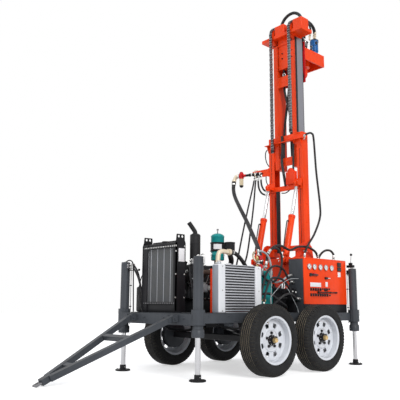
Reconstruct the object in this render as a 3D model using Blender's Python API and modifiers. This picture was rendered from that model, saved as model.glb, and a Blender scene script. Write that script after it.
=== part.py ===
"""A towed water well drilling rig on four wheels, in metres with +Z up.

+X is the rig's left side, -Y its drawbar end and +Y its drill head end. Places along Y
count from the middle between the two axles, and heights from the ground. One empty
shifts the whole rig along Y, so that its origin lies under the middle of its box.
"""

import math

import bmesh
import bpy
from mathutils import Matrix, Vector

# Clearances
FIT = 0.0003  # between pieces that rest on each other
RUNNING = 0.0008  # round a rod, a pin, a spindle or a slide shoe
PASSING = 0.006  # between pieces that move past each other

# Wheels and axles
TYRE_RADIUS = 0.320
TYRE_WIDTH = 0.190
RIM_SEAT_RADIUS = 0.203
RIM_LIP_RADIUS = 0.2216
RIM_WIDTH = 0.170
HUB_HEIGHT = TYRE_RADIUS
TRACK_HALF = 0.690
AXLE_SPACING = 0.7455
SPINDLE_RADIUS = 0.0195
AXLE_TUBE = 0.060
DRUM_RADIUS = 0.112
NUT_CIRCLE = 0.064
NUT_COUNT = 5
WINDOW_CIRCLE = 0.128
WINDOW_COUNT = 8
WHEEL_STEPS = 20

# Deck and frame
DECK_TOP = 0.555
DECK_THICKNESS = 0.006
DECK_HALF_WIDTH = 0.520
DECK_FRONT = -1.030
DECK_REAR = 1.150
RAIL_WIDTH = 0.050
RAIL_DEPTH = 0.080
BEAM_DEPTH = 0.095
FRONT_BEAM = (-1.150, -1.045)
REAR_BEAM = (1.160, 1.260)
CROSS_MEMBERS = (-0.62, -0.02, 0.62)

# Jacks
JACK_X = 0.536
JACK_FRONT_Y = -1.095
JACK_REAR_Y = 1.216
JACK_TUBE_RADIUS = 0.044
JACK_LOWER_RADIUS = 0.054
JACK_TOP = 1.035
JACK_BOTTOM = 0.356
SLEEVE_RADIUS = 0.0595
SLEEVE_TOP = 0.585
SLEEVE_BOTTOM = 0.456
ROD_RADIUS = 0.023
ROD_TOP = 0.770
FOOT_RADIUS = 0.0725
JACK_SIDES = 12
JACK_CORNERS = (
    # name, side, y
    ("front_left", 1, JACK_FRONT_Y),
    ("front_right", -1, JACK_FRONT_Y),
    ("rear_left", 1, JACK_REAR_Y),
    ("rear_right", -1, JACK_REAR_Y),
)

# Drawbar
DRAWBAR_HINGE_Y = -1.185
DRAWBAR_HINGE_Z = 0.510
DRAWBAR_HINGE_X = 0.300
DRAWBAR_REACH = 1.210  # from the hinge to the front of the tow eye
DRAWBAR_SECTION = 0.050
DRAWBAR_PIN = 0.012
TOW_EYE_THICKNESS = 0.016
TOW_EYE_BORE = 0.022
TOW_EYE_CHAMFER = 0.005
TOW_EYE_WIDTH = 0.064
GROUND_GAP = 0.0003  # under the tow eye
DRAWBAR_CROSS = (0.33, 0.74)  # shares of the reach at the two cross pieces

# Engine bay
RADIATOR_LOW = (-0.340, -1.040, 0.575)
RADIATOR_HIGH = (0.154, -0.910, 1.238)
RADIATOR_TANK = 0.090
CORE_LOW_X = -0.270
CORE_TUBES = 16
SHROUD_DEPTH = 0.060
ENGINE_LOW = (-0.300, -0.730, 0.640)
ENGINE_HIGH = (0.060, -0.160, 0.900)
MUFFLER_AT = (0.150, -0.790)
MUFFLER_RADIUS = 0.050
MUFFLER_HEIGHTS = (0.960, 1.289)
CLEANER_AT = (0.050, -0.400)
CLEANER_RADIUS = 0.071
CLEANER_HEIGHTS = (1.060, 1.347)
COOLER_Y = (-0.810, -0.245)
COOLER_X = (0.400, 0.500)
COOLER_TOP = 0.960
COOLER_TANK = 0.085
COOLER_BARS = 12
SCREEN_THICKNESS = 0.030

# Width of the mast and of the tower round it
OUTER_HALF = 0.250
TOWER_PLATE = 0.012
TOWER_X = OUTER_HALF + PASSING + 0.002
TOWER_OUTER = TOWER_X + TOWER_PLATE
CYLINDER_X = OUTER_HALF - 0.044
STRUT_X = OUTER_HALF - 0.010
CABINET_ROOM = 0.030  # from the tower to the cabinet beside it
TANK_ROOM = 0.040  # from the tower to the fuel tank beside it

# Control cabinet
CABINET_LOW = (TOWER_OUTER + CABINET_ROOM, 0.394, 0.641)
CABINET_HIGH = (0.500, 1.151, 1.120)
GAUGE_ROW_Z = 1.026
GAUGE_PLACES = (0.480, 0.568, 0.670, 0.767, 0.870)
GAUGE_RADIUS = 0.030

# Mast tower and mast
MAST_PIVOT_Y = 0.720
MAST_PIVOT_Z = 1.200
MAST_PIN_RADIUS = 0.020
MAST_FOOT = 1.170
OUTER_TOP = 2.594
OUTER_INNER_HALF = 0.171
OUTER_FRONT = 0.743
OUTER_REAR = 0.849
OUTER_WALL = 0.010
INNER_HALF = 0.165
INNER_INNER_HALF = 0.105
INNER_FRONT = 0.759
INNER_REAR = 0.907
INNER_FOOT = 2.200
INNER_TOP = 3.825
CYLINDER_BASE = (0.460, 1.106)
CYLINDER_EYE = (0.685, 1.980)
BARREL_RADIUS = 0.036
BARREL_LENGTH = 0.520
GLAND_RADIUS = BARREL_RADIUS + 0.004
TILT_ROD_RADIUS = 0.018
CROWN_HEIGHTS = (3.830, 3.990)
CHAIN_X = 0.140
CHAIN_WIDTH = 0.038
CHAIN_FRONT = 0.670
CHAIN_THICKNESS = 0.020
SHEAVE_RADIUS = 0.120
SHEAVE_AT = (CHAIN_FRONT + CHAIN_THICKNESS + SHEAVE_RADIUS, 3.880)
CHAIN_REAR_END = 3.790
SHOE_HEIGHTS = (2.300, 2.420)

# Drill head
HEAD_PLATE = (0.924, 0.936)
HEAD_PLATE_HEIGHTS = (3.260, 3.780)
GEARBOX_Y = (0.9363, 1.360)
GEARBOX_HEIGHTS = (3.575, 3.725)
GEARBOX_HALF = 0.150
MOTOR_AT = (0.070, 1.270)
MOTOR_RADIUS = 0.052
MOTOR_TOP = 3.940
SPINDLE_Y = 1.130
SPINDLE_DRILL_RADIUS = 0.038
SPINDLE_BOTTOM = 3.420

EYE_TOE = DRAWBAR_REACH - TOW_EYE_CHAMFER
EYE_SOLE = TOW_EYE_THICKNESS / 2
DRAWBAR_DROP = math.asin((DRAWBAR_HINGE_Z - GROUND_GAP) / math.hypot(EYE_TOE, EYE_SOLE)) - math.atan2(EYE_SOLE, EYE_TOE)

FINISHES = {
    # name: colour, roughness, metallic
    "orange_paint": ((0.870, 0.100, 0.020, 1), 0.35, 0.0),
    "frame_grey": ((0.065, 0.072, 0.080, 1), 0.40, 0.0),
    "black_paint": ((0.015, 0.015, 0.017, 1), 0.40, 0.0),
    "rubber": ((0.020, 0.020, 0.021, 1), 0.75, 0.0),
    "rim_white": ((0.780, 0.790, 0.800, 1), 0.30, 0.0),
    "chrome": ((0.800, 0.800, 0.800, 1), 0.12, 1.0),
    "bare_steel": ((0.400, 0.420, 0.450, 1), 0.35, 1.0),
    "aluminium": ((0.680, 0.690, 0.700, 1), 0.35, 1.0),
    "teal_paint": ((0.010, 0.240, 0.230, 1), 0.30, 0.0),
    "blue_paint": ((0.010, 0.090, 0.280, 1), 0.30, 0.0),
    "red_paint": ((0.550, 0.010, 0.015, 1), 0.30, 0.0),
}


def collection(name, parent):
    made = bpy.data.collections.new(name)
    parent.children.link(made)
    return made


def clear_scene():
    for obj in list(bpy.data.objects):
        bpy.data.objects.remove(obj)


def make_finish(name):
    colour, roughness, metallic = FINISHES[name]
    material = bpy.data.materials.new(name)
    material.use_nodes = True
    shader = material.node_tree.nodes["Principled BSDF"]
    shader.inputs["Base Color"].default_value = colour
    shader.inputs["Roughness"].default_value = roughness
    shader.inputs["Metallic"].default_value = metallic
    material.diffuse_color = colour
    return material


clear_scene()
RIG = collection("water_well_drilling_rig", bpy.context.scene.collection)
CUTTERS = collection("joined_and_cut_shapes", bpy.context.scene.collection)
MATERIALS = {name: make_finish(name) for name in FINISHES}


def loose(mesh, smooth=False):
    """A helper object for one mesh, which node() joins or cuts with later."""
    obj = bpy.data.objects.new("shape", mesh)
    CUTTERS.objects.link(obj)
    if smooth:
        mesh.shade_smooth()
        mesh.set_sharp_from_angle(angle=math.radians(35))
    return obj


def from_bmesh(bm, smooth=False):
    mesh = bpy.data.meshes.new("shape")
    bmesh.ops.recalc_face_normals(bm, faces=bm.faces)
    bm.to_mesh(mesh)
    bm.free()
    return loose(mesh, smooth)


def block(low, high, bevel=0.0):
    """A box between two corners, with its edges chamfered by the bevel."""
    low, high = Vector(low), Vector(high)
    bm = bmesh.new()
    bmesh.ops.create_cube(bm, size=1.0)
    bmesh.ops.scale(bm, vec=high - low, verts=bm.verts)
    bmesh.ops.translate(bm, vec=(low + high) / 2, verts=bm.verts)
    obj = from_bmesh(bm)
    if bevel:
        round_edges(obj, bevel)
    return obj


def round_edges(obj, width, segments=1):
    bevel = obj.modifiers.new("edges", "BEVEL")
    bevel.width = width
    bevel.segments = segments
    bevel.limit_method = "ANGLE"
    return obj


def along(start, end):
    """The matrix that takes a shape standing on the origin to start, with its top at end."""
    start, end = Vector(start), Vector(end)
    turn = (end - start).to_track_quat("Z", "Y").to_matrix().to_4x4()
    return Matrix.Translation(start) @ turn


def bar(start, end, radius, sides=16, end_radius=None):
    """A round bar or a cone between two points."""
    start, end = Vector(start), Vector(end)
    bm = bmesh.new()
    top = radius if end_radius is None else end_radius
    length = (end - start).length
    bmesh.ops.create_cone(
        bm, cap_ends=True, segments=sides, radius1=radius, radius2=top, depth=length
    )
    bmesh.ops.translate(bm, vec=(0, 0, length / 2), verts=bm.verts)
    bmesh.ops.transform(bm, matrix=along(start, end), verts=bm.verts)
    return from_bmesh(bm, smooth=True)


def beam(start, end, width, depth):
    """A straight box section between two points, its width across and its depth upwards."""
    start, end = Vector(start), Vector(end)
    bm = bmesh.new()
    bmesh.ops.create_cube(bm, size=1.0)
    length = (end - start).length
    bmesh.ops.scale(bm, vec=(width, depth, length), verts=bm.verts)
    bmesh.ops.translate(bm, vec=(0, 0, length / 2), verts=bm.verts)
    forward = (end - start).normalized()
    across = forward.cross(Vector((0, 0, 1)))
    across = across.normalized() if across.length > 1e-6 else Vector((1, 0, 0))
    upward = across.cross(forward)
    turn = Matrix((across, upward, forward)).transposed().to_4x4()
    bmesh.ops.transform(bm, matrix=Matrix.Translation(start) @ turn, verts=bm.verts)
    return from_bmesh(bm)


def turned(profile, at, axis="Z", steps=24, closed=False):
    """A turned shape from (radius, height) points, which run down its outer side."""
    mesh = bpy.data.meshes.new("profile")
    edges = [(i, i + 1) for i in range(len(profile) - 1)]
    if closed:
        edges.append((len(profile) - 1, 0))
    mesh.from_pydata([(radius, 0, height) for radius, height in profile], edges, [])
    obj = loose(mesh)
    screw = obj.modifiers.new("turn", "SCREW")
    screw.steps = steps
    screw.render_steps = steps
    screw.use_merge_vertices = True
    screw.merge_threshold = 0.00005
    screw.use_smooth_shade = True
    turns = {"Z": (0, 0, 0), "X": (0, math.pi / 2, 0), "-X": (0, -math.pi / 2, 0), "Y": (-math.pi / 2, 0, 0)}
    obj.rotation_euler = turns[axis]
    obj.location = at
    return obj


def meshed(curve_object):
    """The curve's own mesh, with its caps welded on, in place of the curve."""
    graph = bpy.context.evaluated_depsgraph_get()
    mesh = bpy.data.meshes.new_from_object(curve_object.evaluated_get(graph))
    bm = bmesh.new()
    bm.from_mesh(mesh)
    bmesh.ops.remove_doubles(bm, verts=bm.verts, dist=0.00002)
    bmesh.ops.recalc_face_normals(bm, faces=bm.faces)
    bm.to_mesh(mesh)
    bm.free()
    made = loose(mesh)
    made.matrix_world = curve_object.matrix_world.copy()
    bpy.data.objects.remove(curve_object)
    return made


PLANES = {
    # plane: the outline's first and second axis, and the way its thickness grows
    "YZ": Matrix(((0, 0, 1, 0), (1, 0, 0, 0), (0, 1, 0, 0), (0, 0, 0, 1))),
    "XZ": Matrix(((1, 0, 0, 0), (0, 0, -1, 0), (0, 1, 0, 0), (0, 0, 0, 1))),
    "XY": Matrix.Identity(4),
}
NORMALS = {"YZ": Vector((1, 0, 0)), "XZ": Vector((0, -1, 0)), "XY": Vector((0, 0, 1))}


def plate(outline, plane, middle, thickness):
    """A flat plate from its outline in one plane, with the middle of its thickness at middle."""
    curve = bpy.data.curves.new("outline", "CURVE")
    curve.dimensions = "2D"
    curve.fill_mode = "BOTH"
    curve.extrude = thickness / 2
    spline = curve.splines.new("POLY")
    spline.points.add(len(outline) - 1)
    for point, (u, v) in zip(spline.points, outline):
        point.co = (u, v, 0, 1)
    spline.use_cyclic_u = True
    obj = bpy.data.objects.new("outline", curve)
    CUTTERS.objects.link(obj)
    offset = NORMALS[plane] * (middle if plane != "XZ" else -middle)
    obj.matrix_world = Matrix.Translation(offset) @ PLANES[plane]
    return meshed(obj)


def smooth_route(route, step):
    """Points about a step apart on one smooth curve through the route's own points."""
    points = [Vector(p) for p in route]
    ends = [2 * points[0] - points[1]] + points + [2 * points[-1] - points[-2]]
    found = [points[0]]
    for before, start, end, after in zip(ends, ends[1:], ends[2:], ends[3:]):
        count = max(1, round((end - start).length / step))
        for i in range(1, count + 1):
            t = i / count
            found.append(
                0.5
                * (
                    2 * start
                    + (end - before) * t
                    + (2 * before - 5 * start + 4 * end - after) * t * t
                    + (3 * start - before - 3 * end + after) * t**3
                )
            )
    return found


def tube(points, radius, resolution=2):
    """A round tube along the points, as a curve with filled caps."""
    curve = bpy.data.curves.new("tube", "CURVE")
    curve.dimensions = "3D"
    curve.bevel_depth = radius
    curve.bevel_resolution = resolution
    curve.use_fill_caps = True
    spline = curve.splines.new("POLY")
    spline.points.add(len(points) - 1)
    for point, place in zip(spline.points, points):
        point.co = (*place, 1)
    obj = bpy.data.objects.new("tube", curve)
    CUTTERS.objects.link(obj)
    return obj


JOINTS = {}


def joint(name, pivot=(0, 0, 0), parent=None):
    """An empty on a joint's axis, which carries the pieces that move with it."""
    empty = bpy.data.objects.new(name, None)
    empty.empty_display_size = 0.1
    RIG.objects.link(empty)
    pivot = Vector(pivot)
    if parent:
        empty.parent = JOINTS[parent][0]
        empty.location = pivot - JOINTS[parent][1]
    else:
        empty.location = pivot
    JOINTS[name] = (empty, pivot)
    return empty


def carry(obj, joint_name):
    empty, pivot = JOINTS[joint_name]
    obj.parent = empty
    obj.matrix_parent_inverse = Matrix.Translation(-pivot)


def node(name, joint_name, finish, shapes, holes=()):
    """One solid sub-part: the shapes joined, less the holes, carried by a joint's empty."""
    body, joined = shapes[0], shapes[1:]
    body.name = name
    body.data.name = name
    for operation, others in (("UNION", joined), ("DIFFERENCE", holes)):
        if not others:
            continue
        helpers = collection(f"{name}_{operation.lower()}", CUTTERS)
        for number, other in enumerate(others):
            other.name = f"{name}_{operation.lower()}_{number}"
            CUTTERS.objects.unlink(other)
            helpers.objects.link(other)
            other.hide_render = True
            other.display_type = "WIRE"
            carry(other, joint_name)
        cut = body.modifiers.new(operation.lower(), "BOOLEAN")
        cut.operation = operation
        cut.solver = "EXACT"
        cut.operand_type = "COLLECTION"
        cut.collection = helpers
    CUTTERS.objects.unlink(body)
    RIG.objects.link(body)
    carry(body, joint_name)
    body.data.materials.clear()
    body.data.materials.append(MATERIALS[finish])
    return body


def both_sides(make):
    """The same shapes on the left and on the right, from a function of the side."""
    return [shape for side in (1, -1) for shape in make(side)]


def build_frame():
    top = DECK_TOP - DECK_THICKNESS - FIT
    bottom = top - RAIL_DEPTH
    rail_outer = JACK_X - 0.010
    shapes = [block((-rail_outer, FRONT_BEAM[0], top - BEAM_DEPTH), (rail_outer, FRONT_BEAM[1], top))]
    shapes.append(block((-rail_outer, REAR_BEAM[0], bottom), (rail_outer, REAR_BEAM[1], top)))

    def side_shapes(side):
        low = min(side * rail_outer, side * (rail_outer - RAIL_WIDTH))
        rail = block((low, FRONT_BEAM[0] + 0.010, bottom), (low + RAIL_WIDTH, REAR_BEAM[1] - 0.010, top))
        sleeves = [
            bar((side * JACK_X, y, SLEEVE_BOTTOM), (side * JACK_X, y, SLEEVE_TOP), SLEEVE_RADIUS, JACK_SIDES)
            for y in (JACK_FRONT_Y, JACK_REAR_Y)
        ]
        ears = [
            block(
                (side * DRAWBAR_HINGE_X + offset - 0.005, DRAWBAR_HINGE_Y - 0.022, DRAWBAR_HINGE_Z - 0.030),
                (side * DRAWBAR_HINGE_X + offset + 0.005, FRONT_BEAM[0] + 0.010, DRAWBAR_HINGE_Z + 0.030),
            )
            for offset in (-EAR_OFFSET, EAR_OFFSET)
        ]
        pin = bar(
            (side * DRAWBAR_HINGE_X - EAR_OFFSET - 0.014, DRAWBAR_HINGE_Y, DRAWBAR_HINGE_Z),
            (side * DRAWBAR_HINGE_X + EAR_OFFSET + 0.014, DRAWBAR_HINGE_Y, DRAWBAR_HINGE_Z),
            DRAWBAR_PIN,
            12,
        )
        hangers = [
            block((side * SPRING_X - 0.030, y - 0.030, HANGER_BOTTOM), (side * SPRING_X + 0.030, y + 0.030, bottom + 0.010))
            for y in (-AXLE_SPACING / 2 - SPRING_HALF, 0.0, AXLE_SPACING / 2 + SPRING_HALF)
        ]
        return [rail, *sleeves, *ears, pin, *hangers]

    shapes += both_sides(side_shapes)
    inner = rail_outer - 0.010
    for y in CROSS_MEMBERS:
        shapes.append(block((-inner, y - 0.025, bottom + 0.010), (inner, y + 0.025, top - 0.001)))
    holes = [
        bar((side * JACK_X, y, SLEEVE_BOTTOM - 0.02), (side * JACK_X, y, SLEEVE_TOP + 0.02), JACK_LOWER_RADIUS + FIT, JACK_SIDES)
        for side in (1, -1)
        for y in (JACK_FRONT_Y, JACK_REAR_Y)
    ]
    node("chassis_frame", "chassis", "frame_grey", shapes, holes)
    deck = block((-DECK_HALF_WIDTH, DECK_FRONT, DECK_TOP - DECK_THICKNESS), (DECK_HALF_WIDTH, DECK_REAR, DECK_TOP))
    node("deck_plate", "chassis", "frame_grey", [deck])


EAR_OFFSET = DRAWBAR_SECTION / 2 + PASSING + 0.005
SPRING_X = 0.480
SPRING_HALF = 0.300
HANGER_BOTTOM = 0.440
SPRING_LEAF = 0.010
SPRING_LEAVES = 2
SPRING_WIDTH = 0.045


def build_running_gear():
    inner_face = TRACK_HALF - 0.060 - PASSING
    for name, y in (("front", -AXLE_SPACING / 2), ("rear", AXLE_SPACING / 2)):
        half = AXLE_TUBE / 2
        shapes = [
            block((-inner_face, y - half, HUB_HEIGHT - half), (inner_face, y + half, HUB_HEIGHT + half), 0.006)
        ]
        shapes.append(
            bar((-TRACK_HALF - 0.015, y, HUB_HEIGHT), (TRACK_HALF + 0.015, y, HUB_HEIGHT), SPINDLE_RADIUS, 16)
        )
        node(f"axle_{name}", "chassis", "black_paint", shapes)
    for name, side in (("left", 1), ("right", -1)):
        shapes = []
        seat = HUB_HEIGHT + AXLE_TUBE / 2 + FIT
        for y in (-AXLE_SPACING / 2, AXLE_SPACING / 2):
            for leaf in range(SPRING_LEAVES):
                reach = SPRING_HALF - 0.070 * (SPRING_LEAVES - 1 - leaf) + 0.012 * (leaf == SPRING_LEAVES - 1)
                low = seat + leaf * SPRING_LEAF * 0.98
                rise = 0.30 * (reach / SPRING_HALF) ** 2 * 0.16
                outline = spring_leaf(y, reach, low, rise)
                shapes.append(plate(outline, "YZ", side * SPRING_X, SPRING_WIDTH))
        joined = [block(
            (side * SPRING_X - SPRING_WIDTH / 2 + 0.001, -0.080, seat + 0.036),
            (side * SPRING_X + SPRING_WIDTH / 2 - 0.001, 0.080, HANGER_BOTTOM - FIT),
        )]
        node(f"leaf_springs_{name}", "chassis", "black_paint", shapes + joined)


def spring_leaf(centre, reach, low, rise):
    """One leaf as a shallow arch whose ends rise above its middle."""
    count = 4
    lower = []
    for i in range(count + 1):
        u = -1 + 2 * i / count
        lower.append((centre + reach * u, low + rise * u * u))
    upper = [(y, z + SPRING_LEAF) for y, z in reversed(lower)]
    return lower + upper


def wheel_profile():
    """Half section of the disc wheel with its hub and brake drum, from the cap to the spindle's bore."""
    lip = RIM_WIDTH / 2
    bore = SPINDLE_RADIUS + RUNNING
    return [
        (0, 0.094), (0.022, 0.094), (0.022, 0.086), (0.040, 0.086), (0.041, 0.032),
        (0.095, 0.036), (0.150, 0.010), (0.178, 0.014), (RIM_SEAT_RADIUS - 0.007, lip - 0.007),
        (RIM_LIP_RADIUS - 0.007, lip), (RIM_LIP_RADIUS, lip - 0.001),
        (RIM_LIP_RADIUS, lip - 0.006), (RIM_SEAT_RADIUS, lip - 0.007),
        (RIM_SEAT_RADIUS, -lip + 0.007), (RIM_LIP_RADIUS, -lip + 0.006), (RIM_LIP_RADIUS, -lip),
        (RIM_SEAT_RADIUS - 0.007, -lip + 0.007), (0.184, 0.000), (0.150, 0.002), (DRUM_RADIUS, 0.020),
        (DRUM_RADIUS, -0.055), (bore, -0.055), (bore, 0.022), (0, 0.022),
    ]


def tyre_profile():
    """Section of the tyre as a closed loop, from the tread's edge down the outer side and back inside."""
    half = TYRE_WIDTH / 2
    bead = RIM_WIDTH / 2 - 0.007 - FIT
    top = [
        (RIM_SEAT_RADIUS + FIT, bead), (RIM_LIP_RADIUS + 0.004, bead), (RIM_LIP_RADIUS + 0.012, half - 0.010),
        (TYRE_RADIUS - 0.050, half), (TYRE_RADIUS - 0.010, half - 0.014), (TYRE_RADIUS, half - 0.032),
    ]
    return top + [(radius, -height) for radius, height in reversed(top)]


def build_wheels():
    for name, side, y in (
        ("front_left", 1, -AXLE_SPACING / 2),
        ("front_right", -1, -AXLE_SPACING / 2),
        ("rear_left", 1, AXLE_SPACING / 2),
        ("rear_right", -1, AXLE_SPACING / 2),
    ):
        hub = (side * TRACK_HALF, y, HUB_HEIGHT)
        joint(f"wheel_{name}", hub, "rig")
        axis = "X" if side > 0 else "-X"
        tyre = turned(tyre_profile(), hub, axis, steps=WHEEL_STEPS, closed=True)
        node(f"tyre_{name}", f"wheel_{name}", "rubber", [tyre])
        disc = turned(wheel_profile(), hub, axis, steps=WHEEL_STEPS)
        nuts = []
        for number in range(NUT_COUNT):
            angle = 2 * math.pi * number / NUT_COUNT
            place = Vector((0, NUT_CIRCLE * math.cos(angle), NUT_CIRCLE * math.sin(angle)))
            inner = Vector(hub) + place + Vector((side * 0.030, 0, 0))
            nuts.append(bar(inner, inner + Vector((side * 0.022, 0, 0)), 0.011, 6))
        windows = []
        for number in range(WINDOW_COUNT):
            angle = 2 * math.pi * (number + 0.5) / WINDOW_COUNT
            place = Vector((0, WINDOW_CIRCLE * math.cos(angle), WINDOW_CIRCLE * math.sin(angle)))
            inner = Vector(hub) + place - Vector((side * 0.040, 0, 0))
            windows.append(bar(inner, inner + Vector((side * 0.120, 0, 0)), 0.0155, 6))
        node(f"wheel_disc_{name}", f"wheel_{name}", "rim_white", [disc, *nuts], windows)


def build_jacks():
    bore = ROD_RADIUS + RUNNING
    for name, side, y in JACK_CORNERS:
        at = (side * JACK_X, y, 0)
        barrel = turned(
            [
                (0, JACK_TOP), (JACK_TUBE_RADIUS - 0.008, JACK_TOP), (JACK_TUBE_RADIUS, JACK_TOP - 0.010),
                (JACK_TUBE_RADIUS, SLEEVE_TOP + 0.040), (SLEEVE_RADIUS - 0.006, SLEEVE_TOP + 0.022),
                (SLEEVE_RADIUS - 0.001, SLEEVE_TOP + 0.018), (SLEEVE_RADIUS - 0.001, SLEEVE_TOP + FIT),
                (JACK_LOWER_RADIUS, SLEEVE_TOP + FIT), (JACK_LOWER_RADIUS, JACK_BOTTOM + 0.004),
                (JACK_LOWER_RADIUS - 0.004, JACK_BOTTOM), (bore, JACK_BOTTOM), (bore, JACK_TOP - 0.020),
                (0, JACK_TOP - 0.020),
            ],
            at,
            steps=JACK_SIDES,
        )
        node(f"jack_barrel_{name}", "chassis", "frame_grey", [barrel])
        joint(f"jack_{name}", at, "rig")
        leg = turned(
            [
                (0, ROD_TOP), (ROD_RADIUS, ROD_TOP), (ROD_RADIUS, 0.090), (0.036, 0.086), (0.036, 0.062),
                (0.046, 0.050), (0.048, 0.016), (FOOT_RADIUS, 0.012), (FOOT_RADIUS, 0.000), (0, 0.000),
            ],
            at,
            steps=JACK_SIDES,
        )
        node(f"jack_leg_{name}", f"jack_{name}", "chrome", [leg])


def build_drawbar():
    """The A-frame is drawn level and straight ahead, and its empty turns it down to the ground."""
    hinge = joint("drawbar_hinge", (0, DRAWBAR_HINGE_Y, DRAWBAR_HINGE_Z), "rig")
    hinge.rotation_euler = (DRAWBAR_DROP, 0, 0)
    half = DRAWBAR_SECTION / 2
    tip = DRAWBAR_HINGE_Y - DRAWBAR_REACH
    leg_end = (0.026, tip + 0.130)
    shapes = [
        block((-0.030, tip + 0.060 + FIT, DRAWBAR_HINGE_Z - half), (0.030, tip + 0.150, DRAWBAR_HINGE_Z + half))
    ]

    def side_shapes(side):
        start = Vector((side * DRAWBAR_HINGE_X, DRAWBAR_HINGE_Y + 0.0, DRAWBAR_HINGE_Z))
        knee = Vector((side * DRAWBAR_HINGE_X, DRAWBAR_HINGE_Y - 0.060, DRAWBAR_HINGE_Z))
        end = Vector((side * leg_end[0], leg_end[1], DRAWBAR_HINGE_Z))
        lug = beam(start + Vector((0, 0.020, 0)), knee, DRAWBAR_SECTION, DRAWBAR_SECTION)
        leg = beam(knee + Vector((0, 0.020, 0)), end, DRAWBAR_SECTION - 0.002, DRAWBAR_SECTION - 0.002)
        return [lug, leg]

    shapes += both_sides(side_shapes)
    for share in DRAWBAR_CROSS:
        y = DRAWBAR_HINGE_Y - share * DRAWBAR_REACH
        reach = DRAWBAR_HINGE_X + (leg_end[0] - DRAWBAR_HINGE_X) * (y - DRAWBAR_HINGE_Y + 0.04) / (leg_end[1] - DRAWBAR_HINGE_Y + 0.04)
        shapes.append(
            block(
                (-reach, y - 0.022, DRAWBAR_HINGE_Z - half + 0.004),
                (reach, y + 0.022, DRAWBAR_HINGE_Z + half - 0.004),
            )
        )
    eye = TOW_EYE_THICKNESS / 2
    wide = TOW_EYE_WIDTH / 2
    ring = block((-wide, tip, DRAWBAR_HINGE_Z - eye), (wide, tip + 0.060, DRAWBAR_HINGE_Z + eye), TOW_EYE_CHAMFER)
    through = bar((0, tip + 0.028, DRAWBAR_HINGE_Z - 0.05), (0, tip + 0.028, DRAWBAR_HINGE_Z + 0.05), TOW_EYE_BORE / 2, 16)
    node("tow_eye", "drawbar_hinge", "bare_steel", [ring], [through])
    holes = [
        bar(
            (-DRAWBAR_HINGE_X - 0.1, DRAWBAR_HINGE_Y, DRAWBAR_HINGE_Z),
            (DRAWBAR_HINGE_X + 0.1, DRAWBAR_HINGE_Y, DRAWBAR_HINGE_Z),
            DRAWBAR_PIN + RUNNING,
            16,
        ),
    ]
    node("drawbar", "drawbar_hinge", "frame_grey", shapes, holes)


def build_radiator():
    low, high = Vector(RADIATOR_LOW), Vector(RADIATOR_HIGH)
    front, rear = low.y, high.y
    bottom = DECK_TOP + FIT
    shapes = [block((low.x, front, bottom), (high.x, rear, low.z + RADIATOR_TANK))]
    shapes.append(block((low.x, front, high.z - RADIATOR_TANK), (high.x, rear, high.z), 0.010))
    shapes.append(block((low.x, front + 0.010, low.z), (CORE_LOW_X, rear - 0.005, high.z - 0.02)))
    shapes.append(block((high.x - 0.040, front + 0.010, low.z), (high.x, rear - 0.005, high.z - 0.02)))
    core_low, core_high = CORE_LOW_X - 0.005, high.x - 0.035
    shapes.append(block((core_low, front + 0.035, low.z), (core_high, rear - 0.020, high.z - 0.02)))
    pitch = (core_high - core_low) / CORE_TUBES
    for number in range(CORE_TUBES):
        x = core_low + (number + 0.5) * pitch
        shapes.append(
            block((x - pitch * 0.25, front + 0.012, low.z + RADIATOR_TANK - 0.01), (x + pitch * 0.25, front + 0.045, high.z - RADIATOR_TANK + 0.01))
        )
    for x in (low.x + 0.030, high.x - 0.080):
        shapes.append(block((x, front + 0.020, high.z - 0.010), (x + 0.060, front + 0.028, high.z + 0.035)))
    middle = (low.x + high.x) / 2
    shapes.append(bar((middle, front + 0.06, high.z - 0.01), (middle, front + 0.06, high.z + 0.022), 0.026, 12))
    node("radiator", "chassis", "black_paint", shapes)
    shroud_low = rear + FIT
    shroud = [
        block((low.x + 0.010, shroud_low, low.z + 0.030), (high.x - 0.010, shroud_low + SHROUD_DEPTH, high.z - 0.030), 0.015)
    ]
    centre = FAN_CENTRE
    opening = bar((centre[0], shroud_low - 0.02, centre[1]), (centre[0], shroud_low + SHROUD_DEPTH + 0.02, centre[1]), FAN_RADIUS + 0.012, 24)
    node("fan_shroud", "chassis", "black_paint", shroud, [opening])
    y = shroud_low + 0.030
    fan = [bar((centre[0], y, centre[1]), (centre[0], ENGINE_LOW[1] - FIT, centre[1]), 0.040, 12)]
    for number in range(6):
        angle = math.pi * number / 3
        direction = Vector((math.cos(angle), 0, math.sin(angle)))
        hub = Vector((centre[0], y + 0.018, centre[1]))
        fan.append(beam(hub, hub + direction * FAN_RADIUS, 0.030, 0.006))
    node("cooling_fan", "chassis", "black_paint", fan)


FAN_CENTRE = (-0.100, 0.880)
FAN_RADIUS = 0.190


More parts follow.
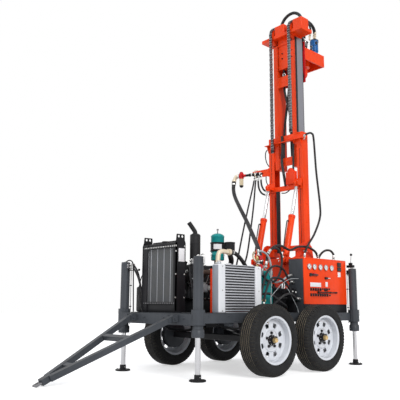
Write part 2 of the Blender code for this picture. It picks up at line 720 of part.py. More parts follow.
def build_engine():
    low, high = Vector(ENGINE_LOW), Vector(ENGINE_HIGH)
    mid_x = (low.x + high.x) / 2
    shapes = [block(low, high, 0.012)]
    shapes.append(block((low.x + 0.030, low.y + 0.030, high.z - 0.010), (high.x - 0.030, high.y - 0.030, high.z + 0.070), 0.008))
    shapes.append(block((low.x + 0.060, low.y + 0.050, high.z + 0.060), (high.x - 0.060, high.y - 0.050, high.z + 0.125), 0.015))
    shapes.append(block((low.x + 0.050, low.y + 0.060, DECK_TOP + FIT), (high.x - 0.050, high.y - 0.060, low.z + 0.010), 0.006))
    shapes.append(bar((mid_x, high.y - 0.01, 0.80), (mid_x, high.y + 0.060, 0.80), 0.150, 20))
    for number in range(4):
        y = low.y + 0.100 + number * 0.120
        shapes.append(bar((high.x - 0.060, y, high.z + 0.035), (high.x + 0.040, y, high.z + 0.035), 0.016, 10))
    shapes.append(bar((high.x + 0.036, low.y + 0.070, high.z + 0.035), (high.x + 0.036, low.y + 0.500, high.z + 0.035), 0.024, 10))
    shapes.append(bar((mid_x - 0.09, low.y - 0.0, 0.80), (mid_x - 0.09, low.y - 0.035, 0.80), 0.035, 12))
    node("engine", "chassis", "black_paint", shapes)
    x, y = MUFFLER_AT
    base, top = MUFFLER_HEIGHTS
    pipe = smooth_route(
        [(x, y, top - 0.02), (x, y, top + 0.030), (x - 0.010, y - 0.020, top + 0.065), (x - 0.030, y - 0.055, top + 0.095)],
        0.03,
    )
    manifold = (high.x + 0.036, low.y + 0.070 - FIT, high.z + 0.035)
    down = smooth_route(
        [(x, y, base + 0.02), (x, y, base - 0.010), (x - 0.020, y + 0.035, manifold[2]), (manifold[0], manifold[1] - 0.030, manifold[2]), manifold],
        0.03,
    )
    shapes = [
        turned([(0, top), (MUFFLER_RADIUS, top), (MUFFLER_RADIUS, base), (0, base)], (x, y, 0), steps=20),
        meshed(tube(pipe, 0.019, 2)),
        meshed(tube(down, 0.019, 2)),
    ]
    node("exhaust_muffler", "chassis", "black_paint", shapes)
    x, y = CLEANER_AT
    base, top = CLEANER_HEIGHTS
    radius = CLEANER_RADIUS
    shapes = [
        turned(
            [
                (0, top + 0.031), (0.008, top + 0.031), (0.008, top + 0.004), (radius * 0.5, top), (radius * 0.93, top - 0.016),
                (radius, top - 0.040), (radius, base + 0.010), (radius - 0.010, base), (0, base),
            ],
            (x, y, 0),
            steps=20,
        ),
        bar((x, y + 0.02, 1.157), (x, y + 0.02, 1.243), radius + 0.012, 20),
        bar((x, y + 0.165, 1.162), (x, y + 0.165, 1.240), 0.058, 16),
        block((x - 0.045, y + 0.05, 1.170), (x + 0.045, y + 0.18, 1.232)),
        bar((x - 0.030, y, high.z + 0.070 + FIT), (x - 0.030, y, base + 0.005), 0.018, 12),
    ]
    node("air_cleaner", "chassis", "teal_paint", shapes)


def build_cooler():
    (x0, x1), (y0, y1) = COOLER_X, COOLER_Y
    bottom = DECK_TOP + FIT
    shapes = [block((x0, y0, bottom), (x1, y0 + COOLER_TANK, COOLER_TOP), 0.006)]
    shapes.append(block((x0, y1 - COOLER_TANK, bottom), (x1, y1, COOLER_TOP), 0.006))
    shapes.append(block((x0 + 0.012, y0 + 0.05, bottom + 0.010), (x1 - 0.012, y1 - 0.05, COOLER_TOP - 0.004)))
    pitch = (COOLER_TOP - 0.012 - bottom - 0.012) / COOLER_BARS
    for number in range(COOLER_BARS):
        z = bottom + 0.012 + (number + 0.5) * pitch
        shapes.append(block((x0 + 0.002, y0 + 0.06, z - pitch * 0.27), (x1 - 0.002, y1 - 0.06, z + pitch * 0.27)))
    shapes.append(bar((x0 + 0.05, y0 + 0.045, COOLER_TOP - 0.01), (x0 + 0.05, y0 + 0.045, COOLER_TOP + 0.030), 0.022, 12))
    node("oil_cooler", "chassis", "aluminium", shapes)
    screen = block((x0 - FIT - SCREEN_THICKNESS, y0 + 0.010, bottom), (x0 - FIT, y1 - 0.010, COOLER_TOP - 0.010), 0.005)
    opening = bar((x0 - 0.1, (y0 + y1) / 2, 0.757), (x0 + 0.05, (y0 + y1) / 2, 0.757), 0.160, 24)
    node("cooler_screen", "chassis", "orange_paint", [screen], [opening])


def build_compressor():
    low = DECK_TOP + FIT
    shapes = [
        block((-0.230, -0.095 + FIT + 0.0005, low + 0.060), (0.060, 0.120, 0.960), 0.015),
        bar((-0.090, 0.100, 0.800), (-0.090, 0.180, 0.800), 0.110, 20),
        block((-0.190, -0.060, low), (0.020, 0.090, low + 0.070)),
    ]
    node("screw_compressor", "chassis", "teal_paint", shapes)
    x, y = 0.215, 0.060
    tank = turned(
        [
            (0, 0.985), (0.060, 0.975), (0.108, 0.940), (0.120, 0.900), (0.120, 0.640), (0.106, 0.605), (0.060, 0.590),
            (0.060, low), (0, low),
        ],
        (x, y, 0),
        steps=20,
    )
    node("oil_separator_tank", "chassis", "teal_paint", [tank])
    tank = [block((-0.510, -0.560, low), (-0.350, 0.080, 0.960), 0.020)]
    tank.append(bar((-0.430, -0.150, 0.950), (-0.430, -0.150, 0.985), 0.035, 12))
    node("hydraulic_tank", "chassis", "orange_paint", tank)
    tank = [block((-0.510, 0.330, low), (-TOWER_OUTER - TANK_ROOM, 1.020, 0.900), 0.020)]
    tank.append(bar((-0.410, 0.500, 0.890), (-0.410, 0.500, 0.925), 0.035, 12))
    node("fuel_tank", "chassis", "black_paint", tank)
    shapes = [block((-0.570 + 0.060, -0.985, low), (-0.380, -0.700, 0.800), 0.008)]
    node("battery_box", "chassis", "black_paint", shapes)


def build_cabinet():
    low, high = Vector(CABINET_LOW), Vector(CABINET_HIGH)
    bottom = DECK_TOP + FIT
    shell = [block(low, high, 0.004)]
    shell.append(block((low.x + 0.010, low.y + 0.001, bottom), (high.x - 0.040, low.y + 0.150, low.z + 0.010)))
    shell.append(block((low.x + 0.010, high.y - 0.060, bottom), (high.x - 0.040, high.y - 0.010, low.z + 0.010)))
    node("control_cabinet", "chassis", "orange_paint", shell)
    face = high.x + FIT
    shapes = [block((face, GAUGE_PLACES[0] - 0.045, GAUGE_ROW_Z - 0.045), (face + 0.004, GAUGE_PLACES[-1] + 0.045, GAUGE_ROW_Z + 0.045))]
    for y in GAUGE_PLACES:
        shapes.append(bar((face + 0.002, y, GAUGE_ROW_Z), (face + 0.022, y, GAUGE_ROW_Z), GAUGE_RADIUS, 16))
    node("gauge_row", "chassis", "black_paint", shapes)
    shapes = [block((face, 0.450, 0.700), (face + 0.012, 0.830, 0.820), 0.003)]
    for row, z in enumerate((0.795, 0.728)):
        for number in range(8):
            y = 0.475 + number * 0.046
            shapes.append(bar((face + 0.005, y, z), (face + 0.050, y, z + 0.006), 0.009, 6))
    node("control_levers", "chassis", "black_paint", shapes)


def build_tower():
    bottom = DECK_TOP + FIT
    pivot_y, pivot_z = MAST_PIVOT_Y, MAST_PIVOT_Z
    outline = [
        (0.505, bottom), (0.505, 1.130), (0.560, 1.150), (0.660, 1.290), (0.700, 1.310), (0.800, 1.310), (0.850, 1.270),
        (0.880, 1.100), (0.960, bottom), (0.900, bottom), (0.820, 0.960), (0.580, 0.960), (0.560, bottom),
    ]

    def side_shapes(side):
        middle = side * (TOWER_X + TOWER_PLATE / 2)
        cheek = plate(outline, "YZ", middle, TOWER_PLATE)
        foot = block(
            (middle - 0.020, 0.470, bottom), (middle + 0.020, 0.990, bottom + 0.012)
        )
        strut = beam((side * STRUT_X, 0.500, 0.880), (side * STRUT_X, 0.300, 0.600), 0.040, 0.040)
        pad = block((side * STRUT_X - 0.030, 0.240, bottom), (side * STRUT_X + 0.030, 0.350, bottom + 0.060))
        pin = bar((middle - side * 0.0, pivot_y, pivot_z), (side * (OUTER_HALF - 0.045), pivot_y, pivot_z), MAST_PIN_RADIUS, 16)
        lugs = [
            plate(
                [(0.510, 1.050), (0.420, 1.080), (0.420, 1.130), (0.450, 1.145), (0.510, 1.125)],
                "YZ",
                side * CYLINDER_X + offset,
                0.010,
            )
            for offset in (-BARREL_LUG_OFFSET, BARREL_LUG_OFFSET)
        ]
        lug_pin = bar(
            (side * CYLINDER_X - BARREL_LUG_OFFSET - 0.010, *CYLINDER_BASE),
            (side * CYLINDER_X + BARREL_LUG_OFFSET + 0.010, *CYLINDER_BASE),
            CYLINDER_PIN,
            12,
        )
        return [cheek, foot, strut, pad, pin, *lugs, lug_pin]

    front = block((-TOWER_X - 0.006, 0.505, 0.860), (TOWER_X + 0.006, 0.517, 1.130))
    tie = bar((-TOWER_X - 0.006, 0.850, 1.000), (TOWER_X + 0.006, 0.850, 1.000), 0.025, 12)
    node("mast_tower", "chassis", "orange_paint", [front, tie, *both_sides(side_shapes)])


CYLINDER_PIN = 0.014
EYE_HALF = 0.018
LUG_THICKNESS = 0.010
LUG_OFFSET = EYE_HALF + PASSING + LUG_THICKNESS / 2
BARREL_LUG_OFFSET = BARREL_RADIUS + PASSING + LUG_THICKNESS / 2


def build_mast():
    joint("mast_tilt", (0, MAST_PIVOT_Y, MAST_PIVOT_Z), "rig")

    def side_shapes(side):
        web = (OUTER_HALF + OUTER_INNER_HALF) / 2
        leg = block(
            (min(side * OUTER_INNER_HALF, side * OUTER_HALF), OUTER_FRONT, MAST_FOOT),
            (max(side * OUTER_INNER_HALF, side * OUTER_HALF), OUTER_REAR, OUTER_TOP),
        )
        bracket = [
            plate(
                [(OUTER_FRONT + 0.01, 1.956), (0.662, 1.960), (0.657, 2.000), (0.680, 2.020), (OUTER_FRONT + 0.01, 2.060)],
                "YZ",
                side * CYLINDER_X + offset,
                0.010,
            )
            for offset in (-LUG_OFFSET, LUG_OFFSET)
        ]
        return [leg, *bracket]

    shapes = both_sides(side_shapes)
    reach = OUTER_HALF - 0.010
    front = CHAIN_FRONT + CHAIN_THICKNESS + PASSING
    shapes.append(block((-reach, OUTER_FRONT - 0.012, 1.930), (reach, OUTER_FRONT + 0.004, 1.990)))
    shapes.append(block((-OUTER_HALF - 0.030, front, 2.440), (OUTER_HALF + 0.030, OUTER_FRONT + 0.006, 2.540)))
    shapes.append(block((-reach, OUTER_FRONT - 0.020, 2.530), (reach, OUTER_FRONT + 0.010, OUTER_TOP - 0.001)))
    shapes.append(block((-reach, OUTER_FRONT - 0.010, 1.230), (reach, OUTER_FRONT + 0.008, 1.290)))
    holes = []
    for side in (1, -1):
        lows, highs = sorted((side * (OUTER_INNER_HALF - 0.02), side * (OUTER_HALF - OUTER_WALL)))
        holes.append(block((lows, OUTER_FRONT + OUTER_WALL, MAST_FOOT + 0.10), (highs, OUTER_REAR - OUTER_WALL, OUTER_TOP + 0.02)))
    holes.append(bar((-0.30, MAST_PIVOT_Y + 0.0, MAST_PIVOT_Z), (0.30, MAST_PIVOT_Y, MAST_PIVOT_Z), MAST_PIN_RADIUS + RUNNING, 16))
    foot = both_sides(lambda side: [
        block(
            (min(side * OUTER_INNER_HALF, side * OUTER_HALF), MAST_PIVOT_Y - 0.045, MAST_FOOT),
            (max(side * OUTER_INNER_HALF, side * OUTER_HALF), OUTER_FRONT + 0.01, MAST_FOOT + 0.10),
        )
    ])
    node("outer_mast", "mast_tilt", "orange_paint", shapes + foot, holes)
    gear = [block((-0.090, OUTER_FRONT - 0.040, 1.990 + FIT), (0.100, OUTER_FRONT + 0.006, 2.150), 0.006)]
    gear.append(bar((0.0, OUTER_FRONT - 0.02, 2.145), (0.0, OUTER_FRONT - 0.02, 2.200), 0.020, 12))
    node("feed_gear_box", "mast_tilt", "red_paint", gear)


def build_tilt_cylinders():
    base = Vector((0, *CYLINDER_BASE))
    eye = Vector((0, *CYLINDER_EYE))
    way = (eye - base).normalized()
    joint("tilt_barrels", base, "rig")
    joint("tilt_rods", eye, "tilt_barrels")
    gland = base + way * BARREL_LENGTH
    for name, side in (("left", 1), ("right", -1)):
        across = Vector((side * CYLINDER_X, 0, 0))
        shapes = [
            bar(base + across + way * 0.022, gland + across, BARREL_RADIUS, 16),
            bar(gland + across - way * 0.040, gland + across - way * 0.004, GLAND_RADIUS, 16),
            bar(base + across - Vector((BARREL_RADIUS, 0, 0)), base + across + Vector((BARREL_RADIUS, 0, 0)), 0.032, 16),
        ]
        holes = [
            bar(base + across - Vector((0.05, 0, 0)), base + across + Vector((0.05, 0, 0)), CYLINDER_PIN + RUNNING, 16),
            bar(base + across + way * 0.060, gland + across + way * 0.05, TILT_ROD_RADIUS + RUNNING, 16),
        ]
        node(f"tilt_barrel_{name}", "tilt_barrels", "orange_paint", shapes, holes)
        shapes = [
            bar(base + across + way * (BARREL_LENGTH - 0.080), eye + across - way * 0.010, TILT_ROD_RADIUS, 16),
            bar(eye + across - Vector((EYE_HALF, 0, 0)), eye + across + Vector((EYE_HALF, 0, 0)), 0.030, 16),
        ]
        node(f"tilt_rod_{name}", "tilt_rods", "chrome", shapes)


def build_inner_mast():
    joint("mast_feed", (0, INNER_FRONT, INNER_FOOT), "mast_tilt")

    def leg(side):
        return [
            block(
                (min(side * INNER_INNER_HALF, side * INNER_HALF), INNER_FRONT, INNER_FOOT),
                (max(side * INNER_INNER_HALF, side * INNER_HALF), INNER_REAR, INNER_TOP),
            )
        ]

    reach = INNER_HALF - 0.010
    shapes = both_sides(leg)
    for low, high in ((2.230, 2.330), (3.210, 3.340), (3.740, INNER_TOP)):
        shapes.append(block((-reach, INNER_FRONT + 0.002, low), (reach, INNER_FRONT + 0.014, high)))
    shapes.append(block((-0.090, INNER_FRONT + 0.010, 3.440), (0.060, INNER_FRONT + 0.070, 3.800)))
    shapes.append(block((-0.115, INNER_FRONT + 0.030, 3.600), (0.115, INNER_FRONT + 0.050, 3.700)))
    pockets = []
    pocket_floor = SHEAVE_AT[1] - SHEAVE_RADIUS - PASSING
    for side in (1, -1):
        low, high = sorted((side * (INNER_HALF - 0.010), side * (OUTER_HALF - OUTER_WALL - RUNNING)))
        shapes.append(
            block(
                (low, OUTER_FRONT + OUTER_WALL + RUNNING, SHOE_HEIGHTS[0]),
                (high, OUTER_REAR - OUTER_WALL - RUNNING, SHOE_HEIGHTS[1]),
            )
        )
        low, high = sorted((side * (INNER_INNER_HALF - 0.010), side * (INNER_HALF + 0.010)))
        pockets.append(block((low, SHEAVE_AT[0] - SHEAVE_RADIUS - PASSING, pocket_floor), (high, INNER_REAR + 0.010, INNER_TOP + 0.010)))
    node("inner_mast", "mast_feed", "orange_paint", shapes, pockets)
    low, high = CROWN_HEIGHTS
    low = INNER_TOP + FIT
    shapes = [block((-0.300, 0.700, low), (0.310, 0.905, low + 0.040))]
    for x0, x1 in ((-0.110, 0.040), (0.170, 0.310)):
        shapes.append(block((x0, 0.710, low + 0.030), (x1, 0.850, high), 0.010))
    shapes.append(bar((-CHAIN_X - 0.030, *SHEAVE_AT), (0.200, *SHEAVE_AT), 0.020, 12))
    shapes.append(block((0.050, 0.840, low + 0.030), (0.090, 1.050, 3.960), 0.010))
    for side in (1, -1):
        half = CHAIN_WIDTH / 2 - 0.004
        shapes.append(bar((side * CHAIN_X - half, *SHEAVE_AT), (side * CHAIN_X + half, *SHEAVE_AT), SHEAVE_RADIUS - FIT, 16))
    node("crown_head", "mast_feed", "orange_paint", shapes)
    for name, side in (("left", 1), ("right", -1)):
        x = side * CHAIN_X
        foot = 2.600 if side > 0 else 2.400
        outer, inner = SHEAVE_RADIUS + CHAIN_THICKNESS, SHEAVE_RADIUS
        turns = [math.pi - math.pi * step / 8 for step in range(9)]
        y, z = SHEAVE_AT
        outline = [(y - inner, foot), (y - outer, foot)]
        outline += [(y + outer * math.cos(turn), z + outer * math.sin(turn)) for turn in turns]
        outline += [(y + outer, CHAIN_REAR_END), (y + inner, CHAIN_REAR_END)]
        outline += [(y + inner * math.cos(turn), z + inner * math.sin(turn)) for turn in reversed(turns)]
        node(f"feed_chain_{name}", "mast_feed", "bare_steel", [plate(outline, "YZ", x, CHAIN_WIDTH)])


def build_drill_head():
    joint("head_slide", (0, HEAD_PLATE[0], HEAD_PLATE_HEIGHTS[0]), "mast_feed")
    (y0, y1), (z0, z1) = HEAD_PLATE, HEAD_PLATE_HEIGHTS
    shapes = [block((-0.180, y0, z0), (0.180, y1, z1))]
    for side in (1, -1):
        lows, highs = sorted((side * (INNER_HALF + RUNNING), side * (INNER_HALF + PASSING + 0.012)))
        shapes.append(block((lows, INNER_REAR - 0.030, z0 + 0.02), (highs, y0 + 0.006, z1 - 0.02)))
    node("head_carriage", "head_slide", "orange_paint", shapes)
    (y0, y1), (z0, z1) = GEARBOX_Y, GEARBOX_HEIGHTS
    half = GEARBOX_HALF
    box = [
        block((-half, y0, z1 - 0.012), (half, y1, z1)),
        block((-half, y0, z0), (-half + 0.014, y1, z1 - 0.001)),
        block((half - 0.014, y0, z0), (half, y1, z1 - 0.001)),
        block((-half + 0.001, y1 - 0.014, z0 + 0.001), (half - 0.001, y1 - 0.001, z1 - 0.001)),
        block((-half + 0.001, y0 + 0.001, z0 + 0.001), (half - 0.001, y0 + 0.014, z1 - 0.001)),
        bar((0, SPINDLE_Y, z0 - 0.030), (0, SPINDLE_Y, z1 - 0.002), 0.078, 20),
    ]
    hole = bar((0, SPINDLE_Y, z0 - 0.06), (0, SPINDLE_Y, z1 - 0.040), SPINDLE_DRILL_RADIUS + RUNNING, 20)
    node("head_gearbox", "head_slide", "orange_paint", box, [hole])
    x, y = MOTOR_AT
    z = z1 + FIT
    motor = [
        turned([(0, MOTOR_TOP), (MOTOR_RADIUS - 0.012, MOTOR_TOP), (MOTOR_RADIUS, MOTOR_TOP - 0.012), (MOTOR_RADIUS, z), (0, z)], (x, y, 0), steps=16),
        block((x - 0.055, y - 0.055, z), (x + 0.055, y + 0.055, z + 0.030)),
    ]
    node("head_motor", "head_slide", "blue_paint", motor)
    joint("drill_spindle", (0, SPINDLE_Y, GEARBOX_HEIGHTS[0]), "head_slide")
    spindle = turned(
        [
            (0, z1 - 0.045), (SPINDLE_DRILL_RADIUS, z1 - 0.045), (SPINDLE_DRILL_RADIUS, z0 - 0.050),
            (0.050, z0 - 0.052), (0.050, SPINDLE_BOTTOM + 0.030), (0.036, SPINDLE_BOTTOM), (0, SPINDLE_BOTTOM),
        ],
        (0, SPINDLE_Y, 0),
        steps=16,
    )
    node("spindle", "drill_spindle", "bare_steel", [spindle])


def build_service_arm():
    z = 2.210
    shapes = [
        bar((-OUTER_HALF - FIT - 0.004, 0.780, z), (-0.700, 0.700, z), 0.017, 12),
        block((-OUTER_HALF - FIT - 0.010, 0.750, z - 0.05), (-OUTER_HALF - FIT, 0.830, z + 0.05)),
        bar((-0.640, 0.700, 2.060), (-0.640, 0.700, 2.250), 0.030, 12),
    ]
    node("service_arm", "mast_tilt", "red_paint", shapes)


def place_origin():
    """The whole rig moves along Y until the middle of its length is over the origin."""
    toe = (EYE_SOLE - TOW_EYE_CHAMFER) * math.sin(DRAWBAR_DROP)
    front = DRAWBAR_HINGE_Y - DRAWBAR_REACH * math.cos(DRAWBAR_DROP) - toe
    JOINTS["rig"][0].location.y = -(front + GEARBOX_Y[1]) / 2


def main():
    joint("rig")
    joint("chassis", (0, 0, 0), "rig")
    build_frame()
    build_running_gear()
    build_wheels()
    build_jacks()
    build_drawbar()
    build_radiator()
    build_engine()
    build_cooler()
    build_compressor()
    build_cabinet()
    build_tower()
    build_mast()
    build_tilt_cylinders()
    build_inner_mast()
    build_drill_head()
    build_service_arm()
    place_origin()


main()
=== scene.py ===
"""The looks of a towed water well drilling rig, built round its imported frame.

Places are in metres. X and Z are the frame's own, and along Y a piece is placed from the
middle between the two axles, as in the rig's own drawing: Shape.finish moves it into the frame.
"""

import logging
import math
from dataclasses import dataclass
from enum import Enum
from typing import Callable, Iterable, Optional, Sequence, Union

import bmesh
import bpy
from mathutils import Matrix, Vector


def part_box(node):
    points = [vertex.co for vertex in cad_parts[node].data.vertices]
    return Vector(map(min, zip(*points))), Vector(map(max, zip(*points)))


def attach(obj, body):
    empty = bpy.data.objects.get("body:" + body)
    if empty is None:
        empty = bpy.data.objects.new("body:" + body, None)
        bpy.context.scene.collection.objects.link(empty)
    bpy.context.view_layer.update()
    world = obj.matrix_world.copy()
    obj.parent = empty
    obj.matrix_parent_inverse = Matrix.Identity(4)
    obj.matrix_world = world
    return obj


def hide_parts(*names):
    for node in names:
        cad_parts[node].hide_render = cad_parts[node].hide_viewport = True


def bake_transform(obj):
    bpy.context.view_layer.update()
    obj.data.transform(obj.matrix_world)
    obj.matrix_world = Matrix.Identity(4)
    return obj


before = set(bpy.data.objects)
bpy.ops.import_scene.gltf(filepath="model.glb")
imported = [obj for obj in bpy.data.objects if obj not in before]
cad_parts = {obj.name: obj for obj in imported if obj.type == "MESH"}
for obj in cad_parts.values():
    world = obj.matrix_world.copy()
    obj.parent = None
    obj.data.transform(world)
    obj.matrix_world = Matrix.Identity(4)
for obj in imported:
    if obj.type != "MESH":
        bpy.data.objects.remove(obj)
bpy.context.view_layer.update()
LOG = logging.getLogger("well_rig")

Point = Union[Vector, Sequence[float]]
Colour = tuple[float, float, float]
UP, LEFT, RIGHT, AHEAD, BACK = (0, 0, 1), (1, 0, 0), (-1, 0, 0), (0, -1, 0), (0, 1, 0)


def middle_of(node: str) -> Vector:
    """The middle of a frame node's box."""
    low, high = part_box(node)
    return (low + high) / 2


AXLES_MIDDLE = (middle_of("axle_front").y + middle_of("axle_rear").y) / 2
INTO_FRAME = Matrix.Translation((0, AXLES_MIDDLE, 0))


def rig_box(node: str) -> tuple[Vector, Vector]:
    """A frame node's box, with Y measured from the middle between the axles."""
    low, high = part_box(node)
    shift = Vector((0, AXLES_MIDDLE, 0))
    return low - shift, high - shift


# The words of a shader's sums


class Wire:
    """An output socket. Sums, differences and products of wires add Math nodes."""

    def __init__(self, graph: "Graph", socket: bpy.types.NodeSocket) -> None:
        """Keeps the socket and the graph that it belongs to."""
        self.graph = graph
        self.socket = socket

    def math(self, operation: str, left: "Term", right: "Term" = 0.0, clamp: bool = False) -> "Wire":
        """One Math node.

        Args:
            operation: the Math node's operation.
            left: its first value.
            right: its second value.
            clamp: whether the result is kept from 0 to 1.

        Returns:
            The node's result.
        """
        settings = {"operation": operation, "use_clamp": clamp}
        return self.graph.add("ShaderNodeMath", settings, {0: left, 1: right}).wire("Value")

    def __add__(self, other: "Term") -> "Wire":
        """Sum."""
        return self.math("ADD", self, other)

    __radd__ = __add__

    def __sub__(self, other: "Term") -> "Wire":
        """Difference."""
        return self.math("SUBTRACT", self, other)

    def __rsub__(self, other: "Term") -> "Wire":
        """Difference from a number."""
        return self.math("SUBTRACT", other, self)

    def __mul__(self, other: "Term") -> "Wire":
        """Product."""
        return self.math("MULTIPLY", self, other)

    __rmul__ = __mul__

    def __truediv__(self, other: "Term") -> "Wire":
        """Quotient."""
        return self.math("DIVIDE", self, other)

    def __rtruediv__(self, other: "Term") -> "Wire":
        """Quotient of a number."""
        return self.math("DIVIDE", other, self)

    def __pow__(self, other: "Term") -> "Wire":
        """Power."""
        return self.math("POWER", self, other)

    def __gt__(self, other: "Term") -> "Wire":
        """1 where the wire is greater."""
        return self.math("GREATER_THAN", self, other)

    def between(self, low: float, high: float) -> "Wire":
        """0 below low, 1 above high, and a straight rise from one to the other."""
        scaled = (self - low) / (high - low)
        return self.math("ADD", scaled, 0.0, clamp=True)

    def sine(self) -> "Wire":
        """The sine of the wire in radians."""
        return self.math("SINE", self)


Term = Union[Wire, float, int]
Setting = Union[str, float, int, bool, Sequence]


class GraphNode:
    """One node of a graph, which hands out its outputs as wires."""

    def __init__(self, graph: "Graph", node: bpy.types.Node) -> None:
        """Keeps the node and its graph."""
        self.graph = graph
        self.node = node

    def wire(self, output: Union[str, int]) -> Wire:
        """The output of that name or number."""
        return Wire(self.graph, self.node.outputs[output])


class Graph:
    """The nodes of one material, ending in a Principled shader."""

    def __init__(self, name: str) -> None:
        """An empty material of that name.

        Args:
            name: the material's name.
        """
        self.material = bpy.data.materials.new(name)
        self.material.use_nodes = True
        self.tree = self.material.node_tree
        self.tree.nodes.clear()
        self.output = self.add("ShaderNodeOutputMaterial", {}, {})
        self.shader = self.add("ShaderNodeBsdfPrincipled", {}, {})
        self.tree.links.new(self.shader.node.outputs[0], self.output.node.inputs["Surface"])
        self.place = self.add("ShaderNodeTexCoord", {}, {}).wire("Object")

    def add(self, kind: str, settings: dict[str, Setting], inputs: dict) -> GraphNode:
        """Adds any node: its settings come first, then the values or wires of its sockets.

        Args:
            kind: the node's type.
            settings: properties by name; "stops" are a ramp's (place, colour) pairs.
            inputs: numbers, tuples or wires by socket name or number.

        Returns:
            The new node.
        """
        node = self.tree.nodes.new(kind)
        for key, value in settings.items():
            if key == "stops":
                self._set_stops(node.color_ramp, value)
            else:
                setattr(node, key, value)
        for key, value in inputs.items():
            self.feed(node.inputs[key], value)
        return GraphNode(self, node)

    @staticmethod
    def _set_stops(ramp: bpy.types.ColorRamp, stops: Sequence) -> None:
        """Gives a ramp its stops."""
        while len(ramp.elements) < len(stops):
            ramp.elements.new(1.0)
        for element, (place, colour) in zip(ramp.elements, stops):
            element.position = place
            element.color = (*colour, 1.0) if len(colour) == 3 else colour

    def feed(self, socket: bpy.types.NodeSocket, value: object) -> None:
        """Links a wire to a socket, or sets the socket's own value."""
        if isinstance(value, Wire):
            self.tree.links.new(value.socket, socket)
        elif isinstance(value, tuple) and len(value) == 3 and socket.type == "RGBA":
            socket.default_value = (*value, 1.0)
        else:
            socket.default_value = value

    def noise(self, scale: float, detail: float = 4.0, rough: float = 0.5, vector: Optional[Wire] = None) -> Wire:
        """Noise from 0 to 1, its scale in waves per metre."""
        inputs = {"Vector": vector or self.place, "Scale": scale, "Detail": detail, "Roughness": rough}
        return self.add("ShaderNodeTexNoise", {}, inputs).wire("Fac")

    def cells(self, scale: float) -> Wire:
        """Distance to the nearest cell's middle."""
        return self.add("ShaderNodeTexVoronoi", {}, {"Vector": self.place, "Scale": scale}).wire("Distance")

    def stretched(self, scale: Sequence[float]) -> Wire:
        """The place, scaled by each axis, for streaks and brushed metal."""
        settings = {"operation": "MULTIPLY"}
        return self.add("ShaderNodeVectorMath", settings, {0: self.place, 1: tuple(scale)}).wire("Vector")

    def axes(self) -> tuple[Wire, Wire, Wire]:
        """The place's X, Y and Z."""
        split = self.add("ShaderNodeSeparateXYZ", {}, {"Vector": self.place})
        return split.wire("X"), split.wire("Y"), split.wire("Z")

    def facing_up(self) -> Wire:
        """The surface normal's Z in the object's own space."""
        normal = self.add("ShaderNodeTexCoord", {}, {}).wire("Normal")
        return self.add("ShaderNodeSeparateXYZ", {}, {"Vector": normal}).wire("Z")

    def crevices(self, reach: float) -> Wire:
        """1 in the open and lower where surfaces within reach close in."""
        return self.add("ShaderNodeAmbientOcclusion", {"samples": 4}, {"Distance": reach}).wire("AO")

    def blend(self, share: Term, first: object, second: object) -> Wire:
        """Mix of two colours.

        Args:
            share: 0 is the first colour, 1 the second.
            first: a colour or a wire.
            second: a colour or a wire.

        Returns:
            The mixed colour.
        """
        node = self.tree.nodes.new("ShaderNodeMix")
        node.data_type = "RGBA"
        self.feed(node.inputs[0], share)
        self.feed(node.inputs[6], first)
        self.feed(node.inputs[7], second)
        return Wire(self, node.outputs[2])

    def bump(self, height: Wire, strength: float, distance: float) -> None:
        """Adds a bump of that height in metres, on top of any that the shader has."""
        inputs = {"Height": height, "Strength": strength, "Distance": distance}
        socket = self.shader.node.inputs["Normal"]
        if socket.is_linked:
            inputs["Normal"] = Wire(self, socket.links[0].from_socket)
        self.feed(socket, self.add("ShaderNodeBump", {}, inputs).wire("Normal"))

    def set(self, **values: object) -> None:
        """Feeds the shader's sockets, named with underscores for spaces."""
        for key, value in values.items():
            self.feed(self.shader.node.inputs[key.replace("_", " ")], value)


def mixed(colour: Colour, other: Colour, share: float) -> Colour:
    """A colour between two, worked out here and not by a node."""
    return tuple(a + (b - a) * share for a, b in zip(colour, other))


DUST: Colour = (0.3, 0.26, 0.21)
# near black for the paint's darker tone, chips and oil stains, and for the painted shade in the paint's corners
SOOT_AND_SHADE_TINT: Colour = (0.012, 0.011, 0.01)


class Finish:
    """A finish that makes its material once, the first time it is asked for."""

    name: str
    _made: dict[str, bpy.types.Material] = {}

    def material(self) -> bpy.types.Material:
        """The finish's material."""
        if self.name not in Finish._made:
            graph = Graph(self.name)
            self.dress(graph)
            Finish._made[self.name] = graph.material
        return Finish._made[self.name]

    def dress(self, graph: Graph) -> None:
        """Builds the material's nodes."""
        raise NotImplementedError


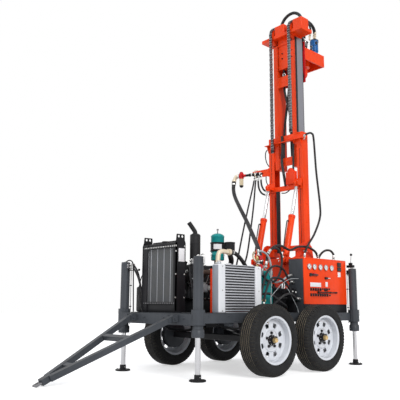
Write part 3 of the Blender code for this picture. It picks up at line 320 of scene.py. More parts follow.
@dataclass(frozen=True)
class Enamel(Finish):
    """Machine paint over steel: brushed-out tone, orange peel, dust on ledges, and patchy grime with painted shade in
    corners.
    """

    name: str
    colour: Colour
    roughness: float = 0.32
    peel: float = 0.25
    grime_and_shade: float = 0.45
    dust: float = 0.18
    tone: float = 0.1
    coat: float = 0.05
    gloss: float = 0.12

    def dress(self, graph: Graph) -> None:
        """Colour varies slowly, corners darken with patchy grime and painted shade, and upward faces hold a thin
        dust.
        """
        slow = graph.noise(3.0, 3.0)
        streaks = graph.noise(1.0, 5.0, 0.6, graph.stretched((26.0, 26.0, 2.2)))
        deep = mixed(self.colour, SOOT_AND_SHADE_TINT, 0.1 + self.tone)
        light = mixed(self.colour, (1.0, 1.0, 1.0), 0.05 * self.tone)
        tone = graph.blend((slow * 0.6 + streaks * 0.4).between(0.3, 0.68), deep, light)
        # painted shade with grime: the paint darkens in patches where surfaces close in
        corner = (1 - graph.crevices(0.035)).between(0.25, 0.95)
        patchy = graph.noise(34.0, 6.0, 0.65).between(0.35, 0.75)
        grimed_and_shaded = graph.blend(corner * patchy * self.grime_and_shade, tone, mixed(self.colour, SOOT_AND_SHADE_TINT, 0.75))
        ledge = graph.facing_up().between(0.55, 0.95) * graph.noise(11.0, 6.0, 0.6).between(0.42, 0.8)
        dusty = graph.blend(ledge * self.dust, grimed_and_shaded, DUST)
        speck = graph.cells(230.0).between(0.07, 0.04) * graph.noise(9.0, 2.0).between(0.58, 0.7)
        chipped = graph.blend(speck * 0.5, dusty, mixed(self.colour, SOOT_AND_SHADE_TINT, 0.6))
        rough = slow * 0.1 + ledge * 0.25 + corner * patchy * 0.2 + (self.roughness - 0.05)
        graph.set(Base_Color=chipped, Roughness=rough, Coat_Weight=self.coat, Coat_Roughness=0.12)
        graph.set(Specular_IOR_Level=self.gloss)
        graph.bump(graph.noise(420.0, 2.0), self.peel, 0.0004)
        graph.bump(graph.noise(26.0, 3.0), 0.1, 0.0015)


@dataclass(frozen=True)
class CastPaint(Finish):
    """Black paint on rough castings, with oil stains."""

    name: str
    colour: Colour = (0.02, 0.021, 0.023)
    roughness: float = 0.45

    def dress(self, graph: Graph) -> None:
        """Sandy bump and darker, glossier oil patches."""
        grain = graph.noise(260.0, 4.0, 0.7)
        oil = graph.noise(9.0, 5.0, 0.6).between(0.52, 0.7)
        worn = graph.noise(60.0, 5.0, 0.7).between(0.6, 0.8)
        base = graph.blend(worn * 0.35, self.colour, (0.1, 0.1, 0.1))
        graph.set(Base_Color=graph.blend(oil * 0.7, base, SOOT_AND_SHADE_TINT), Roughness=0.05 + self.roughness - oil * 0.22)
        graph.set(Specular_IOR_Level=0.18)
        graph.bump(grain, 0.55, 0.0012)
        graph.bump(graph.cells(90.0), 0.15, 0.002)


@dataclass(frozen=True)
class Bright(Finish):
    """Bare metal with fine scratches along one axis."""

    name: str
    colour: Colour = (0.72, 0.73, 0.75)
    roughness: float = 0.28
    brushed: tuple[float, float, float] = (300.0, 300.0, 8.0)
    stain: float = 0.25
    metallic: float = 1.0

    def dress(self, graph: Graph) -> None:
        """Scratches change roughness and stand out as a fine bump; stains cloud the tone and painted shade darkens
        the corners.
        """
        scratch = graph.noise(1.0, 3.0, 0.6, graph.stretched(self.brushed))
        cloud = graph.noise(14.0, 5.0, 0.6).between(0.4, 0.75)
        # painted shade: the metal's colour darkens towards near black where surfaces close in
        corner = (1 - graph.crevices(0.02)).between(0.3, 1.0)
        tone = graph.blend(cloud * self.stain, self.colour, mixed(self.colour, (0.22, 0.19, 0.16), 0.55))
        graph.set(Base_Color=graph.blend(corner * 0.55, tone, (0.05, 0.045, 0.04)), Metallic=self.metallic,
            Roughness=scratch * 0.16 + cloud * 0.12 + (self.roughness - 0.1))
        graph.bump(scratch, 0.12, 0.0003)


@dataclass(frozen=True)
class TyreRubber(Finish):
    """Tyre rubber, dusty in its grooves and matt on its wall."""

    name: str = "tyre_rubber"

    def dress(self, graph: Graph) -> None:
        """Pale road dust collects where the tread closes in."""
        groove = (1 - graph.crevices(0.012)).between(0.3, 0.9)
        cloud = graph.noise(22.0, 6.0, 0.6)
        base = graph.blend(cloud.between(0.3, 0.8), (0.01, 0.01, 0.011), (0.024, 0.024, 0.023))
        dusty = graph.blend(groove * cloud.between(0.2, 0.6) * 0.75, base, (0.2, 0.17, 0.12))
        graph.set(Base_Color=dusty, Roughness=cloud * 0.2 + 0.55, Specular_IOR_Level=0.14)
        graph.bump(graph.noise(500.0, 3.0, 0.7), 0.35, 0.0006)


@dataclass(frozen=True)
class HoseRubber(Finish):
    """Hydraulic hose: fine wrapped-cloth pattern on black rubber."""

    name: str = "hose_rubber"
    colour: Colour = (0.016, 0.016, 0.018)
    pitch: float = 700.0

    def dress(self, graph: Graph) -> None:
        """Crossed fine ridges and a little dust."""
        x, y, z = graph.axes()
        ridge = ((x + y + z) * self.pitch).sine() * ((x - y + z * 0.7) * self.pitch).sine()
        cloud = graph.noise(30.0, 5.0, 0.6)
        tone = graph.blend(cloud.between(0.45, 0.85) * 0.6, self.colour, (0.075, 0.072, 0.068))
        graph.set(Base_Color=tone, Roughness=cloud * 0.22 + 0.36, Specular_IOR_Level=0.2)
        graph.bump(ridge, 0.25, 0.0004)


@dataclass(frozen=True)
class Moulded(Finish):
    """Moulded plastic with a fine spark-eroded grain."""

    name: str
    colour: Colour
    roughness: float = 0.38

    def dress(self, graph: Graph) -> None:
        """Grain and a faint change of tone."""
        cloud = graph.noise(40.0, 4.0, 0.6)
        tone = graph.blend(cloud.between(0.35, 0.8) * 0.5, self.colour, mixed(self.colour, DUST, 0.25))
        graph.set(Base_Color=tone, Roughness=cloud * 0.15 + (self.roughness - 0.07), Specular_IOR_Level=0.2)
        graph.bump(graph.noise(900.0, 2.0), 0.2, 0.0003)


@dataclass(frozen=True)
class ClearBowl(Finish):
    """Clear plastic of a filter bowl, with amber oil behind it."""

    name: str = "clear_bowl"
    colour: Colour = (0.9, 0.78, 0.52)

    def dress(self, graph: Graph) -> None:
        """Mostly see-through, cloudy near its foot."""
        haze = graph.noise(70.0, 4.0, 0.6).between(0.35, 0.8)
        tone = graph.blend(haze * 0.4, self.colour, (0.7, 0.52, 0.25))
        graph.set(Base_Color=tone, Roughness=haze * 0.2 + 0.06, Alpha=haze * 0.15 + 0.62)


ORANGE = Enamel("orange_enamel", (0.93, 0.06, 0.004), 0.34, 0.25, 0.5, 0.06, 0.1)
ORANGE_DEEP = Enamel("orange_enamel_lower", (0.86, 0.046, 0.004), 0.36, 0.25, 0.6, 0.1, 0.12)
FRAME_GREY = Enamel("frame_grey_enamel", (0.056, 0.062, 0.071), 0.4, 0.3, 0.4, 0.2, 0.18)
BLACK = Enamel("black_enamel", (0.01, 0.01, 0.012), 0.38, 0.3, 0.3, 0.12, 0.1)
TEAL = Enamel("teal_enamel", (0.008, 0.27, 0.265), 0.3, 0.25, 0.45, 0.08, 0.12)
BLUE = Enamel("blue_enamel", (0.012, 0.12, 0.36), 0.32, 0.25, 0.45, 0.1, 0.12)
RED = Enamel("red_enamel", (0.62, 0.008, 0.01), 0.32, 0.25, 0.45, 0.08, 0.12)
RIM_WHITE = Enamel("rim_white_enamel", (0.69, 0.71, 0.745), 0.26, 0.2, 0.35, 0.2, 0.05)
PALE_TANK = Enamel("pale_tank_enamel", (0.82, 0.83, 0.85), 0.36, 0.35, 0.35, 0.12, 0.06)
PLATE_WHITE = Enamel("plate_white", (0.86, 0.84, 0.85), 0.4, 0.1, 0.25, 0.06, 0.05)
DIAL = Enamel("gauge_dial", (0.86, 0.85, 0.82), 0.35, 0.05, 0.1, 0.02, 0.02)
ENGINE_BLACK = CastPaint("engine_black")
ENGINE_GREY = CastPaint("engine_grey_casting", (0.055, 0.057, 0.06), 0.5)
TEAL_CAST = CastPaint("teal_casting", (0.01, 0.2, 0.195), 0.45)
RUSTY = CastPaint("burnt_manifold", (0.085, 0.055, 0.042), 0.62)
BLACK_HOT = CastPaint("heat_black", (0.014, 0.014, 0.015), 0.55)
# near black: soot at the tail pipe's end, and painted shade where it fills the radiator and cooler cores and the
# mast's holes
SOOT_AND_SHADE_BLACK = CastPaint("soot", (0.006, 0.006, 0.006), 0.9)
CHROME = Bright("hard_chrome", (0.5, 0.5, 0.51), 0.16, (30.0, 30.0, 500.0), 0.1)
STEEL = Bright("bare_steel", (0.52, 0.53, 0.55), 0.32)
DARK_STEEL = Bright("oiled_steel", (0.17, 0.17, 0.18), 0.36, (120.0, 120.0, 120.0), 0.35)
ZINC = Bright("zinc_plate", (0.54, 0.54, 0.53), 0.3, (160.0, 160.0, 160.0), 0.3)
ALUMINIUM = Bright("brazed_aluminium", (0.46, 0.47, 0.5), 0.42, (8.0, 300.0, 8.0), 0.22, 0.8)
FIN_GREY = Bright("radiator_fins", (0.095, 0.1, 0.105), 0.5, (200.0, 200.0, 20.0), 0.3, 0.5)
# a darker aluminium, on the cooler's fins and on a few of the radiator's tubes
ALUMINIUM_DARK = Bright("sooty_fins", (0.4, 0.41, 0.44), 0.45, (200.0, 200.0, 20.0), 0.4, 0.6)
BRASS = Bright("brass", (0.62, 0.44, 0.2), 0.3, (90.0, 90.0, 90.0), 0.35)
CREAM_CAST = Bright("cream_casting", (0.72, 0.62, 0.46), 0.45, (60.0, 60.0, 60.0), 0.3, 0.25)
SLIDE_STEEL = Bright("slide_steel", (0.25, 0.25, 0.28), 0.34, (260.0, 260.0, 5.0), 0.3, 0.7)
# grey for the painted shade on the pale cooler tank's forward face
SHADED_FACE_GREY = Enamel("panel_grey_enamel", (0.34, 0.36, 0.4), 0.38, 0.3, 0.35, 0.1, 0.06)
ROAD_DUST = Moulded("road_dust", (0.46, 0.38, 0.26), 0.8)
TYRE = TyreRubber()
HOSE = HoseRubber()
GREY_HOSE = HoseRubber("grey_hose_sleeve", (0.4, 0.42, 0.43), 500.0)
BLACK_PLASTIC = Moulded("black_plastic", (0.016, 0.016, 0.018))
RED_PLASTIC = Moulded("red_plastic", (0.5, 0.012, 0.02), 0.3)
BOWL = ClearBowl()


# Meshes


def catmull(route: Sequence[Point], step: float) -> list[Vector]:
    """Points about a step apart on one smooth curve through the route.

    Args:
        route: the given points.
        step: the wanted distance between points.

    Returns:
        The curve's points, the route's ends included.
    """
    points = [Vector(p) for p in route]
    ends = [2 * points[0] - points[1], *points, 2 * points[-1] - points[-2]]
    found = [points[0]]
    for before, start, end, after in zip(ends, ends[1:], ends[2:], ends[3:]):
        count = max(1, round((end - start).length / step))
        for number in range(1, count + 1):
            t = number / count
            straight = 2 * start + (end - before) * t
            square = (2 * before - 5 * start + 4 * end - after) * t * t
            cube = (3 * start - before - 3 * end + after) * t**3
            found.append(0.5 * (straight + square + cube))
    return found


def axis_turn(direction: Point) -> Matrix:
    """The rotation that takes +Z to a direction."""
    return Vector(direction).to_track_quat("Z", "Y").to_matrix().to_4x4()


def round_outline(points: Sequence[tuple[float, float]], radius: float, steps: int = 4) -> list[tuple[float, float]]:
    """A closed outline with its corners rounded.

    Args:
        points: the outline's corners.
        radius: the corners' radius.
        steps: the straight pieces of each corner.

    Returns:
        The rounded outline.
    """
    rounded = []
    for number, corner in enumerate(points):
        here = Vector(corner)
        back = (Vector(points[number - 1]) - here).normalized()
        ahead = (Vector(points[(number + 1) % len(points)]) - here).normalized()
        half = math.acos(max(-1.0, min(1.0, back.dot(ahead)))) / 2
        reach = radius / max(math.tan(half), 0.05)
        middle = here + (back + ahead).normalized() * radius / max(math.sin(half), 0.05)
        first = here + back * reach - middle
        last = here + ahead * reach - middle
        start = math.atan2(first.y, first.x)
        turn = (math.atan2(last.y, last.x) - start + math.pi) % math.tau - math.pi
        for step in range(steps + 1):
            angle = start + turn * step / steps
            rounded.append((middle.x + radius * math.cos(angle), middle.y + radius * math.sin(angle)))
    return rounded


def spaced(first: float, pitch: float, count: int) -> list[float]:
    """Evenly spaced numbers."""
    return [first + pitch * number for number in range(count)]


def circle_angles(count: int, start: float = 0.0) -> list[float]:
    """Angles evenly round a circle."""
    return [start + math.tau * number / count for number in range(count)]


def circle_outline(radius: float, count: int, middle: tuple[float, float] = (0.0, 0.0)) -> list[tuple[float, float]]:
    """A round outline."""
    return [(middle[0] + radius * math.cos(a), middle[1] + radius * math.sin(a)) for a in circle_angles(count)]


class Plane(Enum):
    """The plane that an outline is drawn in: its first axis, its second, and the way it thickens."""

    XY = ((1, 0, 0), (0, 1, 0), (0, 0, 1))
    XZ = ((1, 0, 0), (0, 0, 1), (0, -1, 0))
    YZ = ((0, 1, 0), (0, 0, 1), (1, 0, 0))

    def matrix(self, at: Point) -> Matrix:
        """The matrix that takes a drawing in XY to this plane at a point."""
        columns = Matrix([Vector(axis) for axis in self.value]).transposed()
        return Matrix.Translation(Vector(at)) @ columns.to_4x4()


def heading(plane: Plane, angle: float) -> Vector:
    """The direction in a plane at an angle from its first axis."""
    return Vector(plane.value[0]) * math.cos(angle) + Vector(plane.value[1]) * math.sin(angle)


def circle_points(at: Point, plane: Plane, radius: float, count: int, start: float = 0.0) -> list[Vector]:
    """Points evenly round a circle in a plane."""
    return [Vector(at) + heading(plane, angle) * radius for angle in circle_angles(count, start)]


SMOOTH_BELOW = math.radians(38)
FLAT_BELOW = 0.01
ON_AXIS = 1e-6
WELD = 1e-5
HOSE_STEP = 0.012
HOSE_SIDES = 14
RING_SIDES = 6


class Shape:
    """The mesh of one piece, gathered from simple forms that keep their own finishes."""

    def __init__(self, finish: Finish) -> None:
        """An empty shape.

        Args:
            finish: what a form gets that names no finish of its own.
        """
        self.bm = bmesh.new()
        self.finishes = [finish]
        self.turn = Matrix.Identity(4)

    def _slot(self, finish: Optional[Finish]) -> int:
        """The number of a finish in this shape."""
        if finish is None:
            return 0
        if finish not in self.finishes:
            self.finishes.append(finish)
        return self.finishes.index(finish)

    def take(self, part: bmesh.types.BMesh, place: Matrix, finish: Optional[Finish]) -> None:
        """Adds a form's faces."""
        slot = self._slot(finish)
        for face in part.faces:
            face.material_index = slot
        whole = self.turn @ place
        part.transform(whole)
        if whole.determinant() < 0:
            bmesh.ops.reverse_faces(part, faces=part.faces)
        mesh = bpy.data.meshes.new("form")
        part.to_mesh(mesh)
        part.free()
        self.bm.from_mesh(mesh)
        bpy.data.meshes.remove(mesh)

    @staticmethod
    def _soften(part: bmesh.types.BMesh, width: float, segments: int, least: float = 30.0) -> None:
        """Rounds the edges that are sharper than an angle in degrees."""
        if width <= 0:
            return
        sharp = [e for e in part.edges if len(e.link_faces) == 2 and e.calc_face_angle(0) > math.radians(least)]
        bmesh.ops.bevel(part, geom=sharp, offset=width, segments=segments, affect="EDGES", profile=0.5,
            clamp_overlap=True)

    def box(self, low: Point, high: Point, edge: float = 0.0015, finish: Optional[Finish] = None,
        segments: int = 2) -> None:
        """A box between two corners, with rounded edges."""
        low, high = Vector(low), Vector(high)
        part = bmesh.new()
        bmesh.ops.create_cube(part, size=1.0)
        bmesh.ops.scale(part, vec=high - low, verts=part.verts)
        self._soften(part, min(edge, min(high - low) * 0.45), segments)
        self.take(part, Matrix.Translation((low + high) / 2), finish)

    def block(self, middle: Vector, half: Point, edge: float, finish: Optional[Finish] = None) -> None:
        """A box about its middle, from half its size along each axis."""
        self.box(middle - Vector(half), middle + Vector(half), edge, finish)

    def beam(self, start: Point, end: Point, width: float, depth: float, edge: float = 0.002,
        finish: Optional[Finish] = None, up: Point = UP) -> None:
        """A straight bar of rectangular section, its depth along up."""
        start, end = Vector(start), Vector(end)
        forward = (end - start).normalized()
        across = forward.cross(Vector(up)).normalized()
        part = bmesh.new()
        bmesh.ops.create_cube(part, size=1.0)
        bmesh.ops.scale(part, vec=(width, depth, (end - start).length), verts=part.verts)
        self._soften(part, edge, 2)
        turn = Matrix((across, across.cross(forward), forward)).transposed().to_4x4()
        self.take(part, Matrix.Translation((start + end) / 2) @ turn, finish)

    def rod(self, start: Point, end: Point, radius: float, finish: Optional[Finish] = None, sides: int = 24,
        edge: float = 0.0012, end_radius: Optional[float] = None) -> None:
        """A round bar or cone between two points, or a hexagonal one with six sides."""
        start, end = Vector(start), Vector(end)
        part = bmesh.new()
        top = radius if end_radius is None else end_radius
        bmesh.ops.create_cone(part, cap_ends=True, segments=sides, radius1=radius, radius2=top,
            depth=(end - start).length)
        self._soften(part, min(edge, radius * 0.4), 2, 50.0)
        self.take(part, Matrix.Translation((start + end) / 2) @ axis_turn(end - start), finish)

    def lathe(self, profile: Sequence[tuple[float, float]], at: Point, direction: Point = UP, steps: int = 48,
        finish: Optional[Finish] = None) -> None:
        """A turned form from (radius, height) points; a point on the axis closes an end."""
        part = bmesh.new()
        rings = []
        for radius, height in profile:
            if radius < ON_AXIS:
                rings.append([part.verts.new((0, 0, height))])
                continue
            rings.append([part.verts.new((x, y, height)) for x, y in circle_outline(radius, steps)])
        for lower, upper in zip(rings, rings[1:]):
            for step in range(steps):
                after = (step + 1) % steps
                corners = [lower[step % len(lower)], lower[after % len(lower)]]
                corners += [upper[after % len(upper)], upper[step % len(upper)]]
                part.faces.new(list(dict.fromkeys(corners)))
        bmesh.ops.recalc_face_normals(part, faces=part.faces)
        self.take(part, Matrix.Translation(Vector(at)) @ axis_turn(direction), finish)

    def prism(self, outline: Sequence[tuple[float, float]], plane: Plane, at: Point, thickness: float,
        edge: float = 0.0012, finish: Optional[Finish] = None,
        holes: Sequence[Sequence[tuple[float, float]]] = ()) -> None:
        """A flat plate from its outline, thickened both ways from the point, with holes."""
        part = bmesh.new()
        edges = []
        for loop in (outline, *holes):
            corners = [part.verts.new((u, v, 0)) for u, v in loop]
            edges += [part.edges.new((a, b)) for a, b in zip(corners, corners[1:] + corners[:1])]
        bmesh.ops.triangle_fill(part, use_beauty=True, use_dissolve=False, edges=edges)
        faces = list(part.faces)
        grown = bmesh.ops.extrude_face_region(part, geom=faces)["geom"]
        moved = [item for item in grown if isinstance(item, bmesh.types.BMVert)]
        bmesh.ops.translate(part, vec=(0, 0, thickness), verts=moved)
        bmesh.ops.translate(part, vec=(0, 0, -thickness / 2), verts=part.verts)
        bmesh.ops.recalc_face_normals(part, faces=part.faces)
        flat = [e for e in part.edges if len(e.link_faces) == 2 and e.calc_face_angle(0) < FLAT_BELOW]
        bmesh.ops.dissolve_edges(part, edges=flat, use_verts=False, use_face_split=False)
        self._soften(part, min(edge, thickness * 0.4), 1, 60.0)
        self.take(part, plane.matrix(at), finish)

    def sweep(self, points: Sequence[Point], radius: Union[float, Callable[[float], float]],
        finish: Optional[Finish] = None, sides: int = 12) -> None:
        """A round tube along points, its radius a number or a function of the share of its length."""
        points = [Vector(p) for p in points]
        part = bmesh.new()
        width = radius if callable(radius) else lambda share: radius
        tangents = [(b - a).normalized() for a, b in zip([points[0], *points], [*points[1:], points[-1]])]
        tangents[0] = (points[1] - points[0]).normalized()
        tangents[-1] = (points[-1] - points[-2]).normalized()
        tangents[1:-1] = [(b - a).normalized() for a, b in zip(points, points[2:])]
        side = tangents[0].orthogonal().normalized()
        rings = []
        for number, (point, tangent) in enumerate(zip(points, tangents)):
            side = (side - tangent * side.dot(tangent)).normalized()
            other = tangent.cross(side)
            reach = width(number / (len(points) - 1))
            rings.append([part.verts.new(point + (side * x + other * y) * reach)
                for x, y in circle_outline(1.0, sides)])
        for lower, upper in zip(rings, rings[1:]):
            for step in range(sides):
                after = (step + 1) % sides
                part.faces.new((lower[step], lower[after], upper[after], upper[step]))
        part.faces.new(list(reversed(rings[0])))
        part.faces.new(rings[-1])
        self.take(part, Matrix.Identity(4), finish)

    def pipe(self, route: Sequence[Point], step: float, radius: float, finish: Optional[Finish] = None,
        sides: int = 12) -> None:
        """A round tube on one smooth curve through given points, its rings about a step apart."""
        self.sweep(catmull(route, step), radius, finish, sides)

    def ball(self, at: Point, radius: float, finish: Optional[Finish] = None, steps: int = 16) -> None:
        """A ball."""
        part = bmesh.new()
        bmesh.ops.create_uvsphere(part, u_segments=steps, v_segments=steps // 2, radius=radius)
        self.take(part, Matrix.Translation(Vector(at)), finish)

    def ring(self, at: Point, direction: Point, radius: float, wire: float, finish: Optional[Finish] = None,
        steps: int = 24) -> None:
        """A round ring of round wire, such as a weld bead or an O-ring."""
        part = bmesh.new()
        rings = []
        for x, y in circle_outline(1.0, steps):
            outward = Vector((x, y, 0))
            rings.append([part.verts.new(outward * (radius + u) + Vector((0, 0, v)))
                for u, v in circle_outline(wire, RING_SIDES)])
        for lower, upper in zip(rings, rings[1:] + rings[:1]):
            for number in range(RING_SIDES):
                after = (number + 1) % RING_SIDES
                part.faces.new((lower[number], upper[number], upper[after], lower[after]))
        self.take(part, Matrix.Translation(Vector(at)) @ axis_turn(direction), finish)

    def sheet(self, faces: Iterable[Sequence[Point]], finish: Optional[Finish] = None) -> None:
        """Flat faces from their corners, joined where they touch."""
        part = bmesh.new()
        for corners in faces:
            part.faces.new([part.verts.new(Vector(corner)) for corner in corners])
        bmesh.ops.remove_doubles(part, verts=part.verts, dist=WELD)
        self.take(part, Matrix.Identity(4), finish)

    def bolt(self, at: Point, direction: Point, size: float = 0.012, finish: Optional[Finish] = None) -> None:
        """A hexagon bolt head on its washer.

        Args:
            at: the point on the surface under the washer.
            direction: the way out of the surface.
            size: the head's width across its corners.
            finish: the bolt's finish.
        """
        at, out = Vector(at), Vector(direction).normalized()
        self.rod(at - out * 0.001, at + out * size * 0.12, size * 0.78, finish, 16, 0.0004)
        self.rod(at + out * size * 0.1, at + out * size * 0.52, size * 0.5, finish, 6, 0.0006)

    def bolts(self, row: Iterable[Point], direction: Point, size: float = 0.012,
        finish: Optional[Finish] = None) -> None:
        """A bolt at each place."""
        for place in row:
            self.bolt(place, direction, size, finish)

    def fitting(self, at: Point, direction: Point, radius: float, finish: Finish = ZINC) -> None:
        """A hose end: a hexagon nut at the port and a crimped ferrule behind it.

        Args:
            at: where the nut meets its port.
            direction: the way from the port into the hose.
            radius: the hose's radius.
            finish: the metal's finish.
        """
        at, out = Vector(at), Vector(direction).normalized()
        self.rod(at, at + out * radius * 1.6, radius * 1.35, finish, 6, 0.0008)
        self.rod(at + out * radius * 1.4, at + out * radius * 2.4, radius * 0.8, finish, 16)
        start = at + out * radius * 2.2
        self.rod(start, start + out * radius * 3.0, radius * 1.18, finish, 12, 0.001)
        for reach in spaced(0.6, 0.8, 3):
            self.ring(start + out * radius * reach, out, radius * 1.17, radius * 0.08, finish, 16)

    def hose(self, route: Sequence[Point], radius: float, finish: Finish = HOSE,
        ends: tuple[bool, bool] = (True, True)) -> None:
        """A hose through given points, with its end fittings.

        Args:
            route: the points that the hose passes through.
            radius: the hose's outer radius.
            finish: the hose's finish.
            ends: whether the first and the last end have a fitting.
        """
        points = catmull(route, HOSE_STEP)
        self.sweep(points, radius, finish, HOSE_SIDES)
        if ends[0]:
            self.fitting(points[0], points[1] - points[0], radius)
        if ends[1]:
            self.fitting(points[-1], points[-2] - points[-1], radius)

    def copies(self, form: "Shape", places: Iterable[Matrix]) -> None:
        """Adds another shape at each matrix, and frees it."""
        slots = [self._slot(finish) for finish in form.finishes]
        for face in form.bm.faces:
            face.material_index = slots[face.material_index]
        mesh = bpy.data.meshes.new("form")
        form.bm.to_mesh(mesh)
        form.bm.free()
        for place in places:
            turned = mesh.copy()
            turned.transform(self.turn @ place)
            self.bm.from_mesh(turned)
            bpy.data.meshes.remove(turned)
        bpy.data.meshes.remove(mesh)

    def finish(self, name: str, body: str, slot: str, replaces: Sequence[str] = ()) -> bpy.types.Object:
        """Makes the object, moves it into the frame and lets it ride on its body.

        Args:
            name: the piece's name.
            body: the frame's body that it moves with.
            slot: not used.
            replaces: the frame nodes that it stands for.

        Returns:
            The object.
        """
        self.bm.transform(INTO_FRAME)
        mesh = bpy.data.meshes.new(name)
        self.bm.to_mesh(mesh)
        triangles = sum(len(face.verts) - 2 for face in self.bm.faces)
        self.bm.free()
        for finish in self.finishes:
            mesh.materials.append(finish.material())
        mesh.shade_smooth()
        mesh.set_sharp_from_angle(angle=SMOOTH_BELOW)
        piece = bpy.data.objects.new(name, mesh)
        bpy.context.scene.collection.objects.link(piece)
        if replaces:
            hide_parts(*replaces)
        if body:
            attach(piece, body)
        LOG.info("%s: %d triangles on %s", name, triangles, body or "two bodies")
        return piece


def across_joint(shape: Shape, name: str,
    slot: str) -> bpy.types.Object:
    """Finishes a hose that runs between two bodies: it rides on neither, its place baked into its mesh.

    Args:
        shape: the hose's shape.
        name: the piece's name.
        slot: not used; it is passed on to Shape.finish, which ignores it.

    Returns:
        The object.
    """
    piece = shape.finish(name, "", slot)
    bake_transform(piece)
    return piece


def dress_node(node: str, finish: Finish) -> None:
    """Gives a frame node that stays as it is a better material.

    Args:
        node: the node's name.
        finish: its finish.
    """
    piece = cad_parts[node]
    piece.data.materials.clear()
    piece.data.materials.append(finish.material())
    piece.data.shade_smooth()
    piece.data.set_sharp_from_angle(angle=SMOOTH_BELOW)


# Floor, light and camera


@dataclass
class Studio:
    """Plain pale floor, soft light and the photograph's camera."""

    camera_at: tuple[float, float, float] = (4.2724, -4.4673, 0.6243)
    azimuth: float = 47.8239
    rise: float = 10.1476
    roll: float = 0.4012
    focal: float = 52.81
    sensor: float = 36.0
    clip: tuple[float, float] = (0.1, 200.0)
    floor_size: float = 60.0
    floor_drop: float = 0.0005
    floor_grey: float = 0.8
    floor_glow: float = 0.55
    fill: Colour = (0.36, 0.37, 0.4)

    def build(self) -> None:
        """Makes the camera, floor, background and lights."""
        self._camera()
        self._floor()
        self._world()
        self._lights()
        bpy.context.scene.view_settings.view_transform = "Standard"

    def _camera(self) -> None:
        """The camera stands low beside the drawbar's left and looks up a little."""
        azimuth, rise, roll = (math.radians(angle) for angle in (self.azimuth, self.rise, self.roll))
        forward = Vector((-math.sin(azimuth) * math.cos(rise), math.cos(azimuth) * math.cos(rise), math.sin(rise)))
        right = Vector((math.cos(azimuth), math.sin(azimuth), 0))
        up = right.cross(forward)
        turned_right = right * math.cos(roll) + up * math.sin(roll)
        turned_up = up * math.cos(roll) - right * math.sin(roll)
        data = bpy.data.cameras.new("photo_camera")
        data.sensor_width = self.sensor
        data.lens = self.focal
        data.clip_start, data.clip_end = self.clip
        camera = bpy.data.objects.new("photo_camera", data)
        bpy.context.scene.collection.objects.link(camera)
        turn = Matrix((turned_right, turned_up, -forward)).transposed().to_4x4()
        camera.matrix_world = INTO_FRAME @ Matrix.Translation(self.camera_at) @ turn
        bpy.context.scene.camera = camera

    def _floor(self) -> None:
        """A pale floor that keeps the rig's shadow and fades into the white background."""
        mesh = bpy.data.meshes.new("studio_floor")
        half = self.floor_size / 2
        part = bmesh.new()
        bmesh.ops.create_grid(part, x_segments=1, y_segments=1, size=half)
        bmesh.ops.translate(part, vec=(0, 0, -self.floor_drop), verts=part.verts)
        part.to_mesh(mesh)
        part.free()
        floor = bpy.data.objects.new("studio_floor", mesh)
        bpy.context.scene.collection.objects.link(floor)
        graph = Graph("studio_floor")
        grain = graph.noise(60.0, 3.0)
        tone = graph.blend(grain, (self.floor_grey,) * 3, (self.floor_grey * 1.03,) * 3)
        graph.set(Base_Color=tone, Roughness=0.9)
        graph.bump(grain, 0.02, 0.001)
        glow = graph.add("ShaderNodeEmission", {}, {"Color": (1.0, 1.0, 1.0), "Strength": self.floor_glow})
        both = graph.tree.nodes.new("ShaderNodeAddShader")
        graph.tree.links.new(graph.shader.node.outputs[0], both.inputs[0])
        graph.tree.links.new(glow.node.outputs[0], both.inputs[1])
        path = graph.add("ShaderNodeLightPath", {}, {})
        seen = path.wire("Is Camera Ray").math("MAXIMUM", path.wire("Is Camera Ray"), path.wire("Is Glossy Ray"))
        mix = graph.add("ShaderNodeMixShader", {}, {0: seen})
        graph.tree.links.new(graph.shader.node.outputs[0], mix.node.inputs[1])
        graph.tree.links.new(both.outputs[0], mix.node.inputs[2])
        graph.tree.links.new(mix.node.outputs[0], graph.output.node.inputs["Surface"])
        mesh.materials.append(graph.material)

    def _world(self) -> None:
        """White where the camera, gloss or glass sees it, and a soft fill elsewhere."""
        world = bpy.data.worlds.new("studio_world")
        bpy.context.scene.world = world
        world.use_nodes = True
        tree = world.node_tree
        background = tree.nodes["Background"]
        path = tree.nodes.new("ShaderNodeLightPath")
        rays = [path.outputs[name] for name in ("Is Camera Ray", "Is Glossy Ray", "Is Transmission Ray")]
        seen = rays[0]
        for other in rays[1:]:
            either = tree.nodes.new("ShaderNodeMath")
            either.operation = "MAXIMUM"
            tree.links.new(seen, either.inputs[0])
            tree.links.new(other, either.inputs[1])
            seen = either.outputs[0]
        mix = tree.nodes.new("ShaderNodeMix")
        mix.data_type = "RGBA"
        mix.inputs[6].default_value = (*self.fill, 1)
        mix.inputs[7].default_value = (1, 1, 1, 1)
        tree.links.new(seen, mix.inputs[0])
        tree.links.new(mix.outputs[2], background.inputs["Color"])
        background.inputs["Strength"].default_value = 1.0

    def _lights(self) -> None:
        """Three soft suns: a key over the camera's right shoulder, a fill from its left and one from above."""
        for name, strength, spread, direction in (
            # the direction is the way the light travels
            ("key", 2.1, 25.0, (-0.8, 0.32, -0.52)),
            ("fill", 0.8, 50.0, (0.3, 0.9, -0.42)),
            ("top", 0.4, 60.0, (0.05, -0.1, -1.0)),
        ):
            data = bpy.data.lights.new(f"{name}_sun", "SUN")
            data.energy = strength
            data.angle = math.radians(spread)
            lamp = bpy.data.objects.new(f"{name}_sun", data)
            lamp.rotation_euler = Vector(direction).to_track_quat("-Z", "Y").to_euler()
            bpy.context.scene.collection.objects.link(lamp)


# Wheels, jacks, frame and drawbar


class Corner(Enum):
    """The four corners: side along X and end along Y."""

    FRONT_LEFT = (1, -1)
    FRONT_RIGHT = (-1, -1)
    REAR_LEFT = (1, 1)
    REAR_RIGHT = (-1, 1)

    @property
    def label(self) -> str:
        """The corner's name in the frame."""
        return self.name.lower()


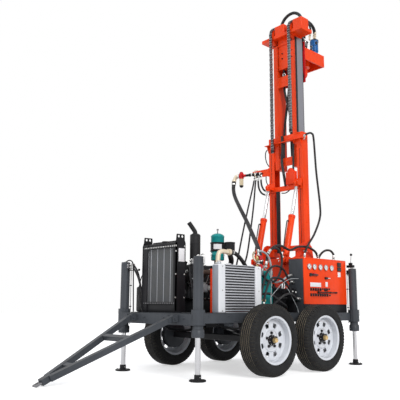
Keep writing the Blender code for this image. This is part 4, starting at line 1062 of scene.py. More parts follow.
@dataclass
class Wheel:
    """A tyre with a road tread on a white steel disc wheel."""

    corner: Corner
    hub_x: float = 0.69
    axle_y: float = 0.37275
    axle_z: float = 0.32
    tyre_radius: float = 0.3195
    tyre_width: float = 0.186
    seat_radius: float = 0.203
    rim_width: float = 0.166
    tread_depth: float = 0.0055
    grooves: tuple[float, ...] = (-0.046, -0.023, 0.0, 0.023, 0.046)
    groove_width: float = 0.0085
    blocks: int = 62
    nuts: int = 5
    nut_circle: float = 0.064
    windows: int = 8
    disc_radius: float = 0.1795
    disc_depth: float = 0.018
    disc_thickness: float = 0.008
    bore: float = 0.03
    cap_screws: int = 8
    cap_circle: float = 0.041
    valve_angle: float = 2.1
    valve_radius: float = 0.192
    tyre_steps: int = 96
    rim_steps: int = 72

    def build(self) -> None:
        """Makes the tyre and the wheel."""
        side, end = self.corner.value
        self.middle = Vector((side * self.hub_x, end * self.axle_y, self.axle_z))
        self.out = Vector((side, 0, 0))
        self._tyre()
        self._disc()

    def _tyre(self) -> None:
        """Moulded walls, ribs between dusty grooves, and notched shoulders."""
        shape = Shape(TYRE)
        half, r = self.tyre_width / 2, self.tyre_radius
        # (radius, share of the half width) from the bead up to the crown
        wall = [(self.seat_radius + up, share)
            for up, share in ((0.004, 0.8), (0.012, 0.93), (0.03, 0.985), (0.055, 1.0))]
        wall += [(r - down, share) for down, share in ((0.044, 0.98), (0.031, 0.925), (0.02, 0.83), (0.0125, 0.73),
            (0.0085, 0.65), (0.0, 0.6))]
        profile = [(radius, -half * share) for radius, share in wall]
        for edge in self.grooves:
            near, far = edge - self.groove_width / 2, edge + self.groove_width / 2
            floor = r - self.tread_depth
            profile += [(r, near), (floor, near + 0.0012), (floor, far - 0.0012), (r, far)]
            shape.lathe([(floor + 0.0004, near + 0.001), (floor + 0.0004, far - 0.001)], self.middle, self.out,
                self.tyre_steps, ROAD_DUST)
        profile += [(radius, half * share) for radius, share in reversed(wall)]
        profile += [(self.seat_radius - 0.004, side * self.tyre_width * 0.34) for side in (1, -1)]
        shape.lathe([*profile, profile[0]], self.middle, self.out, self.tyre_steps)
        for share in (-0.985, 0.985):
            for radius, wire in ((self.seat_radius + 0.022, 0.0018), (r - 0.05, 0.0022), (r - 0.062, 0.0012)):
                shape.ring(self.middle + self.out * share * half, self.out, radius, wire, None, self.rim_steps)
        for side in (-1, 1):
            # a shoulder block across the tread: (offset, drop below the crown)
            outline = [(side * offset, r - drop)
                for offset, drop in ((0.054, 0.02), (0.088, 0.05), (0.0922, 0.044), (0.0885, 0.026), (0.079, 0.0125),
                (0.068, 0.0045), (0.056, 0.0004))]
            lug = Shape(TYRE)
            lug.prism(outline, Plane.YZ, (0, 0, 0), 0.0195, 0.001)
            angles = circle_angles(self.blocks, side * math.tau / 4 / self.blocks)
            shape.copies(lug, [Matrix.Translation(self.middle) @ Matrix.Rotation(angle, 4, "X")
                @ Matrix.Rotation(math.pi / 2, 4, "Z") for angle in angles])
        name = self.corner.label
        shape.finish(f"tyre_{name}_look", f"wheel_{name}", "tyre_rubber", [f"tyre_{name}"])

    def _window(self, angle: float) -> list[tuple[float, float]]:
        """One rounded trapezoid window of the disc, in the disc's plane."""
        corners = []
        for radius, half_angle in ((0.112, 0.19), (0.112, -0.19), (0.156, -0.175), (0.156, 0.175)):
            turned = angle + half_angle
            corners.append((radius * math.cos(turned), radius * math.sin(turned)))
        return round_outline(corners, 0.01, 3)

    def _disc(self) -> None:
        """Rim, dished disc with eight windows, nuts, hub, cap and valve."""
        shape = Shape(RIM_WHITE)
        half = self.rim_width / 2
        seat = self.seat_radius
        lip = seat + 0.0175
        rim = [(lip, -half), (lip - 0.001, -half + 0.006), (seat - 0.003, -half + 0.014), (seat - 0.005, -0.03),
            (seat - 0.02, -0.022), (seat - 0.02, 0.01), (seat - 0.005, 0.02), (seat - 0.003, half - 0.014),
            (lip - 0.001, half - 0.006), (lip, half), (lip - 0.005, half + 0.001), (seat - 0.009, half - 0.006),
            (seat - 0.011, 0.024), (seat - 0.026, 0.012), (seat - 0.026, -0.024), (seat - 0.011, -0.034),
            (seat - 0.009, -half + 0.006), (lip - 0.005, -half - 0.001), (lip, -half)]
        shape.lathe(rim, self.middle, self.out, self.rim_steps)
        shape.turn = Matrix.Translation(self.middle) @ Matrix.Scale(self.out.x, 4, Vector(LEFT))
        windows = [self._window(angle) for angle in circle_angles(self.windows, math.pi / self.windows)]
        shape.prism(circle_outline(self.disc_radius, self.rim_steps), Plane.YZ, (self.disc_depth, 0, 0),
            self.disc_thickness, 0.0015, None, [circle_outline(self.bore, 24), *windows])
        for window in windows:
            shape.sweep([Vector((0.0225, y, z)) for y, z in [*window, window[0]]], 0.002, None, 6)
        shape.turn = Matrix.Identity(4)
        shape.lathe([(0.108, 0.02), (0.104, 0.026), (0.096, 0.031), (0.088, 0.03), (0.082, 0.024), (0.06, 0.024),
            (0.045, 0.027), (0.03, 0.027), (0.03, 0.014), (0.108, 0.014), (0.108, 0.02)], self.middle, self.out, 64)
        shape.ring(self.middle + self.out * 0.0225, self.out, 0.1765, 0.0035, None, self.rim_steps)
        shape.lathe([(0.0, 0.016), (0.047, 0.016), (0.047, 0.04), (0.044, 0.044), (0.036, 0.046), (0.033, 0.06),
            (0.03, 0.064), (0.0, 0.064)], self.middle, self.out, 40, BLACK)
        shape.lathe([(0.0, 0.06), (0.0255, 0.06), (0.0255, 0.066), (0.0225, 0.07), (0.0225, 0.084), (0.019, 0.09),
            (0.01, 0.0925), (0.0, 0.093)], self.middle, self.out, 32, BRASS)
        for spot in circle_points(self.middle, Plane.YZ, self.nut_circle, self.nuts, 0.32):
            shape.rod(spot + self.out * 0.022, spot + self.out * 0.0265, 0.0135, DARK_STEEL, 20)
            shape.rod(spot + self.out * 0.025, spot + self.out * 0.041, 0.0115, BLACK, 6, 0.0012)
            shape.rod(spot + self.out * 0.038, spot + self.out * 0.0475, 0.0056, DARK_STEEL, 12)
        for spot in circle_points(self.middle, Plane.YZ, self.cap_circle, self.cap_screws, 0.2):
            shape.rod(spot + self.out * 0.042, spot + self.out * 0.0475, 0.0036, ZINC, 6, 0.0005)
        shape.lathe([(0.0, -0.076), (0.13, -0.076), (0.138, -0.07), (0.138, -0.012), (0.07, 0.004), (0.06, 0.014),
            (0.0, 0.014)], self.middle, self.out, 40, FRAME_GREY)
        way = heading(Plane.YZ, self.valve_angle)
        foot = self.middle + way * self.valve_radius + self.out * 0.04
        shape.pipe([foot, foot + self.out * 0.012 - way * 0.006, foot + self.out * 0.03 - way * 0.012], 0.004, 0.004,
            BLACK_PLASTIC, 10)
        shape.rod(foot + self.out * 0.028 - way * 0.0115, foot + self.out * 0.036 - way * 0.014, 0.0034, BRASS, 10)
        name = self.corner.label
        shape.finish(f"wheel_disc_{name}_look", f"wheel_{name}", "rim_white", [f"wheel_disc_{name}"])


@dataclass
class Jack:
    """A corner jack: a fixed tube on the frame and a leg that slides in it."""

    corner: Corner
    x: float = 0.536
    front_y: float = -1.095
    rear_y: float = 1.216
    tube_radius: float = 0.0438
    tube_top: float = 1.035
    lower_radius: float = 0.0538
    lower_top: float = 0.356
    foot_radius: float = 0.0722
    rod_radius: float = 0.0229

    def build(self) -> None:
        """Makes the fixed tube and the sliding leg."""
        side, end = self.corner.value
        self.side = side
        self.end = end
        self.at = Vector((side * self.x, self.front_y if end < 0 else self.rear_y, 0))
        self._leg()
        self._tube()

    def _up(self, height: float, offset: Point = (0, 0, 0)) -> Vector:
        """A point on the jack's axis at a height, moved by an offset."""
        return self.at + Vector((0, 0, height)) + Vector(offset)

    def _leg(self) -> None:
        """Black foot, bright rod."""
        name = self.corner.label
        low, high = rig_box(f"jack_leg_{name}")
        shape = Shape(BLACK)
        foot = low.z
        shape.lathe([(0.0, foot), (self.foot_radius - 0.006, foot), (self.foot_radius, foot + 0.004),
            (self.foot_radius, foot + 0.012), (self.foot_radius - 0.004, foot + 0.016), (0.034, foot + 0.019),
            (0.03, foot + 0.024), (0.03, foot + 0.052), (0.026, foot + 0.056), (0.0, foot + 0.056)], self.at, UP, 48)
        shape.rod(self._up(foot + 0.05), self._up(high.z - 0.001), self.rod_radius, CHROME, 32, 0.001)
        shape.ring(self._up(foot + 0.056), UP, 0.024, 0.0022, DARK_STEEL)
        shape.bolts(circle_points(self._up(foot + 0.0175), Plane.XY, 0.052, 4, math.pi / 4), UP, 0.009)
        pin = Vector((self.side, 0, 0))
        shape.rod(self._up(foot + 0.038) - pin * 0.033, self._up(foot + 0.038) + pin * 0.033, 0.004, ZINC, 12)
        shape.finish(f"jack_leg_{name}_look", f"jack_{name}", "chrome", [f"jack_leg_{name}"])

    def _tube(self) -> None:
        """Grey tube with collar, valve block, ports and the pipe to its top."""
        name = self.corner.label
        low, _ = rig_box(f"jack_barrel_{name}")
        shape = Shape(FRAME_GREY)
        r, big = self.tube_radius, self.lower_radius
        shape.lathe([(0.0245, low.z), (big - 0.004, low.z), (big, low.z + 0.003), (big, low.z + 0.06),
            (big - 0.003, low.z + 0.064), (r + 0.001, low.z + 0.066), (r, low.z + 0.07), (r, self.tube_top - 0.03),
            (r - 0.001, self.tube_top - 0.024), (r - 0.001, self.tube_top - 0.004), (r - 0.005, self.tube_top),
            (0.0, self.tube_top), ], self.at, UP, 48)
        shape.ring(self._up(low.z + 0.066), UP, r + 0.002, 0.0028, None, 40)
        shape.ring(self._up(self.tube_top - 0.027), UP, r, 0.0016, None, 40)
        shape.lathe([(0.024, low.z - 0.001), (0.036, low.z - 0.001), (0.036, low.z + 0.004), (0.024, low.z + 0.004)],
            self.at, UP, 32, BLACK)
        self._valve(shape)
        self._pipe(shape)
        shape.finish(f"jack_barrel_{name}_look", "chassis", "frame_grey", [f"jack_barrel_{name}"])

    def _valve(self, shape: Shape) -> None:
        """Lock valve block on the tube's head, with its two hoses' fittings."""
        inward = Vector((-self.side, 0, 0))
        top = self.tube_top
        shape.rod(self._up(top - 0.002), self._up(top + 0.01), 0.018, ZINC, 6, 0.001)
        shape.rod(self._up(top + 0.008), self._up(top + 0.016), 0.009, ZINC, 16)
        head = self._up(top - 0.04) + inward * (self.tube_radius + 0.01)
        shape.block(head, (0.013, 0.016, 0.024), 0.002, DARK_STEEL)
        for height in (-0.012, 0.012):
            spot = head + Vector((0, 0, height)) + inward * 0.012
            shape.rod(spot, spot + inward * 0.008, 0.008, ZINC, 6)
        shape.bolts([head + Vector((0, -0.016, height)) for height in (0.01, -0.01)], AHEAD, 0.008, ZINC)

    def _pipe(self, shape: Shape) -> None:
        """Steel pipe down the tube's inner side to the lower port, and what only some jacks carry."""
        inward = Vector((-self.side * 0.8, -self.end * 0.6, 0)).normalized()
        start = self._up(self.tube_top - 0.075) + inward * (self.tube_radius - 0.002)
        end = self._up(self.lower_top + 0.1) + inward * (self.tube_radius - 0.002)
        out = inward * 0.016
        shape.pipe([start, start + out * 0.8, start + out + Vector((0, 0, -0.02)), end + out + Vector((0, 0, 0.02)),
            end + out * 0.8, end], 0.008, 0.0042, ZINC, 10)
        for spot in (start, end):
            shape.rod(spot - inward * 0.003, spot + inward * 0.01, 0.0085, ZINC, 6, 0.0008)
        for share in (0.3, 0.7):
            spot = start.lerp(end, share) + out
            shape.block(spot, (0.008, 0.008, 0.005), 0.0015, BLACK_PLASTIC)
        top = self.tube_top
        if self.corner is Corner.FRONT_RIGHT:
            # a black pipe over the tube's head down to the deck, and a rod with a ball
            route = ((0.02, 1.046), (0.06, 1.052), (0.1, 1.04), (0.122, 1.01), (0.128, 0.956), (0.14, 0.7),
                (0.146, 0.558))
            shape.pipe([self._up(z, (x, 0, 0)) for x, z in route], 0.012, 0.006, BLACK, 10)
            shape.rod(self._up(0.953, (0.04, 0, 0)), self._up(0.953, (0.222, 0, 0)), 0.0042, BLACK, 10)
            shape.ball(self._up(0.953, (0.222, 0, 0)), 0.0115, BLACK_PLASTIC)
        elif self.corner is Corner.FRONT_LEFT:
            # a pale pipe that loops over the tube's edge
            route = ((0.012, 1.048), (0.034, 1.056), (0.05, 1.048), (0.055, 1.025), (0.055, 0.99), (0.054, 0.972),
                (0.036, 0.966))
            shape.pipe([self._up(z, (x, 0.02, 0)) for x, z in route], 0.008, 0.0048, ZINC, 10)
        elif self.corner is Corner.REAR_LEFT:
            # a hand valve with an upright ball lever
            shape.box(self._up(top, (-0.06, -0.02, 0.012)), self._up(top, (0.022, 0.02, 0.04)), 0.003, BLACK)
            shape.box(self._up(top, (-0.034, -0.016, 0.036)), self._up(top, (0.0, 0.016, 0.066)), 0.003, BLACK)
            shape.rod(self._up(top, (-0.016, 0, 0.06)), self._up(top, (-0.006, 0, 0.15)), 0.0042, STEEL, 10)
            shape.ball(self._up(top, (-0.006, 0, 0.156)), 0.0145, BLACK_PLASTIC)


@dataclass
class Chassis:
    """Grey welded frame with deck plate, springs and axles."""

    half_width: float = 0.526
    front_y: float = -1.15
    rear_y: float = 1.26
    bolts: int = 9
    first_bolt: float = -0.96
    bolt_pitch: float = 0.245

    def build(self) -> None:
        """Gives the CAD's frame its finishes and adds bolts and welds."""
        for node in ("chassis_frame", "deck_plate"):
            dress_node(node, FRAME_GREY)
        for end in ("front", "rear"):
            dress_node(f"axle_{end}", BLACK)
        for side in ("left", "right"):
            dress_node(f"leaf_springs_{side}", BLACK)
        self._trim()

    def _trim(self) -> None:
        """Bolts along the rails and beams, and weld beads under the rails' bolts."""
        shape = Shape(FRAME_GREY)
        for side in (-1, 1):
            shape.bolts([(side * self.half_width, y, 0.53)
                for y in spaced(self.first_bolt, self.bolt_pitch, self.bolts)], (side, 0, 0), 0.01)
            for y in (-0.62, -0.02, 0.62):
                bead = [Vector((side * (self.half_width + 0.0005), y + step * 0.006, 0.486 + 0.0008 * (number % 2)))
                    for number, step in enumerate(range(-7, 8))]
                shape.sweep(bead, lambda share: 0.0022 + 0.0006 * math.sin(share * 90), FRAME_GREY, 6)
        for x in (-0.42, -0.14, 0.14, 0.42):
            shape.bolt((x, self.front_y, 0.512), AHEAD, 0.014)
            shape.bolt((x, self.rear_y, 0.505), BACK, 0.014)
        shape.finish("frame_trim", "chassis", "frame_grey")


@dataclass
class Drawbar:
    """A-shaped drawbar with its tow eye."""

    bars: Finish = FRAME_GREY
    eye: Finish = DARK_STEEL

    def build(self) -> None:
        """Gives the CAD's bars and eye their finishes."""
        dress_node("drawbar", self.bars)
        dress_node("tow_eye", self.eye)


# Radiator, engine and what stands on the deck


@dataclass
class Radiator:
    """Upright radiator across the front: finned core, bolted tanks and eared side plates."""

    core_x: tuple[float, float] = (-0.262, 0.126)
    core_z: tuple[float, float] = (0.646, 1.148)
    face: float = 0.02
    depth: float = 0.112
    tank_top: float = 1.196
    tubes: int = 44
    louvres: int = 60
    bolts: int = 18
    bolt_pitch: float = 0.0258
    guard_rings: int = 5
    spokes: int = 8
    blades: int = 6
    fan_at: Point = (-0.1, -0.882, 0.88)
    fan_radius: float = 0.188

    def build(self) -> None:
        """Makes the core, tanks, side plates, shroud and fan."""
        low, high = rig_box("radiator")
        shape = Shape(BLACK)
        (x0, x1), (z0, z1) = self.core_x, self.core_z
        front, back = low.y + self.face, low.y + self.depth
        # painted shade: a near-black block fills the core's depth behind the tubes and louvres
        shape.box((x0, front, z0), (x1, low.y + 0.1, z1), 0.001, SOOT_AND_SHADE_BLACK)
        pitch = (x1 - x0) / self.tubes
        for number in range(self.tubes + 1):
            x = x0 + pitch * number
            bright = number in (0, self.tubes) or number % 11 == 5
            shape.box((x - 0.003, front - 0.0045, z0), (x + 0.003, front + 0.004, z1), 0.0006, ALUMINIUM_DARK
                if bright else FIN_GREY, 1)
        for number in range(self.louvres):
            z = z0 + (z1 - z0) * (number + 0.5) / self.louvres
            shape.box((x0, front - 0.001, z - 0.0012), (x1, front + 0.003, z + 0.0012), 0.0, FIN_GREY, 1)
        # (foot, top, bolt line, finish of the bolts) of the two tanks
        for foot, top, line, metal in ((z1, self.tank_top, z1 + 0.01, ZINC), (low.z, z0, z0 - 0.008, DARK_STEEL)):
            shape.box((low.x + 0.004, low.y + 0.012, foot), (high.x - 0.004, back, top), 0.012)
            shape.box((low.x + 0.006, low.y + 0.003, line - 0.012), (high.x - 0.006, low.y + 0.02, line + 0.012),
                0.003)
            shape.bolts([(x, low.y + 0.003, line) for x in spaced(-0.3, self.bolt_pitch, self.bolts)], AHEAD, 0.009,
                metal)
        for side, x in ((-1, low.x), (1, high.x)):
            inner = x0 if side < 0 else x1
            shape.box((min(x, inner), low.y + 0.004, low.z + 0.012),
                (max(x, inner), low.y + 0.03, self.tank_top - 0.004), 0.003)
            plate_x = x - side * 0.0025
            top = high.z - 0.003
            outline = [(low.y + 0.001, low.z + 0.004), (high.y - 0.001, low.z + 0.004), (high.y - 0.001, 1.19),
                (high.y - 0.012, 1.215), (high.y - 0.014, top), (low.y + 0.02, top), (low.y + 0.014, 1.215),
                (low.y + 0.001, 1.18)]
            holes = [circle_outline(0.0115, 20, (low.y + reach, top - 0.022)) for reach in (0.046, 0.088)]
            shape.prism(round_outline(outline, 0.006, 3), Plane.YZ, (plate_x, 0, 0), 0.005, 0.0008, None, holes)
            shape.bolts([(x, y, z) for z in (0.69, 0.9, 1.11, 1.16) for y in (low.y + 0.012, high.y - 0.014)],
                (side, 0, 0), 0.0105, ZINC)
        shape.box((high.x - 0.001, -0.996, 1.016), (high.x + 0.001, -0.924, 1.138), 0.0005, PLATE_WHITE)
        shape.rod((-0.06, low.y + 0.062, self.tank_top - 0.004), (-0.06, low.y + 0.062, self.tank_top + 0.012), 0.03,
            BLACK, 28)
        shape.rod((-0.06, low.y + 0.062, self.tank_top + 0.01), (-0.06, low.y + 0.062, self.tank_top + 0.02), 0.034,
            BLACK_PLASTIC, 12)
        self._shroud(shape, low, high)
        shape.finish("radiator_look", "chassis", "black_paint", ["radiator", "fan_shroud"])
        self._fan()

    def _shroud(self, shape: Shape, low: Vector, high: Vector) -> None:
        """The sheet shroud behind the core and the round wire guard on the fan."""
        back = low.y + self.depth
        shape.box((low.x + 0.02, back, low.z + 0.03), (high.x - 0.02, back + 0.004, high.z - 0.05), 0.001)
        circle = self.fan_radius + 0.01
        middle = Vector((self.fan_at[0], back + 0.002, self.fan_at[2]))
        shape.lathe([(circle, 0.0), (circle + 0.004, 0.0), (circle + 0.004, 0.018), (circle, 0.018), (circle, 0.0)],
            middle, BACK, 56)
        guard = middle + Vector((0, 0.0175, 0))
        for reach in spaced(0.045, 0.036, self.guard_rings):
            shape.ring(guard, BACK, reach, 0.0018, ZINC, 40)
        for way in circle_points((0, 0, 0), Plane.XZ, 1.0, self.spokes):
            shape.rod(guard + way * 0.04, guard + way * circle, 0.0018, ZINC, 6)

    def _fan(self) -> None:
        """Six twisted blades on a hub."""
        low, high = rig_box("cooling_fan")
        middle = (low + high) / 2
        shape = Shape(BLACK_PLASTIC)
        depth = high.y - low.y
        shape.rod((middle.x, low.y, middle.z), (middle.x, high.y, middle.z), 0.045, None, 32, 0.003)
        shape.rod((middle.x, low.y - 0.0005, middle.z), (middle.x, low.y + 0.004, middle.z), 0.028, ZINC, 24)
        blade = Shape(BLACK_PLASTIC)
        for number in range(7):
            share = number / 6
            reach = 0.04 + (self.fan_radius - 0.046) * share
            turn = Matrix.Rotation(math.radians(38 - 16 * share), 4, "X")
            blade.turn = Matrix.Translation((reach, 0, 0)) @ turn
            blade.box((-0.014, -0.0018, -0.04 - 0.012 * share), (0.014, 0.0018, 0.04 + 0.012 * share), 0.0015)
        scale = Matrix.Scale(min(1.0, depth / 0.062), 4, Vector(BACK))
        at_hub = Matrix.Translation(middle) @ scale
        shape.copies(blade, [at_hub @ Matrix.Rotation(angle, 4, "Y") for angle in circle_angles(self.blades)])
        shape.finish("cooling_fan_look", "chassis", "black_paint", ["cooling_fan"])


@dataclass
class Engine:
    """A three-cylinder diesel: sump, block, head, rocker cover and everything hung on them."""

    low: Point = (-0.3, -0.73, 0.64)
    high: Point = (0.06, -0.16, 0.9)
    cylinders: int = 3
    cylinder_pitch: float = 0.135
    middle_x: float = -0.12
    pipe_z: float = 0.935

    def build(self) -> None:
        """Makes the engine as one piece."""
        self.box_low, self.box_high = rig_box("engine")
        shape = Shape(ENGINE_BLACK)
        self._block(shape)
        self._head(shape)
        self._manifolds(shape)
        self._front(shape)
        self._flywheel(shape)
        self._left_side(shape)
        self._right_side(shape)
        shape.finish("engine_look", "chassis", "engine_metal", ["engine"])

    def _block(self, shape: Shape) -> None:
        """Sump, ribbed block and mounting feet."""
        x0, y0, z0 = self.low
        x1, y1, z1 = self.high
        bottom = self.box_low.z
        shape.box((x0 + 0.06, y0 + 0.06, bottom), (x1 - 0.07, y1 - 0.08, z0 + 0.05), 0.014)
        shape.box((x0 + 0.04, y0 + 0.03, z0 + 0.04), (x1 - 0.05, y1 - 0.04, z0 + 0.054), 0.003)
        shape.box((x0 + 0.05, y0 + 0.03, z0 + 0.052), (x1 - 0.06, y1 - 0.05, z1 - 0.06), 0.012)
        for y in spaced(y0 + 0.06, self.cylinder_pitch, self.cylinders + 1):
            for x in (x0 + 0.05, x1 - 0.06):
                shape.box((x - 0.008, y - 0.008, z0 + 0.06), (x + 0.008, y + 0.008, z1 - 0.07), 0.003)
        for y in spaced(y0 + 0.125, self.cylinder_pitch, self.cylinders):
            for side, x in ((1, x1 - 0.06), (-1, x0 + 0.05)):
                shape.rod((x - 0.004 * side, y, z0 + 0.15), (x + 0.004 * side, y, z0 + 0.15), 0.022, ZINC, 24)
                shape.box((x - 0.003, y - 0.045, z0 + 0.085), (x + 0.003 * side + 0.003, y + 0.045, z0 + 0.092),
                    0.002)
        shape.bolts([(x1 - 0.049, y, z0 + 0.047) for y in spaced(y0 + 0.045, 0.052, 9)], LEFT, 0.008, ZINC)
        for side, x in ((1, x1 - 0.02), (-1, x0 + 0.01)):
            for y in (y0 + 0.1, y1 - 0.11):
                shape.box((x - 0.045, y - 0.03, z0 + 0.085), (x + 0.02, y + 0.03, z0 + 0.1), 0.003)
                shape.rod((x, y, bottom), (x, y, z0 + 0.086), 0.026, BLACK_PLASTIC, 24, 0.004)
                shape.bolt((x, y, z0 + 0.1), UP, 0.018, ZINC)

    def _head(self, shape: Shape) -> None:
        """Cylinder head, gasket line, rocker cover with cap and breather, lifting eyes, injectors."""
        x0, y0, _ = self.low
        x1, y1, z1 = self.high
        shape.box((x0 + 0.046, y0 + 0.026, z1 - 0.062), (x1 - 0.056, y1 - 0.046, z1 - 0.058), 0.0, ZINC, 1)
        shape.box((x0 + 0.048, y0 + 0.03, z1 - 0.058), (x1 - 0.058, y1 - 0.05, z1 + 0.02), 0.008, ENGINE_GREY)
        top = self.box_high.z - 0.012
        shape.box((x0 + 0.085, y0 + 0.04, z1 + 0.018), (x1 - 0.085, y1 - 0.06, z1 + 0.03), 0.003)
        shape.box((x0 + 0.092, y0 + 0.048, z1 + 0.028), (x1 - 0.092, y1 - 0.068, top), 0.018, None, 4)
        middle = (x0 + x1) / 2
        for y in spaced(y0 + 0.085, 0.085, 5):
            shape.box((x0 + 0.1, y - 0.004, top - 0.002), (x1 - 0.1, y + 0.004, top + 0.003), 0.002)
        shape.rod((middle, y0 + 0.15, top - 0.004), (middle, y0 + 0.15, top + 0.01), 0.026, BLACK_PLASTIC, 10, 0.003)
        shape.bolts([(x, y, z1 + 0.028) for y in spaced(y0 + 0.075, 0.115, 4) for x in (x1 - 0.076, x0 + 0.08)], UP,
            0.011, ZINC)
        rail = []
        for number, y in enumerate(spaced(y0 + 0.12, self.cylinder_pitch, self.cylinders)):
            shape.rod((x1 - 0.066, y, z1 + 0.012), (x1 - 0.05, y, z1 + 0.062), 0.0095, ZINC, 12)
            shape.rod((x1 - 0.054, y, z1 + 0.05), (x1 - 0.048, y, z1 + 0.07), 0.0075, ZINC, 6)
            pipe = [(x1 - 0.048, y, z1 + 0.066), (x1 - 0.038, y - 0.012, z1 + 0.072),
                (x1 - 0.022, y - 0.03, z1 + 0.03), (x1 - 0.018, y - 0.05 - 0.02 * number, z1 - 0.06),
                (x1 - 0.026, y0 + 0.11 + 0.016 * number, z1 - 0.11)]
            shape.pipe(pipe, 0.006, 0.0034, ZINC, 8)
            rail.append((x1 - 0.052, y, z1 + 0.072))
        shape.pipe([(x1 - 0.052, y0 + 0.06, z1 + 0.06), *rail], 0.008, 0.0026, BLACK_PLASTIC, 8)
        for y in (y0 + 0.04, y1 - 0.062):
            outline = round_outline([(-0.02, 0), (0.02, 0), (0.02, 0.05), (-0.02, 0.05)], 0.012)
            hole = circle_outline(0.009, 16, (0.0, 0.03))
            shape.prism(outline, Plane.XZ, (middle + 0.04, y, z1 + 0.01), 0.006, 0.001, ZINC, [hole])

    def _manifolds(self, shape: Shape) -> None:
        """Exhaust manifold with a runner per cylinder on the left, inlet on the right."""
        y0, z1 = self.low[1], self.high[2]
        x1 = self.high[0]
        for y in spaced(y0 + 0.15, self.cylinder_pitch, self.cylinders):
            shape.box((x1 - 0.062, y - 0.026, z1 - 0.036), (x1 - 0.05, y + 0.026, z1 + 0.016), 0.004, RUSTY)
            shape.pipe([(x1 - 0.056, y, z1 - 0.01), (x1 - 0.02, y, z1 - 0.004), (x1 + 0.012, y - 0.006, z1 + 0.02),
                (x1 + 0.03, y - 0.02, self.pipe_z)], 0.008, 0.0205, RUSTY, 16)
            for offset in (-0.02, 0.02):
                shape.bolt((x1 - 0.05, y + offset, z1 - 0.028), LEFT, 0.01, ZINC)
        shape.pipe([(x1 + 0.032, y0 + 0.455, self.pipe_z), (x1 + 0.034, y0 + 0.3, self.pipe_z),
            (x1 + 0.036, y0 + 0.12, self.pipe_z)], 0.012, 0.0255, RUSTY, 20)

    def _front(self, shape: Shape) -> None:
        """Timing cover, crank pulley, water pump, fan belt and alternator."""
        x0, y0, z0 = self.low
        x1, _, z1 = self.high
        middle = self.middle_x
        shape.box((x0 + 0.07, y0 + 0.012, z0 + 0.05), (x1 - 0.08, y0 + 0.034, z1 - 0.02), 0.006)
        crank = Vector((middle, y0 + 0.012, z0 + 0.095))
        pump = Vector((-0.1, y0 + 0.012, 0.88))
        dynamo = Vector((x1 - 0.052, y0 + 0.012, z1 - 0.062))
        for at, radius in ((crank, 0.066), (pump, 0.046), (dynamo, 0.03)):
            shape.lathe([(0.0, 0.0), (radius - 0.004, 0.0), (radius, 0.003), (radius - 0.008, 0.009), (radius, 0.015),
                (radius - 0.004, 0.018), (0.02, 0.018), (0.018, 0.026), (0.0, 0.026)], at, AHEAD, 36, DARK_STEEL)
            shape.bolt(at + Vector((0, -0.025, 0)), AHEAD, 0.018, ZINC)
        belt = []
        for at, radius, start, end in ((crank, 0.062, 200, 330), (dynamo, 0.027, -35, 60), (pump, 0.042, 60, 190)):
            for number in range(8):
                angle = math.radians(start + (end - start) * number / 7)
                belt.append(at + Vector((0, -0.009, 0)) + heading(Plane.XZ, angle) * radius)
        shape.sweep([*belt, belt[0]], 0.0052, BLACK_PLASTIC, 8)
        shape.lathe([(0.0, 0.0), (0.04, 0.0), (0.045, 0.008), (0.045, 0.058), (0.04, 0.066), (0.0, 0.066)], dynamo
            + Vector((0, 0.004, 0)), BACK, 32, ALUMINIUM)
        for spot in circle_points(dynamo + Vector((0, 0.03, 0)), Plane.XZ, 0.0455, 10):
            shape.block(spot, (0.003, 0.018, 0.003), 0.001, BLACK_PLASTIC)
        shape.pipe([(-0.1, y0 + 0.01, 0.925), (-0.1, y0 - 0.02, 0.965), (-0.095, y0 - 0.1, 1.08),
            (-0.09, y0 - 0.155, 1.13)], 0.01, 0.021, BLACK_PLASTIC, 16)

    def _flywheel(self, shape: Shape) -> None:
        """Bell housing at the compressor's end."""
        middle = Vector((self.middle_x, self.high[1] - 0.054, self.low[2] + 0.125))
        shape.lathe([(0.0, 0.0), (0.11, 0.0), (0.128, 0.01), (0.128, 0.024), (0.118, 0.028), (0.118, 0.046),
            (0.132, 0.05), (0.132, 0.056), (0.0, 0.056)], middle, BACK, 40)
        shape.bolts(circle_points(middle + Vector((0, 0.01, 0)), Plane.XZ, 0.124, 10), AHEAD, 0.01, ZINC)

    def _left_side(self, shape: Shape) -> None:
        """Injection pump, oil filter, dipstick and wiring on the cooler's side."""
        x1, y0, z0 = self.high[0], self.low[1], self.low[2]
        shape.box((x1 - 0.058, y0 + 0.075, z0 + 0.105), (x1 - 0.01, y0 + 0.2, z0 + 0.185), 0.006, ALUMINIUM)
        for y in spaced(y0 + 0.095, 0.04, self.cylinders):
            shape.rod((x1 - 0.034, y, z0 + 0.183), (x1 - 0.034, y, z0 + 0.205), 0.0085, ZINC, 6)
        filter_at = Vector((x1 - 0.058, y0 + 0.33, z0 + 0.12))
        shape.rod(filter_at, filter_at + Vector((0.022, 0, 0)), 0.03, ENGINE_BLACK, 24)
        shape.lathe([(0.0, 0.0), (0.036, 0.0), (0.038, 0.004), (0.038, 0.052), (0.032, 0.06), (0.0, 0.062)], filter_at
            + Vector((0.022, 0, 0)), (0.55, 0, -0.83), 32, PLATE_WHITE)
        stick = [(x1 - 0.05, y0 + 0.26, z0 + 0.06), (x1 - 0.03, y0 + 0.262, z0 + 0.14),
            (x1 - 0.036, y0 + 0.256, z0 + 0.25)]
        shape.pipe(stick, 0.01, 0.0042, ZINC, 8)
        shape.ring(Vector(stick[-1]) + Vector((0, 0, 0.012)), LEFT, 0.01, 0.003, RED_PLASTIC, 20)
        for lift in spaced(0.0, 0.008, 3):
            shape.pipe([(x1 - 0.04, y0 + 0.06, z0 + 0.22 + lift), (x1 - 0.022, y0 + 0.2, z0 + 0.205 + lift),
                (x1 - 0.03, y0 + 0.35, z0 + 0.215 + lift), (x1 - 0.05, y0 + 0.44, z0 + 0.2 + lift)], 0.01, 0.004,
                BLACK_PLASTIC, 8)

